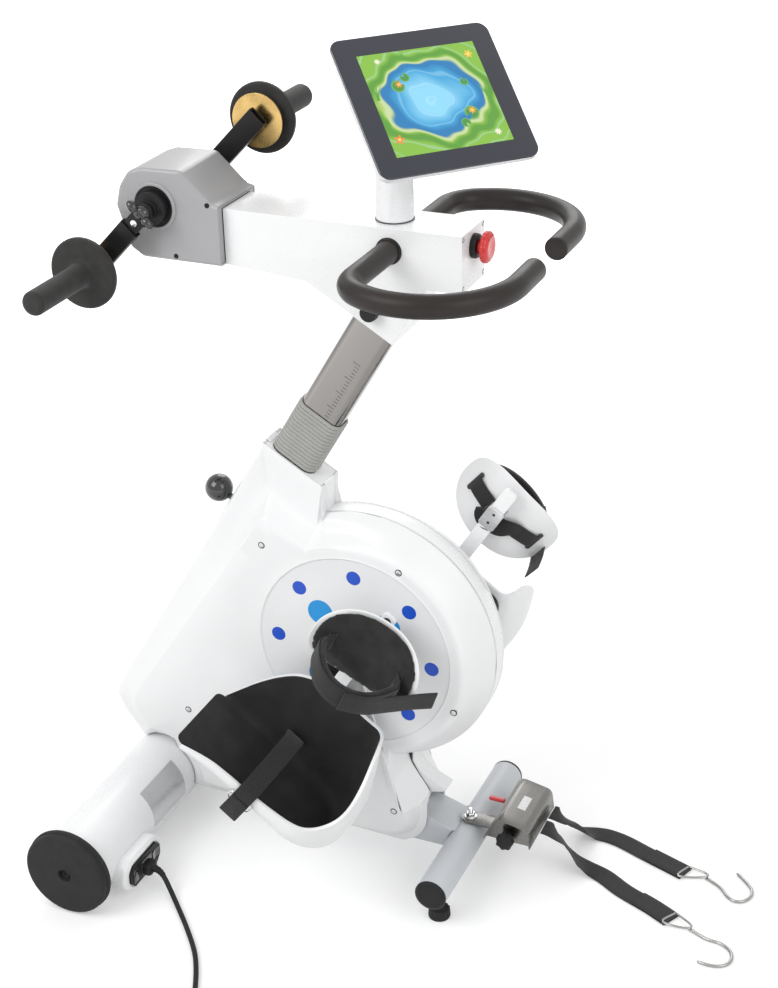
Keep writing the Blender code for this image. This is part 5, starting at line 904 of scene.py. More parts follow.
def banded(outer, inner, low, high, frame_axes):
    """A flat ring between two outlines with the same number of points."""
    rows = [place(line, depth, frame_axes) for line, depth in ((outer, low), (outer, high - 0.0006),
        (offset_outline(outer, 0.0006), high), (offset_outline(inner, -0.0004), high), (inner, high - 0.0004),
        (inner, low))]
    return skin(rows, tube=True)


block = slab(inlet_outline(INLET_LONG, INLET_HIGH), TUBE_X + 0.04, INLET_FACE, BACK_VIEW, 0.0045, 6)
lip = banded(inlet_outline(0.09, 0.0435), inlet_outline(0.082, 0.0375), INLET_FACE - 0.001,
    INLET_FACE + 0.0012, BACK_VIEW)
make_piece("inlet_block", [block, lip], white_paint, FRAME, ("inlet_housing",))
front = INLET_FACE + GAP + SOCKET_PROUD
fuse = slab(round_box(0.012, 0.02, 0.0015) + (INLET_Y - 0.0275, INLET_Z), front - 0.001, front + 0.0014,
    BACK_VIEW, 0.0005, 2)
shroud = slab(round_box(0.0275, 0.0235, 0.004) + (INLET_Y + 0.002, INLET_Z - 0.001), front - 0.001,
    front + 0.0012, BACK_VIEW, 0.0005, 2)
make_piece("inlet_fittings", [fuse, shroud], gloss_black, FRAME)
LABEL_FROM, LABEL_TO = -0.15, -0.062
LABEL_LOW, LABEL_HIGH = math.radians(-12.0), math.radians(52.0)


def bent_label(radius, thick):
    """A rectangle wrapped on the pipe: angle runs up its width and y along its length."""
    edges = ((radius, LABEL_FROM), (radius + thick, LABEL_FROM), (radius + thick, LABEL_TO),
        (radius, LABEL_TO))
    rows = [place(arc(TUBE, r, LABEL_LOW, LABEL_HIGH, 25), y, SIDE_VIEW) for r, y in edges]
    return skin(rows, ring=False, tube=True, caps=False)


make_piece("bare_tube_label", [bent_label(TUBE_R + 0.00005, 0.00025)], label_silver, FRAME)
print("inlet block %.3f x %.3f m" % (INLET_LONG, INLET_HIGH))

# %% [markdown]
# The base beam is a welded box section. Its side outline follows the two tubes that it is welded
# between, and its long edges are rounded as rolled section is. The rear tube ends in black caps and
# stands on two screw feet.

# %% Base beam, rear tube and feet
BEAM_HALF = 0.03
REAR = np.array([0.0948, 0.0564])
REAR_R = 0.0218
REAR_HALF = 0.151
CAP_THICK = 0.0055
FOOT_Y = 0.117
FOOT_R = 0.015
FOOT_HIGH = 0.014

beam_outline = np.vstack((arc(TUBE, TUBE_R + GAP, math.radians(-19.6), math.radians(31.0), 20),
    [(0.034, 0.0905)], arc(REAR, REAR_R + GAP, math.radians(123.0), math.radians(212.0), 20)))
make_piece("base_beam_section", [slab(beam_outline, -BEAM_HALF, BEAM_HALF, SIDE_VIEW, 0.0035, 5)], grey_paint,
    FRAME, ("base_beam",))
rear_middle = (REAR[0], 0.0, REAR[1])
pipe_half = REAR_HALF - CAP_THICK
pipe = [(0.0, -pipe_half), (REAR_R, -pipe_half), (REAR_R, pipe_half), (0.0, pipe_half)]
make_piece("rear_tube_pipe", [turned(soft_profile(pipe, 0.0006), rear_middle, Y_AXIS, 80)], grey_paint, FRAME,
    ("rear_tube",))
cap = [(0.0, pipe_half), (REAR_R + 0.0002, pipe_half), (REAR_R + 0.0002, REAR_HALF - 0.002),
    (REAR_R - 0.0035, REAR_HALF), (0.0, REAR_HALF)]
make_piece("rear_tube_caps", [turned(soft_profile(cap, 0.0016, 5), rear_middle, sign * Y_AXIS, 80)
    for _, sign in SIDES], black_plastic, FRAME)


stem_top = REAR[1] - REAR_R - GAP - 0.0002
foot_rows = [(0.0, 0.0, 0), (FOOT_R - 0.0016, 0.0, 0), (FOOT_R - 0.0004, 0.0006, 0), (FOOT_R, 0.002, 0),
    (FOOT_R, 0.0045, 0), (FOOT_R - 0.0006, 0.0052, 1), (FOOT_R - 0.0006, FOOT_HIGH - 0.002, 1),
    (FOOT_R - 0.0022, FOOT_HIGH, 1), (0.008, FOOT_HIGH, 0), (0.0062, FOOT_HIGH + 0.0012, 0),
    (0.006, FOOT_HIGH + 0.003, 0), (0.006, stem_top, 0), (0.0, stem_top, 0)]
for side, sign in SIDES:
    stand = (REAR[0], sign * FOOT_Y, 0.0)
    make_piece("levelling_foot_pad_" + side, [turned(foot_rows, stand, Z_AXIS, 112, 14, 0.035)], wheel_rubber,
        "foot_" + side, ("levelling_foot_" + side,))
print("base: beam, rear tube, caps and feet")

# %% [markdown]
# The white housing is two moulded covers with a narrow frame showing between them. A cover's edge
# is described by stations: at each one there is a point on the seam and a point where the side
# turns flat. Between the two, rows rise from the seam to the side panel. The rows differ round the
# machine: an even round on the back, a broad band with a ridge along the front, and a tall, nearly
# square neck, so each station carries how much of a neck and of a band it is.

# %% Stations round the housing
MAST_X, MAST_Z = -0.1035, 0.6659
MAST_POINT = np.array([MAST_X, MAST_Z])
MAST_DIR = np.array([math.sin(MAST_TILT), math.cos(MAST_TILT)])
MAST_ACROSS = np.array([math.cos(MAST_TILT), -math.sin(MAST_TILT)])
NECK_TOP, NECK_FRONT, NECK_BACK = 0.0824, 0.0436, 0.0535
CRANK = np.array([-0.047, 0.351])
ROUND_R = 0.184
EDGE_FILLET = 0.032
SEAM_Y = 0.0145
PANEL_Y = 0.059
EDGE_RISE = 0.0015
COVER_WALL = 0.003
MAST_LONG, MAST_WIDE, MAST_CORNER = 0.06, 0.036, 0.011
GUIDE_WALL = 0.0022
MAST_CLEAR = MAST_WIDE / 2 + GUIDE_WALL + RUN + COVER_WALL + 0.001
BEAM_CLEAR = BEAM_HALF + COVER_WALL + 0.0008
TOE = np.array([-0.4517, 0.1692])
NOSE_X, NOSE_TOP, NOSE_LOW = 0.044, 0.1186, 0.042
SADDLE_FRONT, SADDLE_BACK = math.radians(127.0), math.radians(-14.0)
STATION_PARTS, SLOPE_MOST = 5, 1.6


def side_point(along, across):
    """(x, z) of a point given up the mast and square to it, from the middle of the neck."""
    return MAST_POINT + along * MAST_DIR + across * MAST_ACROSS


def around_crank(radius, angles):
    """Points on a circle about the crank shaft."""
    angles = np.asarray(angles, float)
    return CRANK + radius * np.column_stack((np.cos(angles), np.sin(angles)))


def station_block(seam, flat, neck, band, inner):
    """Stations as rows of (seam x, seam z, flat x, flat z, neck, band, least y). neck, band and
    inner run evenly from their first to their last value."""
    seam, flat = np.asarray(seam, float), np.asarray(flat, float)
    runs = [np.linspace(first, last, len(seam)) for first, last in (neck, band, inner)]
    return np.column_stack([seam, flat] + runs)


def straight(first, last, count):
    """Even points on a straight line."""
    return np.linspace(np.asarray(first, float), np.asarray(last, float), count)


def housing_stations():
    """Clockwise from the neck's front corner: over the neck, round the crank, along the nose and
    the underside, over the pipe, and back up the front edge."""
    neck_front, neck_back = side_point(-NECK_TOP, -NECK_FRONT), side_point(-NECK_TOP, NECK_BACK)
    flat_r = ROUND_R - EDGE_FILLET
    first_angle = math.acos((neck_back[0] - CRANK[0]) / ROUND_R)
    last_angle = math.radians(-72.0)
    below = around_crank(ROUND_R, [first_angle])[0]
    flat_top = around_crank(flat_r, np.radians([115, 112, 109]))
    turns = np.linspace(first_angle, last_angle, 15)
    flat_turns = np.linspace(math.radians(106), last_angle, 15)
    saddle_r = (TUBE_R + 2 * GAP) / math.cos((SADDLE_FRONT - SADDLE_BACK) / 12)
    saddle_low = TUBE + saddle_r * np.array([math.cos(SADDLE_BACK), math.sin(SADDLE_BACK)])
    saddle = arc(TUBE, saddle_r, SADDLE_BACK, SADDLE_FRONT, 7)[1:]
    saddle_flat = arc(TUBE, TUBE_R + 0.036, math.radians(15.0), math.radians(88.0), 7)[1:]
    front = unit(neck_front - TOE)
    side, clear = (SEAM_Y, SEAM_Y), (BEAM_CLEAR, BEAM_CLEAR)
    blocks = [
        station_block(straight(neck_front, neck_back, 4), straight((-0.17, 0.5235), flat_top[0], 4),
                      (1, 1), (0.3, 0), (MAST_CLEAR, MAST_CLEAR)),
        station_block([neck_back - (0.0, 0.0015)], flat_top[:1], (1, 1), (0, 0), side),
        station_block(straight(neck_back, below, 4)[1:3], flat_top[1:], (1, 0.8), (0, 0), side),
        station_block(around_crank(ROUND_R, turns), around_crank(flat_r, flat_turns), (0, 0), (0, 0), side),
        station_block([(0.0145, 0.162), (0.0265, 0.144), (NOSE_X - 0.003, NOSE_TOP + 0.004)],
                      [(-0.002, 0.156), (0.004, 0.138), (0.014, 0.114)], (0, 0), (0, 0),
                      (SEAM_Y, SEAM_Y + 0.003)),
        station_block([(NOSE_X, NOSE_TOP - 0.006), (NOSE_X, 0.0975), (NOSE_X - 0.002, 0.078),
                       (NOSE_X - 0.014, 0.056), (NOSE_X - 0.036, NOSE_LOW)],
                      [(0.0175, 0.107), (0.018, 0.098), (0.016, 0.086), (0.008, 0.076),
                       (-0.01, 0.07)], (0, 0), (0, 0), clear),
        station_block(straight((-0.06, NOSE_LOW + 0.002), saddle_low, 4),
                      straight((-0.06, 0.07), (-0.285, 0.078), 4), (0, 0), (0, 0), clear),
        station_block(saddle[:3], saddle_flat[:3], (0, 0), (0, 0.4), clear),
        station_block(saddle[3:], saddle_flat[3:], (0, 0), (0.6, 1), (0.02, SEAM_Y)),
        station_block(straight(saddle[-1], TOE, 4)[1:3], [(-0.38, 0.16), (-0.39, 0.174)],
                      (0, 0), (1, 1), side),
        station_block([TOE + (0.0015, -0.0015) + 0.006 * front, TOE + 0.022 * front],
                      [(-0.3935, 0.188), (-0.391, 0.201)], (0, 0), (1, 1), side),
        station_block(straight(TOE + 0.05 * front, neck_front, 7)[:6],
                      straight((-0.378, 0.222), (-0.184, 0.508), 6), (0, 0), (1, 1), side),
        station_block([neck_front - 0.0015 * front], [(-0.171, 0.523)], (1, 1), (0.3, 0.3), side),
    ]
    stations = np.vstack(blocks)
    stations[7:10, 4] = (0.75, 0.45, 0.15)
    stations[-4:-1, 4] = (0.3, 0.7, 1.0)
    return stations


def refined_ring(stations):
    """STATION_PARTS stations for each given one. Where the line turns gently they lie on a Catmull-Rom
    curve, and at a corner of more than 30 degrees on the straight line, so corners stay where
    they are."""
    before, after = np.roll(stations, 1, axis=0), np.roll(stations, -1, axis=0)
    seam = stations[:, :2]
    arrive, leave = unit(seam - before[:, :2]), unit(after[:, :2] - seam)
    gentle = (np.sum(arrive * leave, axis=1) > math.cos(math.radians(30.0)))[:, None]
    slope = 0.5 * (after - before)
    span = after - stations
    most = SLOPE_MOST * abs(span)
    leaving = np.where(gentle, np.clip(slope, -most, most), span)
    arriving = np.where(np.roll(gentle, -1, axis=0), np.clip(np.roll(slope, -1, axis=0), -most, most), span)
    t = np.linspace(0.0, 1.0, STATION_PARTS, endpoint=False)[None, :, None]
    fine = hermite(t, *(v[:, None, :] for v in (stations, after, leaving, arriving)))
    fine[..., 4:6] = np.clip(fine[..., 4:6], 0.0, 1.0)
    return fine.reshape(-1, stations.shape[1])


stations = refined_ring(housing_stations())
print("housing: %d stations" % len(stations))

# %% [markdown]
# Rows from the seam to the panel: each row is (share of the way in, share of the way up), for the
# three kinds of edge. Six rows give the shape, and a smooth curve through them gives the rest.
# Inside the flat panel the rows shrink onto the round dial, a step lower than the panel, and end at
# the shaft's hole.

# %% Covers
ROUND_ROWS = ((0.0, 0.0), (0.15, 0.2), (0.39, 0.5), (0.61, 0.75), (0.8, 0.92), (1.0, 1.0))
BAND_ROWS = ((0.0, 0.0), (0.02, 0.16), (0.12, 0.3), (0.5, 0.56), (0.84, 0.86), (1.0, 1.0))
NECK_ROWS = ((0.0, 0.0), (0.05, 0.14), (0.13, 0.236), (0.62, 0.27), (0.86, 0.68), (1.0, 1.0))
DIAL_R = 0.137
DIAL_STEP = 0.0012
SHAFT_HOLE_R = 0.014
ROW_PARTS = 4


def row_curve(rows):
    """A Catmull-Rom curve through six (share, height) rows, ROW_PARTS points for each gap, that
    arrives level at the panel."""
    rows = np.asarray(rows, float)
    chain = np.vstack((2 * rows[0] - rows[1], rows, (2.0 - rows[-2][0], 1.0)))
    t = np.linspace(0.0, 1.0, ROW_PARTS, endpoint=False)[:, None]
    pieces = [0.5 * (2 * b + (c - a) * t + (2 * a - 5 * b + 4 * c - d) * t ** 2
        + (3 * b - a - 3 * c + d) * t ** 3) for a, b, c, d in zip(chain, chain[1:], chain[2:], chain[3:])]
    return np.clip(np.vstack(pieces + [rows[-1:]]), 0.0, 1.0)


def cover_rows(sign):
    """(row, station, xyz): the edge rows, then circles in to the shaft's hole."""
    seam, flat = stations[:, 0:2], stations[:, 2:4]
    neck, band, inner = stations[:, 4], stations[:, 5], stations[:, 6]
    curves = [row_curve(rows) for rows in (ROUND_ROWS, BAND_ROWS, NECK_ROWS)]
    weights = np.stack(((1 - band) * (1 - neck), band * (1 - neck), neck))
    share = sum(curve[:, :1] * weight for curve, weight in zip(curves, weights))
    height = sum(curve[:, 1:] * weight for curve, weight in zip(curves, weights))
    point = seam[None] + (flat - seam)[None] * share[..., None]
    climb = np.linspace(0.0, 5 * EDGE_RISE, len(share))[:, None]
    level = np.maximum(SEAM_Y + (PANEL_Y - SEAM_Y) * height, inner[None] + climb)
    rows = [np.stack((point[..., 0], sign * level, point[..., 1]), axis=-1)]
    heading = flat - CRANK
    reach = np.linalg.norm(heading, axis=1)[:, None]
    heading = heading / reach
    dial = ((0.35, 0.0, 1), (0.75, 0.0, 1), (DIAL_R + 0.0012, 0.0, 0), (DIAL_R + 0.0004, 0.0003, 0),
        (DIAL_R - 0.0004, 0.0002, 0), (DIAL_R - 0.0012, -DIAL_STEP + 0.0003, 0),
        (DIAL_R - 0.0024, -DIAL_STEP, 0), (0.1, -DIAL_STEP, 0), (0.06, -DIAL_STEP, 0), (0.03, -DIAL_STEP, 0),
        (SHAFT_HOLE_R + 0.001, -DIAL_STEP, 0), (SHAFT_HOLE_R, -DIAL_STEP - 0.001, 0))
    for radius, rise, is_share in dial:
        out = reach + (DIAL_R + 0.0012 - reach) * radius if is_share else np.full_like(reach, radius)
        spot = CRANK + heading * out
        rows.append(np.column_stack((spot[:, 0], np.full(len(spot), sign * (PANEL_Y + rise)),
            spot[:, 1]))[None])
    return np.vstack(rows)


for side, sign in SIDES:
    shape = skin(cover_rows(sign), caps=False)
    cover = make_piece("moulded_cover_" + side, [shape], white_cover, FRAME,
        ("cover_" + side,), crease=50.0, flip=False)
    outward = np.zeros(3 * len(cover.data.polygons))
    cover.data.polygons.foreach_get("normal", outward)
    if outward.reshape(-1, 3)[-len(stations):, 1].mean() * sign < 0:
        cover.data.flip_normals()
    thicken(cover, COVER_WALL - 0.0006)
    print(cover.name, len(cover.data.polygons), "faces")

# %% [markdown]
# The narrow frame between the covers follows their seam. Its outline runs out along the covers'
# rim and back along the inner edge of the band, and is pulled across the machine with its corners
# broken. A web fills the back of the neck, and a thin dark sheet of painted shade, standing for the
# shadow in the gap, lies in the groove under each cover's edge, but not on the lip. A plate closes
# the neck's top round the mast, under the rubber sleeve.
# Five screws in dark wells hold each cover.

# %% Frame, neck plate and screws
SPINE_BAND = 0.007
SEAM_GROOVE = 0.0016
LIP_X, LIP_Z = 0.0645, 0.128
BEAM_HIGH = 0.0905
KNOB_DOWN = 0.2038
SCREWS = ((-0.175, 0.485), (0.02, 0.483), (0.094, 0.289), (0.005, 0.107), (-0.307, 0.197))
LIP_LINE = [(0.0165, 0.165), (0.0275, 0.148), (LIP_X - 0.02, 0.137), (LIP_X, LIP_Z),
    (LIP_X - 0.004, LIP_Z - 0.005), (NOSE_X - 0.004, 0.118)]
SHADE_SHEET_LINE = [(0.0155, 0.164), (0.0262, 0.144), (0.0335, 0.1335), (0.04, 0.124), (0.0405, 0.118)]


def spine_outline(under_round):
    """The outer line clockwise from the neck's back corner, with the given points between the round
    and the beam, then the inner line back again."""
    neck_back, neck_front = side_point(-NECK_TOP, NECK_BACK), side_point(-NECK_TOP, -NECK_FRONT)
    round_start = math.acos((neck_back[0] - CRANK[0]) / ROUND_R)
    inner_end = math.acos((neck_back[0] - SPINE_BAND - CRANK[0]) / (ROUND_R - SPINE_BAND))
    beam_top = BEAM_HIGH + 2 * GAP
    front = unit(neck_front - TOE)
    outer = [[neck_back], arc(CRANK, ROUND_R, round_start, math.radians(-70.0), 96), under_round,
        [(0.03, beam_top + 0.001)], arc(TUBE, TUBE_R + 2 * GAP, math.radians(33.0), SADDLE_FRONT, 28),
        [TOE + (0.0035, -0.007), TOE + 0.012 * front, neck_front]]
    inner = [[neck_front + SPINE_BAND * MAST_ACROSS, TOE + 0.014 * front + SPINE_BAND * MAST_ACROSS],
        arc(TUBE, TUBE_R + SPINE_BAND, math.radians(118.0), math.radians(40.0), 24),
        [(-0.03, beam_top + SPINE_BAND)], arc(CRANK, ROUND_R - SPINE_BAND, math.radians(-78.0), inner_end,
        90), [neck_back - (SPINE_BAND, 0.0)]]
    return np.vstack(outer + inner)


corner_x, corner_z = side_point(-NECK_TOP, NECK_BACK)
web_low = CRANK[1] + math.sqrt(ROUND_R ** 2 - (corner_x - CRANK[0]) ** 2) - 0.004
neck_web = [(corner_x - 0.0003, corner_z - 0.0003), (corner_x - 0.0003, web_low), (corner_x - 0.006, web_low),
    (corner_x - 0.006, corner_z - 0.0003)]
groove_y, web_y = SEAM_Y - SEAM_GROOVE, SEAM_Y - 0.0002
band = slab(spine_outline(LIP_LINE), -groove_y, groove_y, SIDE_VIEW, 0.0006, 2)
web = slab(neck_web, -web_y, web_y, SIDE_VIEW, 0.0002, 1)
make_piece("frame_between_covers", [band, web], white_paint, FRAME, ("spine_frame",))
# Painted shade: a thin dark sheet in each seam groove stands for the shadow in the gap between cover and
# frame.
shade_outline = offset_outline(spine_outline(SHADE_SHEET_LINE), 0.0008)
shade_sheets = [slab(shade_outline, sign * (groove_y + 0.0002), sign * web_y, SIDE_VIEW, 0.0001, 1) for _, sign in SIDES]
make_piece("seam_shade_sheets", shade_sheets, painted_shade, FRAME)


def mast_outline(grow):
    """The mast's section (across, y) with its wall moved out by grow."""
    return round_box(MAST_LONG + 2 * grow, MAST_WIDE + 2 * grow, MAST_CORNER + grow)


def mast_frame(along):
    """Where a section across the mast lies: its origin, its two directions, and up the mast."""
    x, z = side_point(along, 0.0)
    return ((x, 0.0, z), (MAST_ACROSS[0], 0.0, MAST_ACROSS[1]), Y_AXIS, (MAST_DIR[0], 0.0, MAST_DIR[1]))


def holed_plate(outer, inner, low, high, frame_axes):
    """A plate with a hole: rings up the outside, across the top, and down the inside again."""
    rows = [place(outer, low, frame_axes), place(outer, high, frame_axes), place(inner, high, frame_axes),
        place(inner, low, frame_axes)]
    return skin(rows, tube=True)


plate_outer = round_box(NECK_FRONT + NECK_BACK - 0.004, 2 * (MAST_CLEAR - 0.0002), 0.004)
plate_outer = plate_outer + ((NECK_BACK - NECK_FRONT) / 2, 0.0)
plate = holed_plate(plate_outer, mast_outline(RUN + GUIDE_WALL + 0.0004), -0.0034, -0.0008,
    mast_frame(-NECK_TOP))
make_piece("neck_top_plate", [plate], white_cover, FRAME)


def make_screws(label, spots, well, head, finish, body, slots):
    """At each (spot, axis) a dark well, and in it a domed head whose cross cut is a small pit."""
    well_line = [(0.0, -0.0008), (well, -0.0008), (well, 0.00012), (well - 0.0005, 0.00018), (0.0, 0.00018)]
    head_line = [(head, 0.0002), (head, 0.0005), (head * 0.85, 0.0009), (head * 0.4, 0.0011),
        (head * 0.34, 0.0006), (0.0, 0.0006)]
    for ending, line, look, slot in (("_wells", well_line, black_plastic, slots[0]),
            ("_heads", head_line, finish, slots[1])):
        make_piece(label + ending, [turned(line, spot, axis, 28) for spot, axis in spots], look, body)


spots = [((x, sign * PANEL_Y, z), sign * Y_AXIS) for _, sign in SIDES for x, z in SCREWS]
make_screws("cover_screw", spots, 0.0048, 0.0036, brushed_steel, FRAME, ("black_plastic", "steel"))
print("neck plate, and", len(spots), "cover screws")

# %% [markdown]
# The dial is printed with round dots: eight dark blue ones on a ring near its rim, and four light
# blue ones nearer the shaft. Each is a disc hardly thicker than paint.

# %% Dots on the dials
RIM_DOTS = (8, 0.1104, 0.01, -1.5)
INNER_DOTS = (4, 0.068, 0.018, 43.5)
for side, sign in SIDES:
    for label, (count, ring_r, dot_r, start), finish in (("rim_dots_", RIM_DOTS, dark_blue),
            ("inner_dots_", INNER_DOTS, light_blue)):
        spots = around_crank(ring_r, np.radians(start + 360.0 / count * np.arange(count)))
        level = sign * (PANEL_Y - DIAL_STEP - 0.00005)
        discs = [turned([(0.0, 0.0), (dot_r, 0.0), (dot_r, 0.00014), (0.0, 0.00016)], (x, level, z),
            sign * Y_AXIS, 48) for x, z in spots]
        make_piece(label + side, discs, finish, FRAME)
print("dots on both dials")

# %% [markdown]
# The head is a box bent from sheet and painted, so its edges are tight rounds. Its outline drops to
# a chin where the mast goes in, and one side face of the outline stays open there. Round holes are
# cut through the finished wall with a boolean, whose result is kept as the piece's mesh.

# %% Head box
def open_box(outline, half, open_edge):
    """A prism of a side outline with one of its edge faces left out, the one that joins corner
    open_edge to the next."""
    count = len(outline)
    points = np.vstack([place(outline, depth, SIDE_VIEW) for depth in (-half, half)])
    faces = [list(range(count)), list(range(2 * count - 1, count - 1, -1))]
    for k in range(count):
        n = (k + 1) % count
        if k != open_edge:
            faces.append([k, n, count + n, count + k])
    return points, faces


def cut_holes(piece, holes):
    """Round holes given as (centre, axis, radius, half length)."""
    tools = [turned([(0.0, -half), (radius, -half), (radius, half), (0.0, half)], centre, axis, 48)
        for centre, axis, radius, half in holes]
    points, faces = joined(tools)
    mesh = bpy.data.meshes.new("hole_tool")
    mesh.from_pydata((points + POLE_X * X_AXIS).tolist(), [], faces)
    bm = bmesh.new()
    bm.from_mesh(mesh)
    bmesh.ops.remove_doubles(bm, verts=bm.verts, dist=MERGE)
    bmesh.ops.recalc_face_normals(bm, faces=bm.faces)
    bm.to_mesh(mesh)
    bm.free()
    tool = bpy.data.objects.new("hole_tool", mesh)
    bpy.context.scene.collection.objects.link(tool)
    cut = piece.modifiers.new("holes", "BOOLEAN")
    cut.object = tool
    cut.solver = "EXACT"
    whole = piece.evaluated_get(bpy.context.evaluated_depsgraph_get())
    finished = bpy.data.meshes.new_from_object(whole)
    piece.modifiers.clear()
    piece.data = finished
    bpy.data.objects.remove(tool)


def sheet_box(name, shape, finish, body, replaces, edge, wall, holes):
    """A box of bent sheet: rounded edges, a wall grown inwards, round holes, and shading that stays
    even over the flat faces."""
    box = make_piece(name, [shape], finish, body, replaces, crease=60.0)
    round_edges(box, edge, 4, 20.0)
    thicken(box, wall)
    cut_holes(box, holes)
    box.data.shade_smooth()
    box.data.set_sharp_from_angle(angle=math.radians(50.0))
    even = box.modifiers.new("even_shading", "WEIGHTED_NORMAL")
    even.keep_sharp = True
    return box


HEAD_BACK_X, HEAD_FRONT_X, HEAD_HALF_Y = 0.1, -0.2125, 0.037
HEAD_LOW, HEAD_HIGH = 0.861, 0.932
CHIN = (-0.104, 0.852)
COLLAR = np.array([-0.052, 0.821])
HEAD_WALL = 0.002
STOP_Z, STOP_R, STOP_STEM_R = 0.91, 0.019, 0.008
collar_along = float(np.dot(COLLAR - MAST_POINT, MAST_DIR))
collar_across = float(np.dot(COLLAR - MAST_POINT, MAST_ACROSS))
collar_back = side_point(collar_along, -collar_across)
rise = (HEAD_LOW - collar_back[1]) / MAST_DIR[1]
head_outline = np.array([(HEAD_FRONT_X, HEAD_HIGH), (HEAD_BACK_X, HEAD_HIGH), (HEAD_BACK_X, HEAD_LOW),
    tuple(collar_back + rise * MAST_DIR), tuple(collar_back), tuple(COLLAR), CHIN, (HEAD_FRONT_X, HEAD_LOW)])
stop_spot = (HEAD_BACK_X, 0.0, STOP_Z)
sheet_box("head_sheet_box", open_box(head_outline, HEAD_HALF_Y, 4), white_paint, "head",
    ("head_box",), 0.0032, HEAD_WALL, [(stop_spot, X_AXIS, STOP_STEM_R + RUN, 0.02)])
spots = [((HEAD_BACK_X, y, z), X_AXIS) for y in (-0.0325, 0.0325) for z in (0.9265, 0.8665)]
make_screws("end_plate_screw", spots, 0.003, 0.0024, brushed_steel, "head", ("white_paint", "white_paint"))
print("head box with", len(spots), "end screws")

# %% [markdown]
# The stop button is a mushroom on a stem. Its cap has a dished top and a knurled skirt, and behind it
# a black ring is screwed to the head. A small round knob on the near side, mostly hidden by the
# handlebar, clamps the head to the mast.

# %% Stop button
STOP_BASE_LONG, STOP_TRAVEL = 0.008, 0.004
back = STOP_BASE_LONG + STOP_TRAVEL + 0.001
front = back + 0.01
cap_rows = [(STOP_STEM_R, -0.012, 0), (STOP_STEM_R, back, 0), (STOP_R - 0.0025, back, 0),
    (STOP_R - 0.0008, back + 0.0008, 1), (STOP_R, back + 0.0024, 1), (STOP_R, front - 0.0044, 1),
    (STOP_R - 0.0012, front - 0.0024, 0.4), (STOP_R - 0.0042, front - 0.0006, 0), (STOP_R - 0.0066, front, 0),
    (STOP_R - 0.01, front - 0.0006, 0), (0.0004, front - 0.0009, 0)]
make_piece("stop_button_cap", [turned(cap_rows, stop_spot, X_AXIS, 144, 24, 0.02)], stop_red, "button",
    ("stop_button",), crease=45.0)
ring = [(STOP_STEM_R + RUN, 0.0002), (0.015, 0.0002), (0.015, 0.0045), (0.0138, 0.0072),
    (STOP_STEM_R + RUN, 0.0078), (STOP_STEM_R + RUN, 0.0002)]
make_piece("stop_button_ring", [turned(soft_profile(ring, 0.0006), stop_spot, X_AXIS, 64)], black_plastic,
    "head")
KNOB_SPOT = (-0.017, -HEAD_HALF_Y, 0.826)
knob_rows = soft_profile([(0.0, 0.0002), (0.0085, 0.0002), (0.0115, 0.0045), (0.0105, 0.0135), (0.0, 0.0135)],
    0.0012)
make_piece("head_clamp_knob", [turned(knob_rows, KNOB_SPOT, -Y_AXIS, 48)], black_plastic, "head")
print("stop button on a ring, and a clamp knob")

# %% [markdown]
# The arm drive's casing is moulded, with softer edges than the sheet box. Round the shaft it has a
# proud ring with a dark floor. The cranked arms are flat bars that lie half a turn apart, and each
# has a sleeve sliding on it that carries the hand grip's axle.

# %% Arm casing
ARM_X, ARM_Z = -0.3006, 0.9296
ARM_HALF_Y, ARM_BACK_X, ARM_CORNER = 0.05, -0.213, 0.005
ARM_SHAFT_R = 0.008
ARM_SPOT = np.array([ARM_X, 0.0, ARM_Z])
crown = ((-0.056, -0.0046), (-0.0497, 0.02), (-0.0357, 0.0403), (-0.0173, 0.0465), (0.0385, 0.0478),
    (0.079, 0.0099))
casing_outline = np.array([(ARM_X + a, ARM_Z + b) for a, b in crown]
    + [(ARM_BACK_X, HEAD_HIGH + 0.006), (ARM_BACK_X, HEAD_LOW), (ARM_X - 0.0223, HEAD_LOW),
    (ARM_X - 0.0394, HEAD_LOW + 0.0108)])
sheet_box("arm_drive_casing", open_box(casing_outline, ARM_HALF_Y, 6), silver_cover, "head",
    ("arm_housing",), ARM_CORNER, 0.003, [(ARM_SPOT, Y_AXIS, ARM_SHAFT_R + RUN, 0.1)])
ring_line = soft_profile([(0.0262, 0.00005), (0.0262, 0.0028), (0.0298, 0.0028), (0.031, 0.00005),
    (0.0262, 0.00005)], 0.0008)
floor_line = [(0.009, 0.00005), (0.0262, 0.00005), (0.0262, 0.0003), (0.009, 0.0003), (0.009, 0.00005)]
for name, line, sides, finish in (("arm_casing_rings", ring_line, 96, silver_cover),
        ("arm_casing_floors", floor_line, 64, black_plastic)):
    make_piece(name, [turned(line, ARM_SPOT + sign * ARM_HALF_Y * Y_AXIS, sign * Y_AXIS, sides)
        for _, sign in SIDES], finish, "head")
spots = [((x, sign * ARM_HALF_Y, z), sign * Y_AXIS) for _, sign in SIDES
    for x, z in ((-0.227, 0.938), (-0.275, 0.868))]
make_screws("arm_casing_screw", spots, 0.0032, 0.0024, black_steel, "head", ("grey_paint", "grey_paint"))
BACK_FACE = ((ARM_BACK_X - 0.0004, 0.0, 0.0), Y_AXIS, Z_AXIS, -X_AXIS)
rim_low, rim_high, rim_out = HEAD_LOW + 0.0034, HEAD_HIGH + 0.0026, ARM_HALF_Y - 0.0034
closing = [slab([(first, low), (last, low), (last, rim_high), (first, rim_high)], 0.0, 0.0014, BACK_FACE,
    0.0002, 1) for first, last, low in ((-rim_out, -HEAD_HALF_Y - GAP, rim_low),
    (HEAD_HALF_Y + GAP, rim_out, rim_low), (-HEAD_HALF_Y, HEAD_HALF_Y, HEAD_HIGH + GAP))]
make_piece("arm_casing_back_rim", closing, silver_cover, "head")
print("arm casing:", len(casing_outline), "corners")

# %% [markdown]
# The shaft has a flange against each side of the casing. The flat bar is bolted to its end, under a
# knob with two round wings that clamps the arm's length.

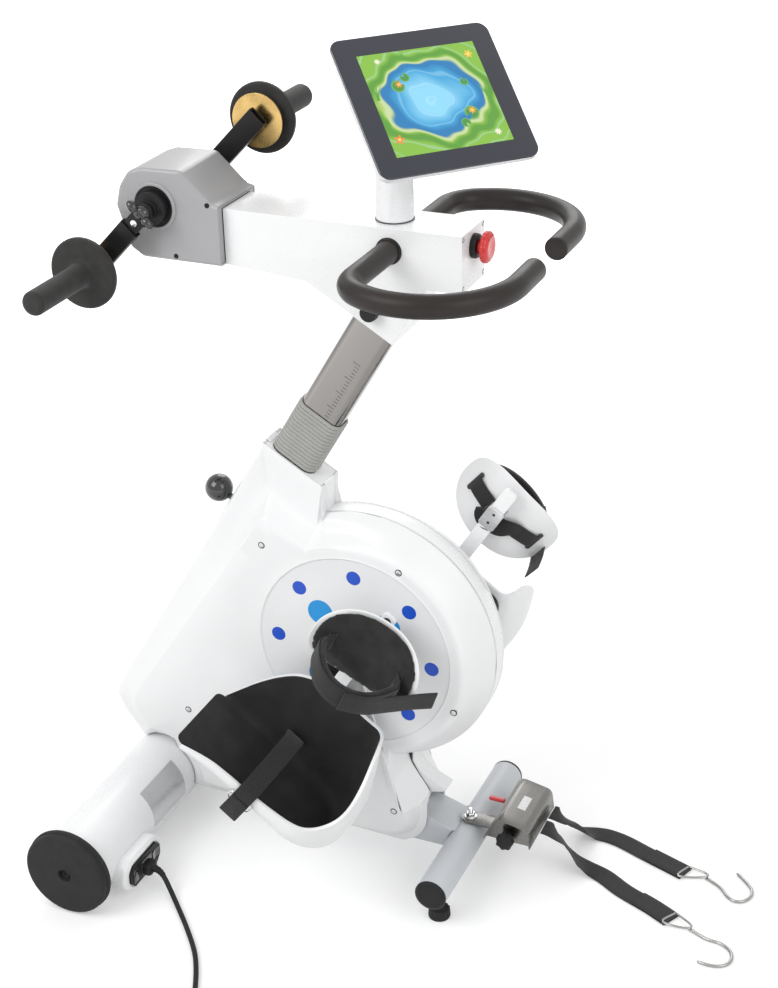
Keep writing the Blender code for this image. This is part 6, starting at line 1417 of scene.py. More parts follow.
# %% Arm shaft and bars
ARM_BAR_REACH, ARM_BAR_WIDE, ARM_BAR_THICK, ARM_BAR_Y = 0.068, 0.022, 0.007, 0.074
ARM_CRANK, ARM_SLEEVE_WIDE, ARM_SLEEVE_WALL, SLEEVE_START = 0.1075, 0.029, 0.0022, 0.031
ARM_ANGLE = math.radians(225.8)
shaft_end = ARM_BAR_Y - ARM_BAR_THICK / 2 - GAP
flange_in, flange_out = ARM_HALF_Y + RUN, shaft_end - 0.007
half_shaft = [(0.021, flange_in), (0.021, flange_out), (0.0125, flange_out), (0.0125, shaft_end - 0.001),
    (ARM_SHAFT_R, shaft_end - 0.001), (ARM_SHAFT_R, shaft_end), (0.0, shaft_end)]
half_shaft = [(ARM_SHAFT_R, flange_in)] + half_shaft
profile = [(r, -d) for r, d in half_shaft[::-1]] + half_shaft
make_piece("arm_shaft_turned", [turned(soft_profile(profile, 0.0008, 2), ARM_SPOT, Y_AXIS, 64)], black_steel,
    "arm_drive", ("arm_shaft",))


def arm_axes(sign):
    """Directions out along an arm and across it, at rest. The far arm lies half a turn on."""
    turn = ARM_ANGLE + (math.pi if sign == FAR else 0.0)
    out = np.array([math.cos(turn), 0.0, math.sin(turn)])
    return out, np.array([-out[2], 0.0, out[0]])


for side, sign in SIDES:
    out, wide = arm_axes(sign)
    outward = sign * Y_AXIS
    flat = (ARM_SPOT, out, wide, outward)
    low, high = ARM_BAR_Y - ARM_BAR_THICK / 2, ARM_BAR_Y + ARM_BAR_THICK / 2
    bar = slab(stadium((0.0, 0.0), (ARM_BAR_REACH - ARM_BAR_WIDE / 2, 0.0), ARM_BAR_WIDE / 2, 20), low, high,
        flat, 0.0012)
    hub = turned(soft_profile([(0.0, high - 0.001), (0.0098, high - 0.001), (0.0098, high + 0.005),
        (0.0072, high + 0.009), (0.0, high + 0.009)], 0.0012), ARM_SPOT, outward, 48)
    turn = np.linspace(0.0, math.pi, 21)
    ball = np.column_stack((0.0062 * np.sin(turn), -0.0086 * np.cos(turn)))
    neck = ((0.0, -0.01), (0.0044, -0.009), (0.0036, 0.006), (0.0, 0.007))
    wings = []
    for way in (-1, 1):
        wings.append(turned(ball, ARM_SPOT + way * 0.0138 * wide + (high + 0.0082) * outward, wide, 32))
        wings.append(turned(neck, ARM_SPOT + way * 0.0062 * wide + (high + 0.0062) * outward, way * wide, 20))
    make_piece("arm_flat_bar_" + side, [bar], black_steel, "arm_drive", ("arm_bar_" + side,))
    make_piece("wing_knob_" + side, [hub] + wings, gloss_black, "arm_drive")
    pin_spot = ARM_SPOT + 0.0215 * out + high * outward
    pin = [(0.0, -0.0004), (0.0044, -0.0004), (0.0044, 0.0001), (0.004, 0.0002), (0.0, 0.0002)]
    make_piece("arm_lock_pin_" + side, [turned(pin, pin_spot, outward, 32)], bright_zinc, "arm_drive")
print("arms %.4f m long from shaft to grip" % ARM_CRANK)

# %% [markdown]
# The sleeve is a rectangular tube with the grip's axle and a thin plated disc welded on. The foam
# grip turns on the axle: one profile makes its hand guard, the hollow fillet and the rounded end.

# %% Arm sleeves and hand grips
HAND_PLATE_R, HAND_PLATE_Y, HAND_PLATE_THICK = 0.035, 0.089, 0.003
HAND_DISC_R, HAND_DISC_Y, HAND_DISC_THICK = 0.0458, 0.1104, 0.01
GRIP_R, GRIP_END_Y, HAND_AXLE_R = 0.0155, 0.223, 0.006
half_y, half_w = ARM_BAR_THICK / 2 + RUN, ARM_BAR_WIDE / 2 + RUN
hub_face = ARM_BAR_Y + half_y + 0.001
axle_end = GRIP_END_Y - 0.015
guard_back = HAND_DISC_Y - HAND_DISC_THICK
plate_out = HAND_PLATE_Y + HAND_PLATE_THICK
fillet = [(GRIP_R + 0.0075 * (1 - math.sin(t)), HAND_DISC_Y + 0.0075 * (1 - math.cos(t)))
    for t in np.linspace(0.0, math.pi / 2, 8)]
for side, sign in SIDES:
    out, wide = arm_axes(sign)
    outward = sign * Y_AXIS
    tip = ARM_SPOT + ARM_CRANK * out
    outside = round_box(2 * (half_w + ARM_SLEEVE_WALL), 2 * (half_y + ARM_SLEEVE_WALL), 0.0022, 5)
    inside = round_box(2 * half_w, 2 * half_y, 0.0012, 5)
    sleeve = holed_plate(outside, inside, SLEEVE_START, ARM_CRANK + ARM_SLEEVE_WIDE / 2,
        (ARM_SPOT + ARM_BAR_Y * outward, wide, outward, out))
    hub = turned([(0.0, hub_face), (0.011, hub_face), (0.011, HAND_PLATE_Y), (HAND_AXLE_R, HAND_PLATE_Y),
        (HAND_AXLE_R, axle_end), (0.0, axle_end)], tip, outward, 48)
    make_piece("arm_square_sleeve_" + side, [sleeve, hub], black_steel, "sleeve_" + side,
        ("arm_sleeve_" + side,))
    disc_in, disc_r = HAND_PLATE_Y + 0.0001, HAND_AXLE_R + 0.0002
    disc = [(disc_r, disc_in), (HAND_PLATE_R, disc_in), (HAND_PLATE_R, plate_out), (disc_r, plate_out),
        (disc_r, disc_in)]
    make_piece("plated_disc_" + side, [turned(soft_profile(disc, 0.0005, 2), tip, outward, 96)], yellow_zinc,
        "sleeve_" + side)
    bore = HAND_AXLE_R + RUN
    foam = [(0.0, axle_end + RUN), (bore, axle_end + RUN), (bore, plate_out + RUN), (0.03, plate_out + RUN),
        (0.03, guard_back), (HAND_DISC_R - 0.0022, guard_back), (HAND_DISC_R, guard_back + 0.0022),
        (HAND_DISC_R, HAND_DISC_Y - 0.0022), (HAND_DISC_R - 0.0022, HAND_DISC_Y)] + fillet
    foam += [(GRIP_R, GRIP_END_Y - 0.0052), (GRIP_R - 0.0016, GRIP_END_Y - 0.0016),
        (0.0118, GRIP_END_Y - 0.0012), (0.0108, GRIP_END_Y), (0.0, GRIP_END_Y)]
    make_piece("foam_grip_" + side, [turned(soft_profile(foam, 0.0012, 3), tip, outward, 96)], grip_foam,
        "grip_" + side, ("hand_grip_" + side,), crease=40.0)
print("two foam grips, guard %.4f m across" % (2 * HAND_DISC_R))

# %% [markdown]
# Each handlebar is a tube with a rubber sleeve: straight out of the head, round a small arc and a
# larger one, and straight back to its tip. The end is domed by shrinking the last few sections.

# %% Handlebars
BAR_R, BAR_Z, BAR_START_X = 0.01425, 0.904, 0.007
BAR_FIRST_R, BAR_SECOND_R, BAR_OUT, BAR_TIP_Y = 0.05, 0.105, 0.138, 0.036
BAR_FIRST_TURN, BAR_SECOND_TURN = math.radians(60.0), math.radians(120.0)


def handlebar_path():
    """(x, y) points of the far bar's middle line."""
    first = np.array([BAR_START_X + BAR_FIRST_R, BAR_OUT])
    bend = math.pi - BAR_FIRST_TURN
    joint = first + BAR_FIRST_R * np.array([math.cos(bend), math.sin(bend)])
    second = joint - BAR_SECOND_R * np.array([math.cos(bend), math.sin(bend)])
    last = arc(second, BAR_SECOND_R, bend, bend - BAR_SECOND_TURN, 60)
    tip = np.array([last[-1][0], BAR_TIP_Y])
    dome = np.sqrt(np.linspace(0.0, 1.0, 7)[1:])
    straight_run = [last[-1] + (tip - last[-1]) * share for share in (0.3, 0.6, 0.85)]
    ends = [tip + (0.0, 0.0035 * (1 - share)) for share in dome]
    return np.vstack(([(BAR_START_X, HEAD_HALF_Y + GAP), (BAR_START_X, 0.06), (BAR_START_X, 0.09),
        (BAR_START_X, 0.115)], arc(first, BAR_FIRST_R, math.pi, bend, 26), last[1:], straight_run, ends))


for side, sign in SIDES:
    flat = handlebar_path()
    path = np.column_stack((flat[:, 0], sign * flat[:, 1], np.full(len(flat), BAR_Z)))
    scale = np.ones(len(path))
    scale[-6:] = np.sqrt(1.0 - (0.62 * np.linspace(0.0, 1.0, 6)) ** 2)
    bar = swept(path, circle(BAR_R, 36), Z_AXIS, scale)
    make_piece("handlebar_sleeve_" + side, [bar], bar_rubber, "head", ("handlebar_" + side,))
    rows = [(BAR_R + 0.0003, 0.0001), (BAR_R + 0.0026, 0.0001), (BAR_R + 0.0022, 0.0022),
        (BAR_R + 0.0003, 0.003), (BAR_R + 0.0003, 0.0001)]
    collar = turned(rows, (BAR_START_X, sign * HEAD_HALF_Y, BAR_Z), sign * Y_AXIS)
    make_piece("handlebar_collar_" + side, [collar], black_plastic, "head")
print("handlebars: two bends of %.3f and %.3f m" % (BAR_FIRST_R, BAR_SECOND_R))

# %% [markdown]
# The display's pole is a painted tube, and a thin dark ring of painted shade at its foot stands
# for the shadow in the seam where it turns on the head. The display is a thin tablet: a dark glass
# front with rounded rims, a white back shell that draws in, and a hinge barrel with its web at the back.

# %% Pole and display
POLE_R, POLE_WALL, POLE_TOP = 0.023, 0.0025, 1.036
SCREEN_WIDE, SCREEN_HIGH, SCREEN_CORNER = 0.203, 0.187, 0.014
GLASS_EDGE, SHELL_DEEP = 0.0024, 0.024
HINGE_Z, HINGE_R, HINGE_LONG = 1.056, 0.009, 0.04
SCREEN_YAW, SCREEN_TILT = math.radians(49.2), math.radians(47.9)
pole_base = HEAD_HIGH + GAP
pole_bore = POLE_R - POLE_WALL
stub = HINGE_Z - HINGE_R - RUN
pole_rows = [(0.0, POLE_TOP - 0.006), (pole_bore, POLE_TOP - 0.008), (pole_bore, pole_base),
    (POLE_R, pole_base), (POLE_R, POLE_TOP), (HINGE_R, POLE_TOP), (HINGE_R, stub), (0.0, stub)]
make_piece("pole_tube", [turned(soft_profile(pole_rows, 0.003), ORIGIN, Z_AXIS, 72)], white_paint, "pole",
    ("display_pole",))
# A thin ring of painted shade stands for the shadow in the seam at the pole's foot.
seam_shade_ring = [(POLE_R + 0.0001, 0.0002), (POLE_R + 0.0007, 0.0002), (POLE_R + 0.0007, 0.0014),
    (POLE_R + 0.0001, 0.0014), (POLE_R + 0.0001, 0.0002)]
make_piece("pole_seam_shade_ring", [turned(seam_shade_ring, (0.0, 0.0, pole_base), Z_AXIS, 72)], painted_shade, "pole")
tilt_dir = np.array([math.cos(SCREEN_YAW), math.sin(SCREEN_YAW), 0.0])
screen_out = np.array([math.cos(SCREEN_TILT) * math.sin(SCREEN_YAW),
    -math.cos(SCREEN_TILT) * math.cos(SCREEN_YAW), math.sin(SCREEN_TILT)])
screen_up = np.cross(screen_out, tilt_dir)
screen_middle = np.array([0.056, -0.006, 1.083])
screen_axes = (screen_middle, tilt_dir, screen_up, -screen_out)
hinge = np.array([0.0, 0.0, HINGE_Z])


def tablet(levels):
    """Rounded rectangles behind each other: each level is (depth, inset)."""
    return skin([place(round_box(SCREEN_WIDE - 2 * inset, SCREEN_HIGH - 2 * inset,
        max(SCREEN_CORNER - inset, 0.006), 10), depth, screen_axes) for depth, inset in levels])


glass = tablet(((0.0, 0.0016), (0.0002, 0.0007), (0.0008, 0.0001), (0.0016, 0.0), (GLASS_EDGE, 0.0)))
make_piece("display_glass", [glass], display_navy, "screen", ("display",))
shell = tablet(((GLASS_EDGE + 0.0001, -0.0002), (0.0085, 0.0), (0.011, 0.0012), (0.0145, 0.0038),
    (0.018, 0.0074), (0.0212, 0.012), (SHELL_DEEP, 0.019)))
barrel = turned(soft_profile([(0.0, -HINGE_LONG / 2), (HINGE_R, -HINGE_LONG / 2), (HINGE_R, HINGE_LONG / 2),
    (0.0, HINGE_LONG / 2)], 0.001), hinge, tilt_dir, 40)
gap = float(np.dot(screen_middle - SHELL_DEEP * screen_out - hinge, screen_out))
web_outline = [(0.0, -0.006), (gap + 0.003, -0.01), (gap + 0.003, 0.01), (0.0, 0.006)]
web = slab(web_outline, -HINGE_LONG / 2 + 0.004, HINGE_LONG / 2 - 0.004,
    (hinge, screen_out, screen_up, tilt_dir), 0.0008)
make_piece("display_back_shell", [shell, barrel, web], white_cover, "screen")
print("display %.3f x %.3f m on its pole" % (SCREEN_WIDE, SCREEN_HIGH))

# %% [markdown]
# The lit picture is worked out point by point and stored as a colour on a fine grid: a pond seen
# from above. Distance from a few middles, bent by slow waves, gives the banks and the rings of
# water. Round pads, blooms and grass tufts are discs, petals and thin wedges put on top.

# %% Picture on the display
PICTURE_WIDE, PICTURE_HIGH = 0.149, 0.137
columns, lines = 240, 221
u, v = np.meshgrid(np.linspace(-1.0, 1.0, columns), np.linspace(-0.92, 0.92, lines))


def mix(under, over, share):
    """Over laid on under, by a share from 0 to 1 at each point."""
    return under + (np.array(over) - under) * np.clip(share, 0.0, 1.0)[..., None]


def inside(distance, edge, soft=0.012):
    """1 inside the edge, 0 outside, with a soft step between."""
    return np.clip((edge - distance) / soft + 0.5, 0.0, 1.0)


def bloom(picture, x, y, size, colour, petals):
    """Petals round a pale middle: the rim's radius waves with the angle."""
    away, angle = np.hypot(u - x, v - y), np.arctan2(v - y, u - x)
    picture = mix(picture, colour, inside(away, size * (0.72 + 0.28 * np.cos(petals * angle))))
    return mix(picture, (1.0, 0.8, 0.25), inside(away, 0.26 * size))


def pad(picture, x, y, size, notch):
    """A round leaf with a notch and a lighter rim."""
    away = np.hypot(u - x, v - y)
    turn = np.abs((np.arctan2(v - y, u - x) - notch + math.pi) % (2 * math.pi) - math.pi)
    leaf = inside(away, size) * np.clip((turn - 0.3) / 0.06, 0.0, 1.0)
    picture = mix(picture, (0.16, 0.42, 0.08), leaf)
    return mix(picture, (0.07, 0.29, 0.06), leaf * inside(away, 0.8 * size))


def tuft(picture, x, y, size, lean):
    """Three blades of grass: wedges that narrow upwards."""
    for blade in (-1, 0, 1):
        up_share = np.clip((v - y) / size, 0.0, 1.0)
        middle = x + (lean + 0.28 * blade) * size * up_share ** 1.5
        wide = 0.1 * size * (1.0 - up_share)
        tall = (v > y) & (v < y + size)
        picture = mix(picture, (0.1, 0.36, 0.04), inside(np.abs(u - middle), wide, 0.02) * tall)
    return picture


waves = 0.05 * np.sin(7 * u + 2 * v) + 0.04 * np.sin(9 * v - 3 * u) + 0.025 * np.cos(15 * u + 11 * v)
shore = np.hypot(u * 0.98 + 0.04, v * 1.22 - 0.02) + waves
picture = np.zeros(u.shape + (3,)) + (0.24, 0.5, 0.06)
picture = mix(picture, (0.11, 0.33, 0.04), inside(np.abs(shore - 0.98), 0.07, 0.06))
picture = mix(picture, (0.52, 0.62, 0.2), inside(shore, 0.88, 0.03))
picture = mix(picture, (0.02, 0.2, 0.46), inside(shore, 0.82, 0.03))
picture = mix(picture, (0.05, 0.36, 0.66), inside(shore, 0.66, 0.12))
picture = mix(picture, (0.27, 0.66, 0.88), inside(shore, 0.42, 0.3))
picture = mix(picture, (0.62, 0.88, 0.97), 0.3 * np.clip(np.sin(24 * shore) - 0.82, 0.0, 1.0) * 4)
for x, y, size, notch in ((-0.52, 0.3, 0.11, 0.6), (-0.36, 0.44, 0.08, 2.1), (0.5, -0.34, 0.12, 3.9),
        (0.34, -0.5, 0.08, 5.2), (0.58, 0.22, 0.07, 1.2)):
    picture = pad(picture, x, y, size, notch)
for x, y, size, colour, petals in ((-0.5, 0.33, 0.06, (0.95, 0.3, 0.03), 6),
        (0.52, -0.3, 0.065, (0.98, 0.42, 0.05), 7), (-0.84, -0.62, 0.085, (0.93, 0.24, 0.04), 5),
        (0.84, 0.7, 0.075, (0.97, 0.55, 0.08), 6), (-0.7, 0.78, 0.05, (0.95, 0.88, 0.8), 8),
        (0.8, -0.74, 0.06, (0.95, 0.88, 0.8), 8)):
    picture = bloom(picture, x, y, size, colour, petals)
for x, y, size, lean in ((-0.92, 0.1, 0.26, 0.2), (-0.9, -0.38, 0.2, -0.3), (0.88, -0.1, 0.24, -0.2),
        (0.4, 0.76, 0.15, 0.3), (-0.25, 0.78, 0.13, -0.2), (0.05, -0.9, 0.15, 0.1)):
    picture = tuft(picture, x, y, size, lean)
flat = np.column_stack((u.ravel() * PICTURE_WIDE / 2, v.ravel() / 0.92 * PICTURE_HIGH / 2))
grid = place(flat, -0.00012, screen_axes).reshape(lines, columns, 3)
lit = make_piece("display_picture", [skin(grid, ring=False)], lit_picture, "screen",
    flip=False)
if lit.data.polygons[0].normal.dot(Vector(screen_out)) < 0:
    lit.data.flip_normals()
colours = np.column_stack((picture.reshape(-1, 3), np.ones(columns * lines)))
lit.data.color_attributes.new("picture", "FLOAT_COLOR", "POINT")
lit.data.color_attributes["picture"].data.foreach_set("color", colours.astype(np.float32).ravel())
print("picture: %d x %d points" % (columns, lines))

# %% [markdown]
# The chromed mast slides in the neck. Its near side carries a bare scale, a row of fine ticks with
# every fifth one longer. The rubber sleeve has fifteen round ribs: along each the section grows by
# the root of a sine, so the valleys between them stay sharp.

# %% Mast, ribbed sleeve and pull knob
MAST_WALL, MAST_IN_COLLAR, MAST_BELOW = 0.0025, 0.03, 0.15
mast_top, mast_low = collar_along + MAST_IN_COLLAR, -NECK_TOP - MAST_BELOW


def mast_rings(levels):
    """Sections across the mast, each at (distance up the mast, growth)."""
    return [place(mast_outline(grow), 0.0, mast_frame(along)) for along, grow in levels]


tube_levels = ((mast_low, 0.0), (mast_low + 0.06, 0.0), (mast_top, 0.0), (mast_top, -MAST_WALL),
    (mast_low, -MAST_WALL))
make_piece("mast_tube", [skin(mast_rings(tube_levels), tube=True)], chrome, "head", ("mast",))
ticks = []
for k in range(20):
    reach = 0.011 if k % 5 == 0 else 0.006
    along = np.dot(np.array([-0.0434, 0.7414]) - MAST_POINT, MAST_DIR) - 0.005 * k
    (x, y, z), across, _, up_mast = mast_frame(along)
    spot = (x, -MAST_WIDE / 2 - 0.00002, z)
    ticks.append(slab([(0.013 - reach, -0.0003), (0.013, -0.0003), (0.013, 0.0003), (0.013 - reach, 0.0003)],
        0.0, 0.00006, (spot, across, up_mast, -Y_AXIS), 0.00001, 1))
make_piece("mast_scale_ticks", ticks, black_plastic, "head")
SLEEVE_RIBS, RIB_OUT, RIB_IN, RIB_STEPS = 15, 0.0036, 0.0016, 8
low, high = -NECK_TOP + GAP, 0.0
pitch = (high - low) / SLEEVE_RIBS
ribs = [(low + (rib + step / RIB_STEPS) * pitch, RIB_IN
    + (RIB_OUT - RIB_IN) * math.sqrt(math.sin(math.pi * step / RIB_STEPS))) for rib in range(SLEEVE_RIBS)
    for step in range(RIB_STEPS)]
levels = [(low, RUN)] + ribs + [(high, RIB_IN), (high, RUN), (low, RUN)]
make_piece("ribbed_rubber_sleeve", [skin(mast_rings(levels), tube=True)], sleeve_rubber, FRAME,
    ("mast_sleeve",), crease=75.0)
KNOB_R, KNOB_OUT, KNOB_STEM_R = 0.019, 0.0236, 0.0045
edge_x, edge_z = side_point(-KNOB_DOWN, -NECK_FRONT)
inside = -(NECK_FRONT - MAST_LONG / 2 - 0.0004)
stem_turn = math.pi - math.asin(KNOB_STEM_R / KNOB_R)
ball = [(KNOB_R * math.sin(t), KNOB_OUT + KNOB_R * math.cos(t)) for t in np.linspace(stem_turn, 0.0, 36)]
make_piece("pull_knob_ball", [turned([(0.0, inside), (KNOB_STEM_R, inside)] + ball, (edge_x, 0.0, edge_z),
    (-MAST_ACROSS[0], 0.0, -MAST_ACROSS[1]), 64)], gloss_black, "knob", ("height_knob",))
print("mast %.3f m long, %d ribs on the sleeve" % (mast_top - mast_low, SLEEVE_RIBS))

# %% [markdown]
# The leg cranks are steel bars half a turn apart, with the pedal axle at their ends. On each axle
# turns a black plate that carries the foot shell and, on its inner side, a flat white bar that
# rises beside the calf.

# %% Leg cranks and brackets
LEG_CRANK, LEG_ANGLE = 0.077, math.radians(229.0)
CRANK_THICK, CRANK_WIDE, CRANK_FACE, SHAFT_R = 0.011, 0.028, 0.064, 0.0085
AIR, CALF_BAR_THICK, BAR_FUSE = 0.002, 0.0055, 0.001
PEDAL_PLATE_THICK, SHELL_WALL, SHELL_SPACER, PLATE_WIDE = 0.01, 0.0045, 0.0035, 0.044
SOLE_PITCH = math.radians(38.0)
PEDAL_S, PEDAL_N = 0.08, 0.1
CALF_TILT = math.radians(33.0)
CALF_BAR_WIDE, CALF_OFFSET, CALF_LOW, CALF_HIGH = 0.02, 0.022, 0.018, 0.182
SHELL_INNER = (CRANK_FACE + CRANK_THICK + AIR + CALF_BAR_THICK - BAR_FUSE + PEDAL_PLATE_THICK + GAP
    + SHELL_WALL + SHELL_SPACER)
BRACKET_INNER = SHELL_INNER - SHELL_WALL - GAP - PEDAL_PLATE_THICK
SOLE_ALONG = np.array([math.cos(SOLE_PITCH), 0.0, -math.sin(SOLE_PITCH)])
SOLE_ABOVE = np.array([math.sin(SOLE_PITCH), 0.0, math.cos(SOLE_PITCH)])
CALF_UP = np.array([math.sin(CALF_TILT), 0.0, math.cos(CALF_TILT)])
CALF_RIGHT = np.array([CALF_UP[2], 0.0, -CALF_UP[0]])


def leg_axle(sign):
    """Pedal axle at rest. The far crank points the other way."""
    turn = LEG_ANGLE + (math.pi if sign == FAR else 0.0)
    return np.array([CRANK[0] + LEG_CRANK * math.cos(turn), 0.0, CRANK[1] + LEG_CRANK * math.sin(turn)])


def sole_point(axle, s, n, y):
    """A point given along the sole, above it, and across the trainer."""
    return axle + (s - PEDAL_S) * SOLE_ALONG + (n - PEDAL_N) * SOLE_ABOVE + y * Y_AXIS


bolt = [(0.0, 0.0001), (0.0078, 0.0001), (0.0078, 0.0008), (0.0066, 0.0014), (0.0, 0.0016)]
shell_back = SHELL_INNER - SHELL_WALL - RUN
bar_top = BRACKET_INNER + BAR_FUSE
bar_long = CALF_HIGH - CALF_LOW
cap = [(0.0, bar_top), (0.0058, bar_top), (0.0058, bar_top + 0.0022), (0.0046, bar_top + 0.0032),
    (0.0, bar_top + 0.0034)]
for side, sign in SIDES:
    axle = leg_axle(sign)
    outward = sign * Y_AXIS
    flat = (ORIGIN, X_AXIS, Z_AXIS, outward)
    body = "pedal_" + side
    bar = slab(stadium(CRANK, axle[[0, 2]], CRANK_WIDE / 2, 24), CRANK_FACE, CRANK_FACE + CRANK_THICK, flat,
        0.0015)
    pin = turned([(0.0, CRANK_FACE + 0.002), (SHAFT_R, CRANK_FACE + 0.002), (SHAFT_R, shell_back - 0.0008),
        (SHAFT_R - 0.0008, shell_back), (0.0, shell_back)], axle, outward, 40)
    make_piece("leg_crank_arm_" + side, [bar, pin], black_steel, "leg_drive",
        ("leg_crank_" + side,))
    hub = (CRANK[0], sign * (CRANK_FACE + CRANK_THICK), CRANK[1])
    make_piece("crank_bolt_" + side, [turned(bolt, hub, outward, 6)], bright_zinc, "leg_drive")
    first = sole_point(axle, PEDAL_S - 0.004, PEDAL_N, 0.0)[[0, 2]]
    last = sole_point(axle, 0.165, 0.112, 0.0)[[0, 2]]
    plate = slab(stadium(first, last, PLATE_WIDE / 2, 24), BRACKET_INNER, BRACKET_INNER + PEDAL_PLATE_THICK,
        flat, 0.0018)
    plate = make_piece("pedal_plate_" + side, [plate], black_plastic, body,
        ("pedal_bracket_" + side,))
    cut_holes(plate, [(axle + BRACKET_INNER * outward, Y_AXIS, SHAFT_R + RUN, 0.05)])
    plate.data.set_sharp_from_angle(angle=math.radians(40.0))
    middle = axle + CALF_OFFSET * CALF_RIGHT + (CALF_LOW + CALF_HIGH) / 2 * CALF_UP
    calf_bar = slab(round_box(CALF_BAR_WIDE, bar_long, 0.006, 8), bar_top - CALF_BAR_THICK, bar_top,
        (middle, CALF_RIGHT, CALF_UP, outward), 0.001)
    make_piece("calf_flat_bar_" + side, [calf_bar], white_paint, body)
    stop = turned(cap, middle + (bar_long / 2 - 0.0105) * CALF_UP, outward, 36)
    make_piece("calf_bar_stop_" + side, [stop], black_plastic, body)
print("leg cranks of %.3f m, calf bars of %.3f m" % (LEG_CRANK, bar_long))

# %% [markdown]
# A foot shell is a moulded boot half: round at the heel, open at the toes, high on the inner side
# and low on the outer. Its surface runs from the sole's middle line, round a fillet and up the wall
# to the rim, whose height changes smoothly round the footprint. It has a white wall outside and a
# dark liner inside, and a mat with round corners stands out under the toes.

# %% Foot shells
SHELL_WIDE, SHELL_LONG, SOLE_FILLET = 0.1255, 0.237, 0.018
RIM_SIDES = ((0.0, 0.005, 0.005), (0.021, 0.064, 0.013), (0.0445, 0.108, 0.02), (0.0695, 0.13, 0.0228),
    (0.11, 0.139, 0.025), (0.145, 0.141, 0.029))
RIM_HEEL = (0.142, 0.145, 0.149, 0.149, 0.138, 0.112, 0.071, 0.044, 0.034)
RIM_POINTS = 150
HEEL_LEAN, HEEL_LEAN_FROM, LEAN_BLEND = 0.6, 0.08, 0.03
SHELL_RADIUS = SHELL_WIDE / 2
SHELL_MIDDLE = SHELL_INNER + SHELL_RADIUS
HEEL_CENTRE = SHELL_LONG - SHELL_WALL - SHELL_RADIUS


def smooth_through(x, given_x, given_y):
    """A cubic through given points, with each slope the mean slope of its two neighbours."""
    given_x, given_y = np.asarray(given_x, float), np.asarray(given_y, float)
    slope = np.gradient(given_y, given_x)
    k = np.clip(np.searchsorted(given_x, x, side="right") - 1, 0, len(given_x) - 2)
    span = given_x[k + 1] - given_x[k]
    t = (x - given_x[k]) / span
    return hermite(t, given_y[k], given_y[k + 1], span * slope[k], span * slope[k + 1])


def rim_stations():
    """Round the footprint at even lengths: (centre s, along s, across y, heel share, rim height)."""
    side_s = np.array([row[0] for row in RIM_SIDES])
    heel_turn = np.linspace(0.0, math.pi, len(RIM_HEEL))
    side_long = side_s[-1]
    neck = HEEL_CENTRE - side_long
    heel_long = math.pi * SHELL_RADIUS
    length = np.concatenate((side_s, side_long + neck * 0.999 + heel_turn / math.pi * heel_long,
        2 * side_long + 2 * neck + heel_long - side_s[::-1]))
    height = np.concatenate(([row[1] for row in RIM_SIDES], RIM_HEEL, [row[2] for row in RIM_SIDES][::-1]))
    walk = np.linspace(0.0, length[-1], RIM_POINTS)
    rim = smooth_through(walk, length, height)
    turn = np.clip((walk - side_long - neck) / heel_long, 0.0, 1.0) * math.pi - math.pi / 2
    straight_s = np.where(walk < length[-1] / 2, walk, length[-1] - walk)
    centre = np.minimum(straight_s, HEEL_CENTRE)
    return np.column_stack((centre, np.cos(turn), np.sin(turn), np.clip(np.cos(turn), 0.0, 1.0), rim))


def soft_ramp(x):
    """Close to 0 below zero and to x above it, with a smooth turn between: half of x plus the root
    of x squared plus LEAN_BLEND squared."""
    return 0.5 * (x + np.sqrt(x * x + LEAN_BLEND * LEAN_BLEND))


def shell_rows(axle, sign, grow=0.0, rim_down=0.0):
    """Rows from the sole's middle line to the rim. grow moves the surface into the shell."""
    centre, out_s, out_y, heel, height = rim_stations().T
    height = np.maximum(height - rim_down, 0.003)
    fillet = np.minimum(SOLE_FILLET, 0.75 * height)
    level = 0.0 * height
    rows = [(level, grow + level), (0.5 * (SHELL_RADIUS - fillet), grow + level)]
    rows += [(SHELL_RADIUS - fillet + (fillet - grow) * math.sin(t), fillet - (fillet - grow) * math.cos(t))
        for t in np.linspace(0.0, math.pi / 2, 9)]
    rows += [(SHELL_RADIUS - grow + level, fillet + (height - fillet) * share)
        for share in np.linspace(0.0, 1.0, 14)[1:]]
    grid = []
    for reach, n in rows:
        lean = HEEL_LEAN * heel * (soft_ramp(n - HEEL_LEAN_FROM) - soft_ramp(-HEEL_LEAN_FROM))
        s = centre + reach * out_s - lean
        y = sign * (SHELL_MIDDLE + reach * out_y)
        grid.append(sole_point(axle, s[:, None], n[:, None], y[:, None]))
    return np.array(grid)


def sheet_facing(name, rows, finish, body, replaces, sign):
    """An open sheet whose faces are turned to look into the shell."""
    piece = make_piece(name, [skin(rows, ring=False)], finish, body, replaces, crease=60.0, flip=False)
    lowest = min(piece.data.polygons, key=lambda p: abs(p.center.y - sign * SHELL_MIDDLE))
    if lowest.normal.dot(Vector(SOLE_ABOVE)) < 0:
        piece.data.flip_normals()
    return piece


MAT_OUT, MAT_IN, MAT_THICK, LINER_THICK = 0.0115, 0.11, 0.0016, 0.0012
mat = round_box(MAT_OUT + MAT_IN, SHELL_WIDE - 0.006, 0.011, 10) + ((MAT_IN - MAT_OUT) / 2, 0.0)
for side, sign in SIDES:
    axle = leg_axle(sign)
    body = "pedal_" + side
    outside = sheet_facing("foot_shell_wall_" + side, shell_rows(axle, sign), white_shell, body,
        ("foot_shell_" + side,), sign)
    thicken(outside, SHELL_WALL, 0.0009)
    liner = sheet_facing("foot_shell_liner_" + side, shell_rows(axle, sign, 0.0014, 0.0016), shell_liner,
        body, (), sign)
    thicken(liner, LINER_THICK)
    axes = (sole_point(axle, 0.0, 0.0, sign * SHELL_MIDDLE), SOLE_ALONG, Y_AXIS, SOLE_ABOVE)
    make_piece("toe_mat_" + side, [slab(mat, 0.0016, 0.0016 + MAT_THICK, axes, 0.0006)], shell_liner, body)
print("foot shells %.3f m long" % SHELL_LONG)

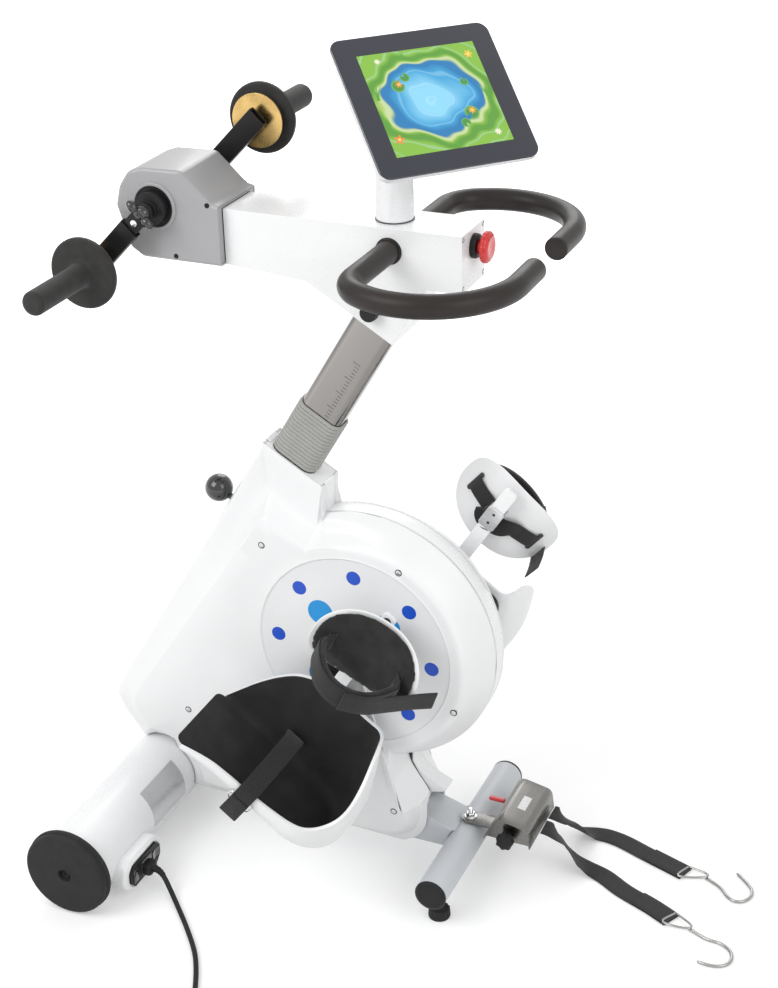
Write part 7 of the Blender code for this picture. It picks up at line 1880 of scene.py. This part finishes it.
# %% [markdown]
# The strap over the foot comes out of a slot in the high wall, lies across the foot's place, and
# goes down the outside of the low wall through a wire ring, where its end is folded into a block.

# %% Foot straps
FOOT_STRAP_WIDE, FOOT_STRAP_S, STRAP_THICK = 0.027, 0.105, 0.003


def wire_loop(loop, plane_normal, radius):
    """A round wire along a closed, flat loop of points."""
    heading = unit(np.roll(loop, -1, axis=0) - np.roll(loop, 1, axis=0))
    normal = np.broadcast_to(unit(plane_normal), loop.shape)
    return skin(carried(loop, circle(radius, 12), normal, np.cross(heading, normal)), tube=True)


outer = SHELL_INNER + SHELL_WIDE + SHELL_WALL
strap_route = ((0.034, SHELL_INNER + 0.0036), (0.046, SHELL_INNER + 0.012), (0.057, SHELL_INNER + 0.032),
    (0.06, SHELL_INNER + 0.06), (0.055, SHELL_INNER + 0.088), (0.044, outer - 0.014), (0.033, outer - 0.001),
    (0.02, outer + 0.0044), (0.004, outer + 0.0052), (-0.022, outer + 0.0045))
corners = round_box(FOOT_STRAP_WIDE + 0.008, 0.013, 0.0045)
for side, sign in SIDES:
    axle = leg_axle(sign)
    body = "pedal_" + side
    path = smooth_path([sole_point(axle, FOOT_STRAP_S, n, sign * y) for n, y in strap_route], 0.0025)
    make_tape("foot_webbing_" + side, path, SOLE_ALONG, FOOT_STRAP_WIDE, STRAP_THICK * 0.75, body,
        ("foot_strap_" + side,))
    fold = sole_point(axle, FOOT_STRAP_S, -0.004, sign * (outer + 0.0072))
    block = slab(round_box(FOOT_STRAP_WIDE, 0.034, 0.0015, 4), -0.0009, 0.0017,
        (fold, SOLE_ALONG, SOLE_ABOVE, sign * Y_AXIS), 0.0007)
    block_uv = (block[0] - fold) @ np.column_stack((SOLE_ALONG, SOLE_ABOVE))
    make_piece("strap_end_fold_" + side, [block], webbing, body, uv=block_uv)
    ring_middle = sole_point(axle, FOOT_STRAP_S, 0.006, sign * (outer + 0.0022))
    loop = place(corners, 0.0, (ring_middle, SOLE_ALONG, SOLE_ABOVE, Y_AXIS))
    make_piece("strap_ring_" + side, [wire_loop(loop, Y_AXIS, 0.0012)], bright_zinc, body)
print("foot straps with end folds and rings")

# %% [markdown]
# A calf cuff is an oval plate bent round the calf, with a soft pad on its hollow side. The pad starts
# as a slab a little smaller than it ends. It is remeshed into small cells and blown up by a short
# cloth simulation, no point may move more than a millimetre or two, and the result becomes its mesh.

# %% Cuff plates and pads
CUFF_UP, CUFF_LONG, CUFF_HIGH, CUFF_CURVE_R = 0.131, 0.156, 0.108, 0.11
CUFF_SHIFT, CLAMP_DEEP, CLAMP_LONG, CLAMP_WIDE = 0.008, 0.0145, 0.034, 0.024
CUFF_THICK, PAD_THICK = 0.003, 0.007
CUFF_TURN = {"near": math.radians(-25.5), "far": math.radians(-42.0)}
CALF_STRAP_WIDE, CALF_STRAP_OUT = 0.03, 0.1
CUFF_BASE_Y = BRACKET_INNER + BAR_FUSE + CLAMP_DEEP
CELL, SWELL_FRAMES, SWELL_MOST, PRESSURE = 0.004, 14, 0.0016, 4.0


def cuff_frame(side, sign):
    """Clamp's point on the calf bar, with the cuff's long and short directions."""
    clamp = leg_axle(sign) + CALF_OFFSET * CALF_RIGHT + CUFF_UP * CALF_UP
    turn = CUFF_TURN[side]
    return (clamp, np.array([math.cos(turn), 0.0, math.sin(turn)]),
        np.array([-math.sin(turn), 0.0, math.cos(turn)]))


def cuff_points(side, sign, flat, lift):
    """Points at (c along, b across) on the curved plate, lifted off it: the plate is part of a
    cylinder of radius CUFF_CURVE_R round the calf."""
    clamp, long_way, short_way = cuff_frame(side, sign)
    flat = np.asarray(flat, float)
    lift = np.broadcast_to(np.asarray(lift, float), len(flat))
    turn = np.arcsin(np.clip(flat[:, 0] / CUFF_CURVE_R, -1.0, 1.0))
    along = (CUFF_CURVE_R - lift) * np.sin(turn)
    out = CUFF_CURVE_R - (CUFF_CURVE_R - lift) * np.cos(turn)
    return (clamp + (along + CUFF_SHIFT)[:, None] * long_way + flat[:, 1:2] * short_way
        + sign * (CUFF_BASE_Y + out)[:, None] * Y_AXIS)


def cuff_spot(side, sign, along, across, out):
    """A point from the clamp along the cuff's two directions, and out from the cuff's back."""
    clamp, long_way, short_way = cuff_frame(side, sign)
    return clamp + along * long_way + across * short_way + sign * (CUFF_BASE_Y + out) * Y_AXIS


def cuff_layer(side, sign, levels):
    """Closed rows of ovals: each level is (share of the size, lift). An oval's cos and sin are raised
    to the power 0.8, which squares it a little."""
    turn = np.linspace(0.0, 2 * math.pi, 96, endpoint=False)
    wave = np.column_stack((np.cos(turn), np.sin(turn)))
    oval = np.sign(wave) * np.abs(wave) ** 0.8 * (CUFF_LONG / 2, CUFF_HIGH / 2)
    return skin([cuff_points(side, sign, oval * share, lift) for share, lift in levels], caps=False)


def coordinates(mesh):
    """All the points of a mesh as one row of numbers."""
    flat = np.zeros(3 * len(mesh.vertices))
    mesh.vertices.foreach_get("co", flat)
    return flat


def blown_up(piece):
    """Remesh a closed piece, let a cloth with pressure swell it, and keep the swollen mesh. Each
    point moves by at most SWELL_MOST."""
    remesh = piece.modifiers.new("cells", "REMESH")
    remesh.mode = "VOXEL"
    remesh.voxel_size = CELL
    graph = bpy.context.evaluated_depsgraph_get()
    cells = bpy.data.meshes.new_from_object(piece.evaluated_get(graph))
    piece.modifiers.clear()
    piece.data = cells
    start = coordinates(cells)
    cloth = piece.modifiers.new("swelling", "CLOTH")
    cloth.settings.use_pressure = True
    cloth.settings.uniform_pressure_force = PRESSURE
    cloth.settings.effector_weights.gravity = 0.0
    scene = bpy.context.scene
    for number in range(1, SWELL_FRAMES + 1):
        scene.frame_set(number)
    end = coordinates(piece.evaluated_get(bpy.context.evaluated_depsgraph_get()).data)
    piece.modifiers.clear()
    scene.frame_set(1)
    move = (end - start).reshape(-1, 3)
    far = np.linalg.norm(move, axis=1)[:, None]
    move *= np.minimum(1.0, SWELL_MOST / np.maximum(far, 1e-9))
    cells.vertices.foreach_set("co", (start.reshape(-1, 3) + move).ravel())
    cells.shade_smooth()
    finer = piece.modifiers.new("finer", "SUBSURF")
    finer.levels = finer.render_levels = 1
    print(piece.name, "moved %.1f mm at most" % (1000 * np.linalg.norm(move, axis=1).max()))


for side, sign in SIDES:
    plate = cuff_layer(side, sign, ((0.0, 0.0), (0.5, 0.0), (0.97, 0.0), (0.992, 0.0004), (1.0, 0.0013),
        (0.997, 0.0024), (0.985, CUFF_THICK), (0.5, CUFF_THICK), (0.0, CUFF_THICK)))
    make_piece("cuff_oval_plate_" + side, [plate], white_shell, "cuff_" + side,
        ("calf_cuff_" + side,))
    low, top = CUFF_THICK + 0.0011, CUFF_THICK + PAD_THICK + 0.0005
    pad = cuff_layer(side, sign, ((0.0, low), (0.45, low), (0.93, low), (0.965, low + 0.001),
        (0.975, (low + top) / 2), (0.965, top - 0.0012), (0.92, top), (0.45, top), (0.0, top)))
    pad_piece = make_piece("cuff_soft_pad_" + side, [pad], foam_pad, "cuff_" + side)
    blown_up(pad_piece)
print("cuff plates and pads")

# %% [markdown]
# The silver clamp goes round the flat bar and carries the plate on its inner side. The strap is
# threaded through two slots in the plate, bulges round the clamp between them, and makes a padded
# loop round the calf's place, with its loose end standing out. The clamp's two holes and the plate's
# two slots are dark discs and strips of painted shade, standing for the shadow in them.

# %% Clamps and calf straps
CLAMP_FACE = BRACKET_INNER + BAR_FUSE - CALF_BAR_THICK
TAILS = {"near": ((0.016, -0.012, 0.1035), (0.045, -0.012, 0.085), (0.07, -0.01, 0.056),
    (0.092, -0.007, 0.03), (0.11, -0.004, 0.012)), "far": ((0.046, -0.012, 0.093), (0.068, -0.014, 0.064),
    (0.078, -0.016, 0.035), (0.086, -0.018, 0.01), (0.09, -0.02, -0.01))}
INNER_RUNS = (((-0.056, -0.0004), (-0.05, -0.0021), (-0.04, -0.0022), (-0.03, -0.0026), (-0.021, -0.0042)),
    ((0.023, -0.004), (0.031, -0.0026), (0.04, -0.0022), (0.05, -0.0021), (0.056, -0.0004)))
BELOW_CLAMP = ((-0.012, -0.011, -0.0075), (0.0, -0.0165, -0.0095), (0.013, -0.012, -0.0075))
LOOP_REACH, LOOP_FROM = 0.06, 0.03
INNER_WIDE = 0.7912 * CALF_STRAP_WIDE
for side, sign in SIDES:
    clamp, long_way, short_way = cuff_frame(side, sign)
    outward = sign * Y_AXIS
    axes = (clamp, CALF_RIGHT, CALF_UP, outward)
    clamp_back = CUFF_BASE_Y - 0.0003
    front = slab(round_box(CLAMP_WIDE, CLAMP_LONG, 0.0045, 7), CLAMP_FACE - 0.0017, CLAMP_FACE - 0.0002, axes,
        0.0006)
    cheeks = []
    for way in (-1, 1):
        strip = round_box(0.0014, CLAMP_LONG - 0.009, 0.0006, 3) + (way * (CLAMP_WIDE / 2 - 0.0009), 0.0)
        cheeks.append(slab(strip, CLAMP_FACE - 0.001, clamp_back, axes, 0.0002))
    block = slab(round_box(CLAMP_WIDE - 0.005, CLAMP_LONG - 0.004, 0.003), bar_top + 0.0003, clamp_back, axes,
        0.0005)
    make_piece("cuff_silver_clamp_" + side, [front, block] + cheeks, brushed_steel, "pedal_" + side)
    # Painted shade: dark discs on the clamp's face stand for the shadow in its two holes.
    hole_shade_line = [(0.0, 0.0001), (0.0021, 0.0001), (0.0021, -0.0001), (0.0, -0.0001)]
    holes = [turned(hole_shade_line, clamp + up * CALF_UP + (CLAMP_FACE - 0.0017) * outward, outward, 24)
        for up in (0.0075, -0.0075)]
    make_piece("clamp_hole_shades_" + side, holes, painted_shade, "pedal_" + side)
    # Painted shade: dark strips on the plate stand for the shadow in the two slots that the strap threads
    # through.
    strip = round_box(0.006, CALF_STRAP_WIDE + 0.004, 0.0028, 5)
    slots = [skin([cuff_points(side, sign, strip + (c, 0.0), lift) for lift in (-0.00015, 0.0004)])
        for c in (-0.056, 0.056)]
    make_piece("cuff_slot_shades_" + side, slots, painted_shade, "cuff_" + side)
    inner_run, outer_run = ([cuff_points(side, sign, [(c, 0.0)], lift)[0] for c, lift in run]
        for run in INNER_RUNS)
    below = [cuff_spot(side, sign, *spot) for spot in BELOW_CLAMP]
    path = smooth_path(inner_run + below + outer_run, 0.0025)
    bend = np.clip(1.0 - np.abs(np.linspace(-1.0, 1.0, len(path))) * 2.4, 0.0, 1.0)[:, None]
    hints = short_way * (1.0 - 0.8 * bend) + outward * 0.8 * bend
    make_tape("cuff_inner_webbing_" + side, path, hints, INNER_WIDE, WEB_THICK, "cuff_" + side)
    lift = CUFF_THICK + PAD_THICK + 0.004
    turns = [math.pi * step / 12 for step in range(1, 12)]
    ends = [cuff_points(side, sign, [(c, 0.0)], lift)[0] for c in (-0.062, -0.052, 0.052, 0.062)]
    loop = [cuff_spot(side, sign, CUFF_SHIFT - LOOP_REACH * math.cos(turn), -0.012 * math.sin(turn),
        LOOP_FROM + (CALF_STRAP_OUT - LOOP_FROM) * math.sin(turn)) for turn in turns]
    loop = ends[:2] + loop + ends[2:]
    path = smooth_path(loop, 0.003)
    make_tape("calf_loop_webbing_" + side, path, short_way, CALF_STRAP_WIDE, 0.0024, "cuff_" + side,
        ("calf_strap_" + side,))
    tail = smooth_path([cuff_spot(side, sign, *spot) for spot in TAILS[side]], 0.003)
    make_tape("calf_loop_tail_" + side, tail, short_way, CALF_STRAP_WIDE * 0.98, WEB_THICK, "cuff_" + side)
    inward = cuff_spot(side, sign, CUFF_SHIFT, 0.0, 0.045) - path
    inward -= (inward @ short_way)[:, None] * short_way
    liner_path = (path + 0.0052 * unit(inward))[10:-10]
    liner = swept(liner_path, round_box(CALF_STRAP_WIDE * 1.12, 0.007, 0.0032, 5), short_way)
    band = make_piece("calf_loop_pad_" + side, [liner], foam_pad, "cuff_" + side)
print("clamps and calf straps")

# %% [markdown]
# The strap retainer is a hood of bent stainless sheet on a round-ended plate, bolted to the rear
# tube. A plate closes each of its ends a little inside the hood. A spool runs through it, with a
# star knob on its near end, and a red lever sticks out towards the machine.

# %% Strap retainer
BRACKET_Z, BRACKET_THICK, BRACKET_R = 0.08, 0.003, 0.013
HOOD_X0, HOOD_X1, HOOD_Y0, HOOD_Y1, HOOD_TOP, HOOD_WALL = 0.124, 0.1915, -0.03, 0.073, 0.112, 0.0015
SPOOL = (0.16, 0.088)
SPOOL_R, STAR_R, STAR_LONG = 0.0125, 0.0125, 0.014
REAR_X, BOLT_SPOT = REAR[0], (REAR[0], 0.0, BRACKET_Z + BRACKET_THICK)
hood_corners = np.array([(HOOD_X0, 0.076), (0.1395, 0.1085), (0.1469, HOOD_TOP), (0.183, 0.1045),
    (0.188, 0.1), (HOOD_X1, 0.0745)])
hood_line = soft_profile(hood_corners, 0.009, 8)
hood_rows = [place(hood_line, y, SIDE_VIEW) for y in (HOOD_Y0, HOOD_Y0 + 0.02, HOOD_Y1 - 0.02, HOOD_Y1)]
hood = make_piece("retainer_hood_sheet", [skin(hood_rows, ring=False)], sheet_steel, "retainer",
    ("retainer_hood",), crease=60.0, flip=False)
top_face = max(hood.data.polygons, key=lambda p: p.center.z)
if top_face.normal.z < 0:
    hood.data.flip_normals()
thicken(hood, HOOD_WALL, 0.0004)
inside_line = offset_outline(np.vstack((hood_line, [(HOOD_X1 - 0.001, 0.0765), (HOOD_X0 + 0.003, 0.0775)])),
    HOOD_WALL + 0.0003)


def radial_outline(outline, centre, count):
    """Points on an outline at even angles round a centre inside it."""
    dense = np.vstack([straight(p, q, 12)[:-1] for p, q in zip(outline, np.roll(outline, -1, axis=0))])
    away = dense - centre
    angle = np.arctan2(away[:, 1], away[:, 0])
    order = np.argsort(angle)
    even = np.linspace(-math.pi, math.pi, count, endpoint=False)
    reach = np.interp(even, angle[order], np.linalg.norm(away, axis=1)[order], period=2 * math.pi)
    return np.asarray(centre) + np.column_stack((reach * np.cos(even), reach * np.sin(even)))


plate_rim = radial_outline(inside_line, np.array(SPOOL), 120)
bore = arc(SPOOL, 0.0058, -math.pi, math.pi, 121)[:-1]
end_plates = [holed_plate(plate_rim, bore, y, y + 0.0015, SIDE_VIEW)
    for y in (HOOD_Y0 + 0.0022, HOOD_Y1 - 0.0037)]
make_piece("retainer_end_plates", end_plates, sheet_steel, "retainer")
reach = HOOD_X0 + 0.0053
tongue = np.vstack((arc((REAR_X, 0.0), BRACKET_R, math.pi / 2, 1.5 * math.pi, 32),
    [(reach, -BRACKET_R), (reach, BRACKET_R)]))
make_piece("retainer_tongue", [slab(tongue, BRACKET_Z, BRACKET_Z + BRACKET_THICK, FLOOR_VIEW, 0.0005)],
    sheet_steel, "retainer")
washer = soft_profile([(0.0, 0.0001), (0.0084, 0.0001), (0.0084, 0.0014), (0.0, 0.0014)], 0.0003)
nut = [(0.0, 0.0013), (0.0066, 0.0013), (0.0066, 0.0062), (0.0058, 0.007), (0.0, 0.007)]
stud = [(0.0, 0.0068)] + [(0.0031 + 0.0003 * (k % 2), 0.0068 + 0.0005 * k) for k in range(13)]
stud += [(0.0024, 0.0134), (0.0, 0.0135)]
bolt = [turned(line, BOLT_SPOT, Z_AXIS, sides) for line, sides in ((washer, 48), (nut, 6), (stud, 28))]
make_piece("retainer_bolt", bolt, bright_zinc, "retainer", crease=25.0)
slope = unit((0.0185, -0.004))
label_x, label_y = 0.1652, 0.023
(ridge_x, ridge_z), (bend_x, bend_z) = hood_corners[2:4]
label_z = ridge_z - (label_x - ridge_x) * (ridge_z - bend_z) / (bend_x - ridge_x)
label_axes = ((label_x, label_y, label_z), (slope[0], 0.0, slope[1]), Y_AXIS, (-slope[1], 0.0, slope[0]))
label = slab(round_box(0.0115, 0.03, 0.0008, 3), -0.0001, 0.0003, label_axes, 0.0001, 1)
make_piece("retainer_bare_label", [label], label_silver, "retainer")
star_in = HOOD_Y0 - 0.004
star_rows = [(0.0, STAR_LONG, 0), (0.0056, STAR_LONG, 0), (0.0078, STAR_LONG - 0.0005, 0.4),
    (STAR_R - 0.0016, STAR_LONG - 0.0018, 1), (STAR_R - 0.001, STAR_LONG - 0.004, 1),
    (STAR_R - 0.001, 0.0032, 1), (STAR_R - 0.0024, 0.001, 0.8), (0.007, 0.0, 0), (0.0, 0.0, 0)]
star = turned(star_rows, (SPOOL[0], star_in, SPOOL[1]), -Y_AXIS, 112, 7, 0.085)
core = turned(soft_profile([(0.0, star_in - 0.001), (0.005, star_in - 0.001), (0.005, HOOD_Y0 + 0.006),
    (SPOOL_R, HOOD_Y0 + 0.006), (SPOOL_R, HOOD_Y1 - 0.006), (0.005, HOOD_Y1 - 0.006), (0.005, HOOD_Y1),
    (0.0, HOOD_Y1)], 0.0006), (SPOOL[0], 0.0, SPOOL[1]), Y_AXIS, 40)
make_piece("strap_spool_and_star", [core, star], black_plastic, "spool", ("strap_spool",))
share = np.linspace(0.0, 1.0, 30)
lever_scale = np.sqrt(np.clip(1.0 - (1.0 - np.clip(share / 0.16, 0.0, 1.0)) ** 2, 0.02, 1.0))
lever = swept((0.1085, 0.035, 0.095) + 0.023 * share[:, None] * X_AXIS, round_box(0.0084, 0.0044, 0.0021),
    Y_AXIS, lever_scale)
make_piece("release_lever_tip", [lever], stop_red, "lever", ("release_lever",))
print("retainer: hood %.3f x %.3f m" % (HOOD_X1 - HOOD_X0, HOOD_Y1 - HOOD_Y0))
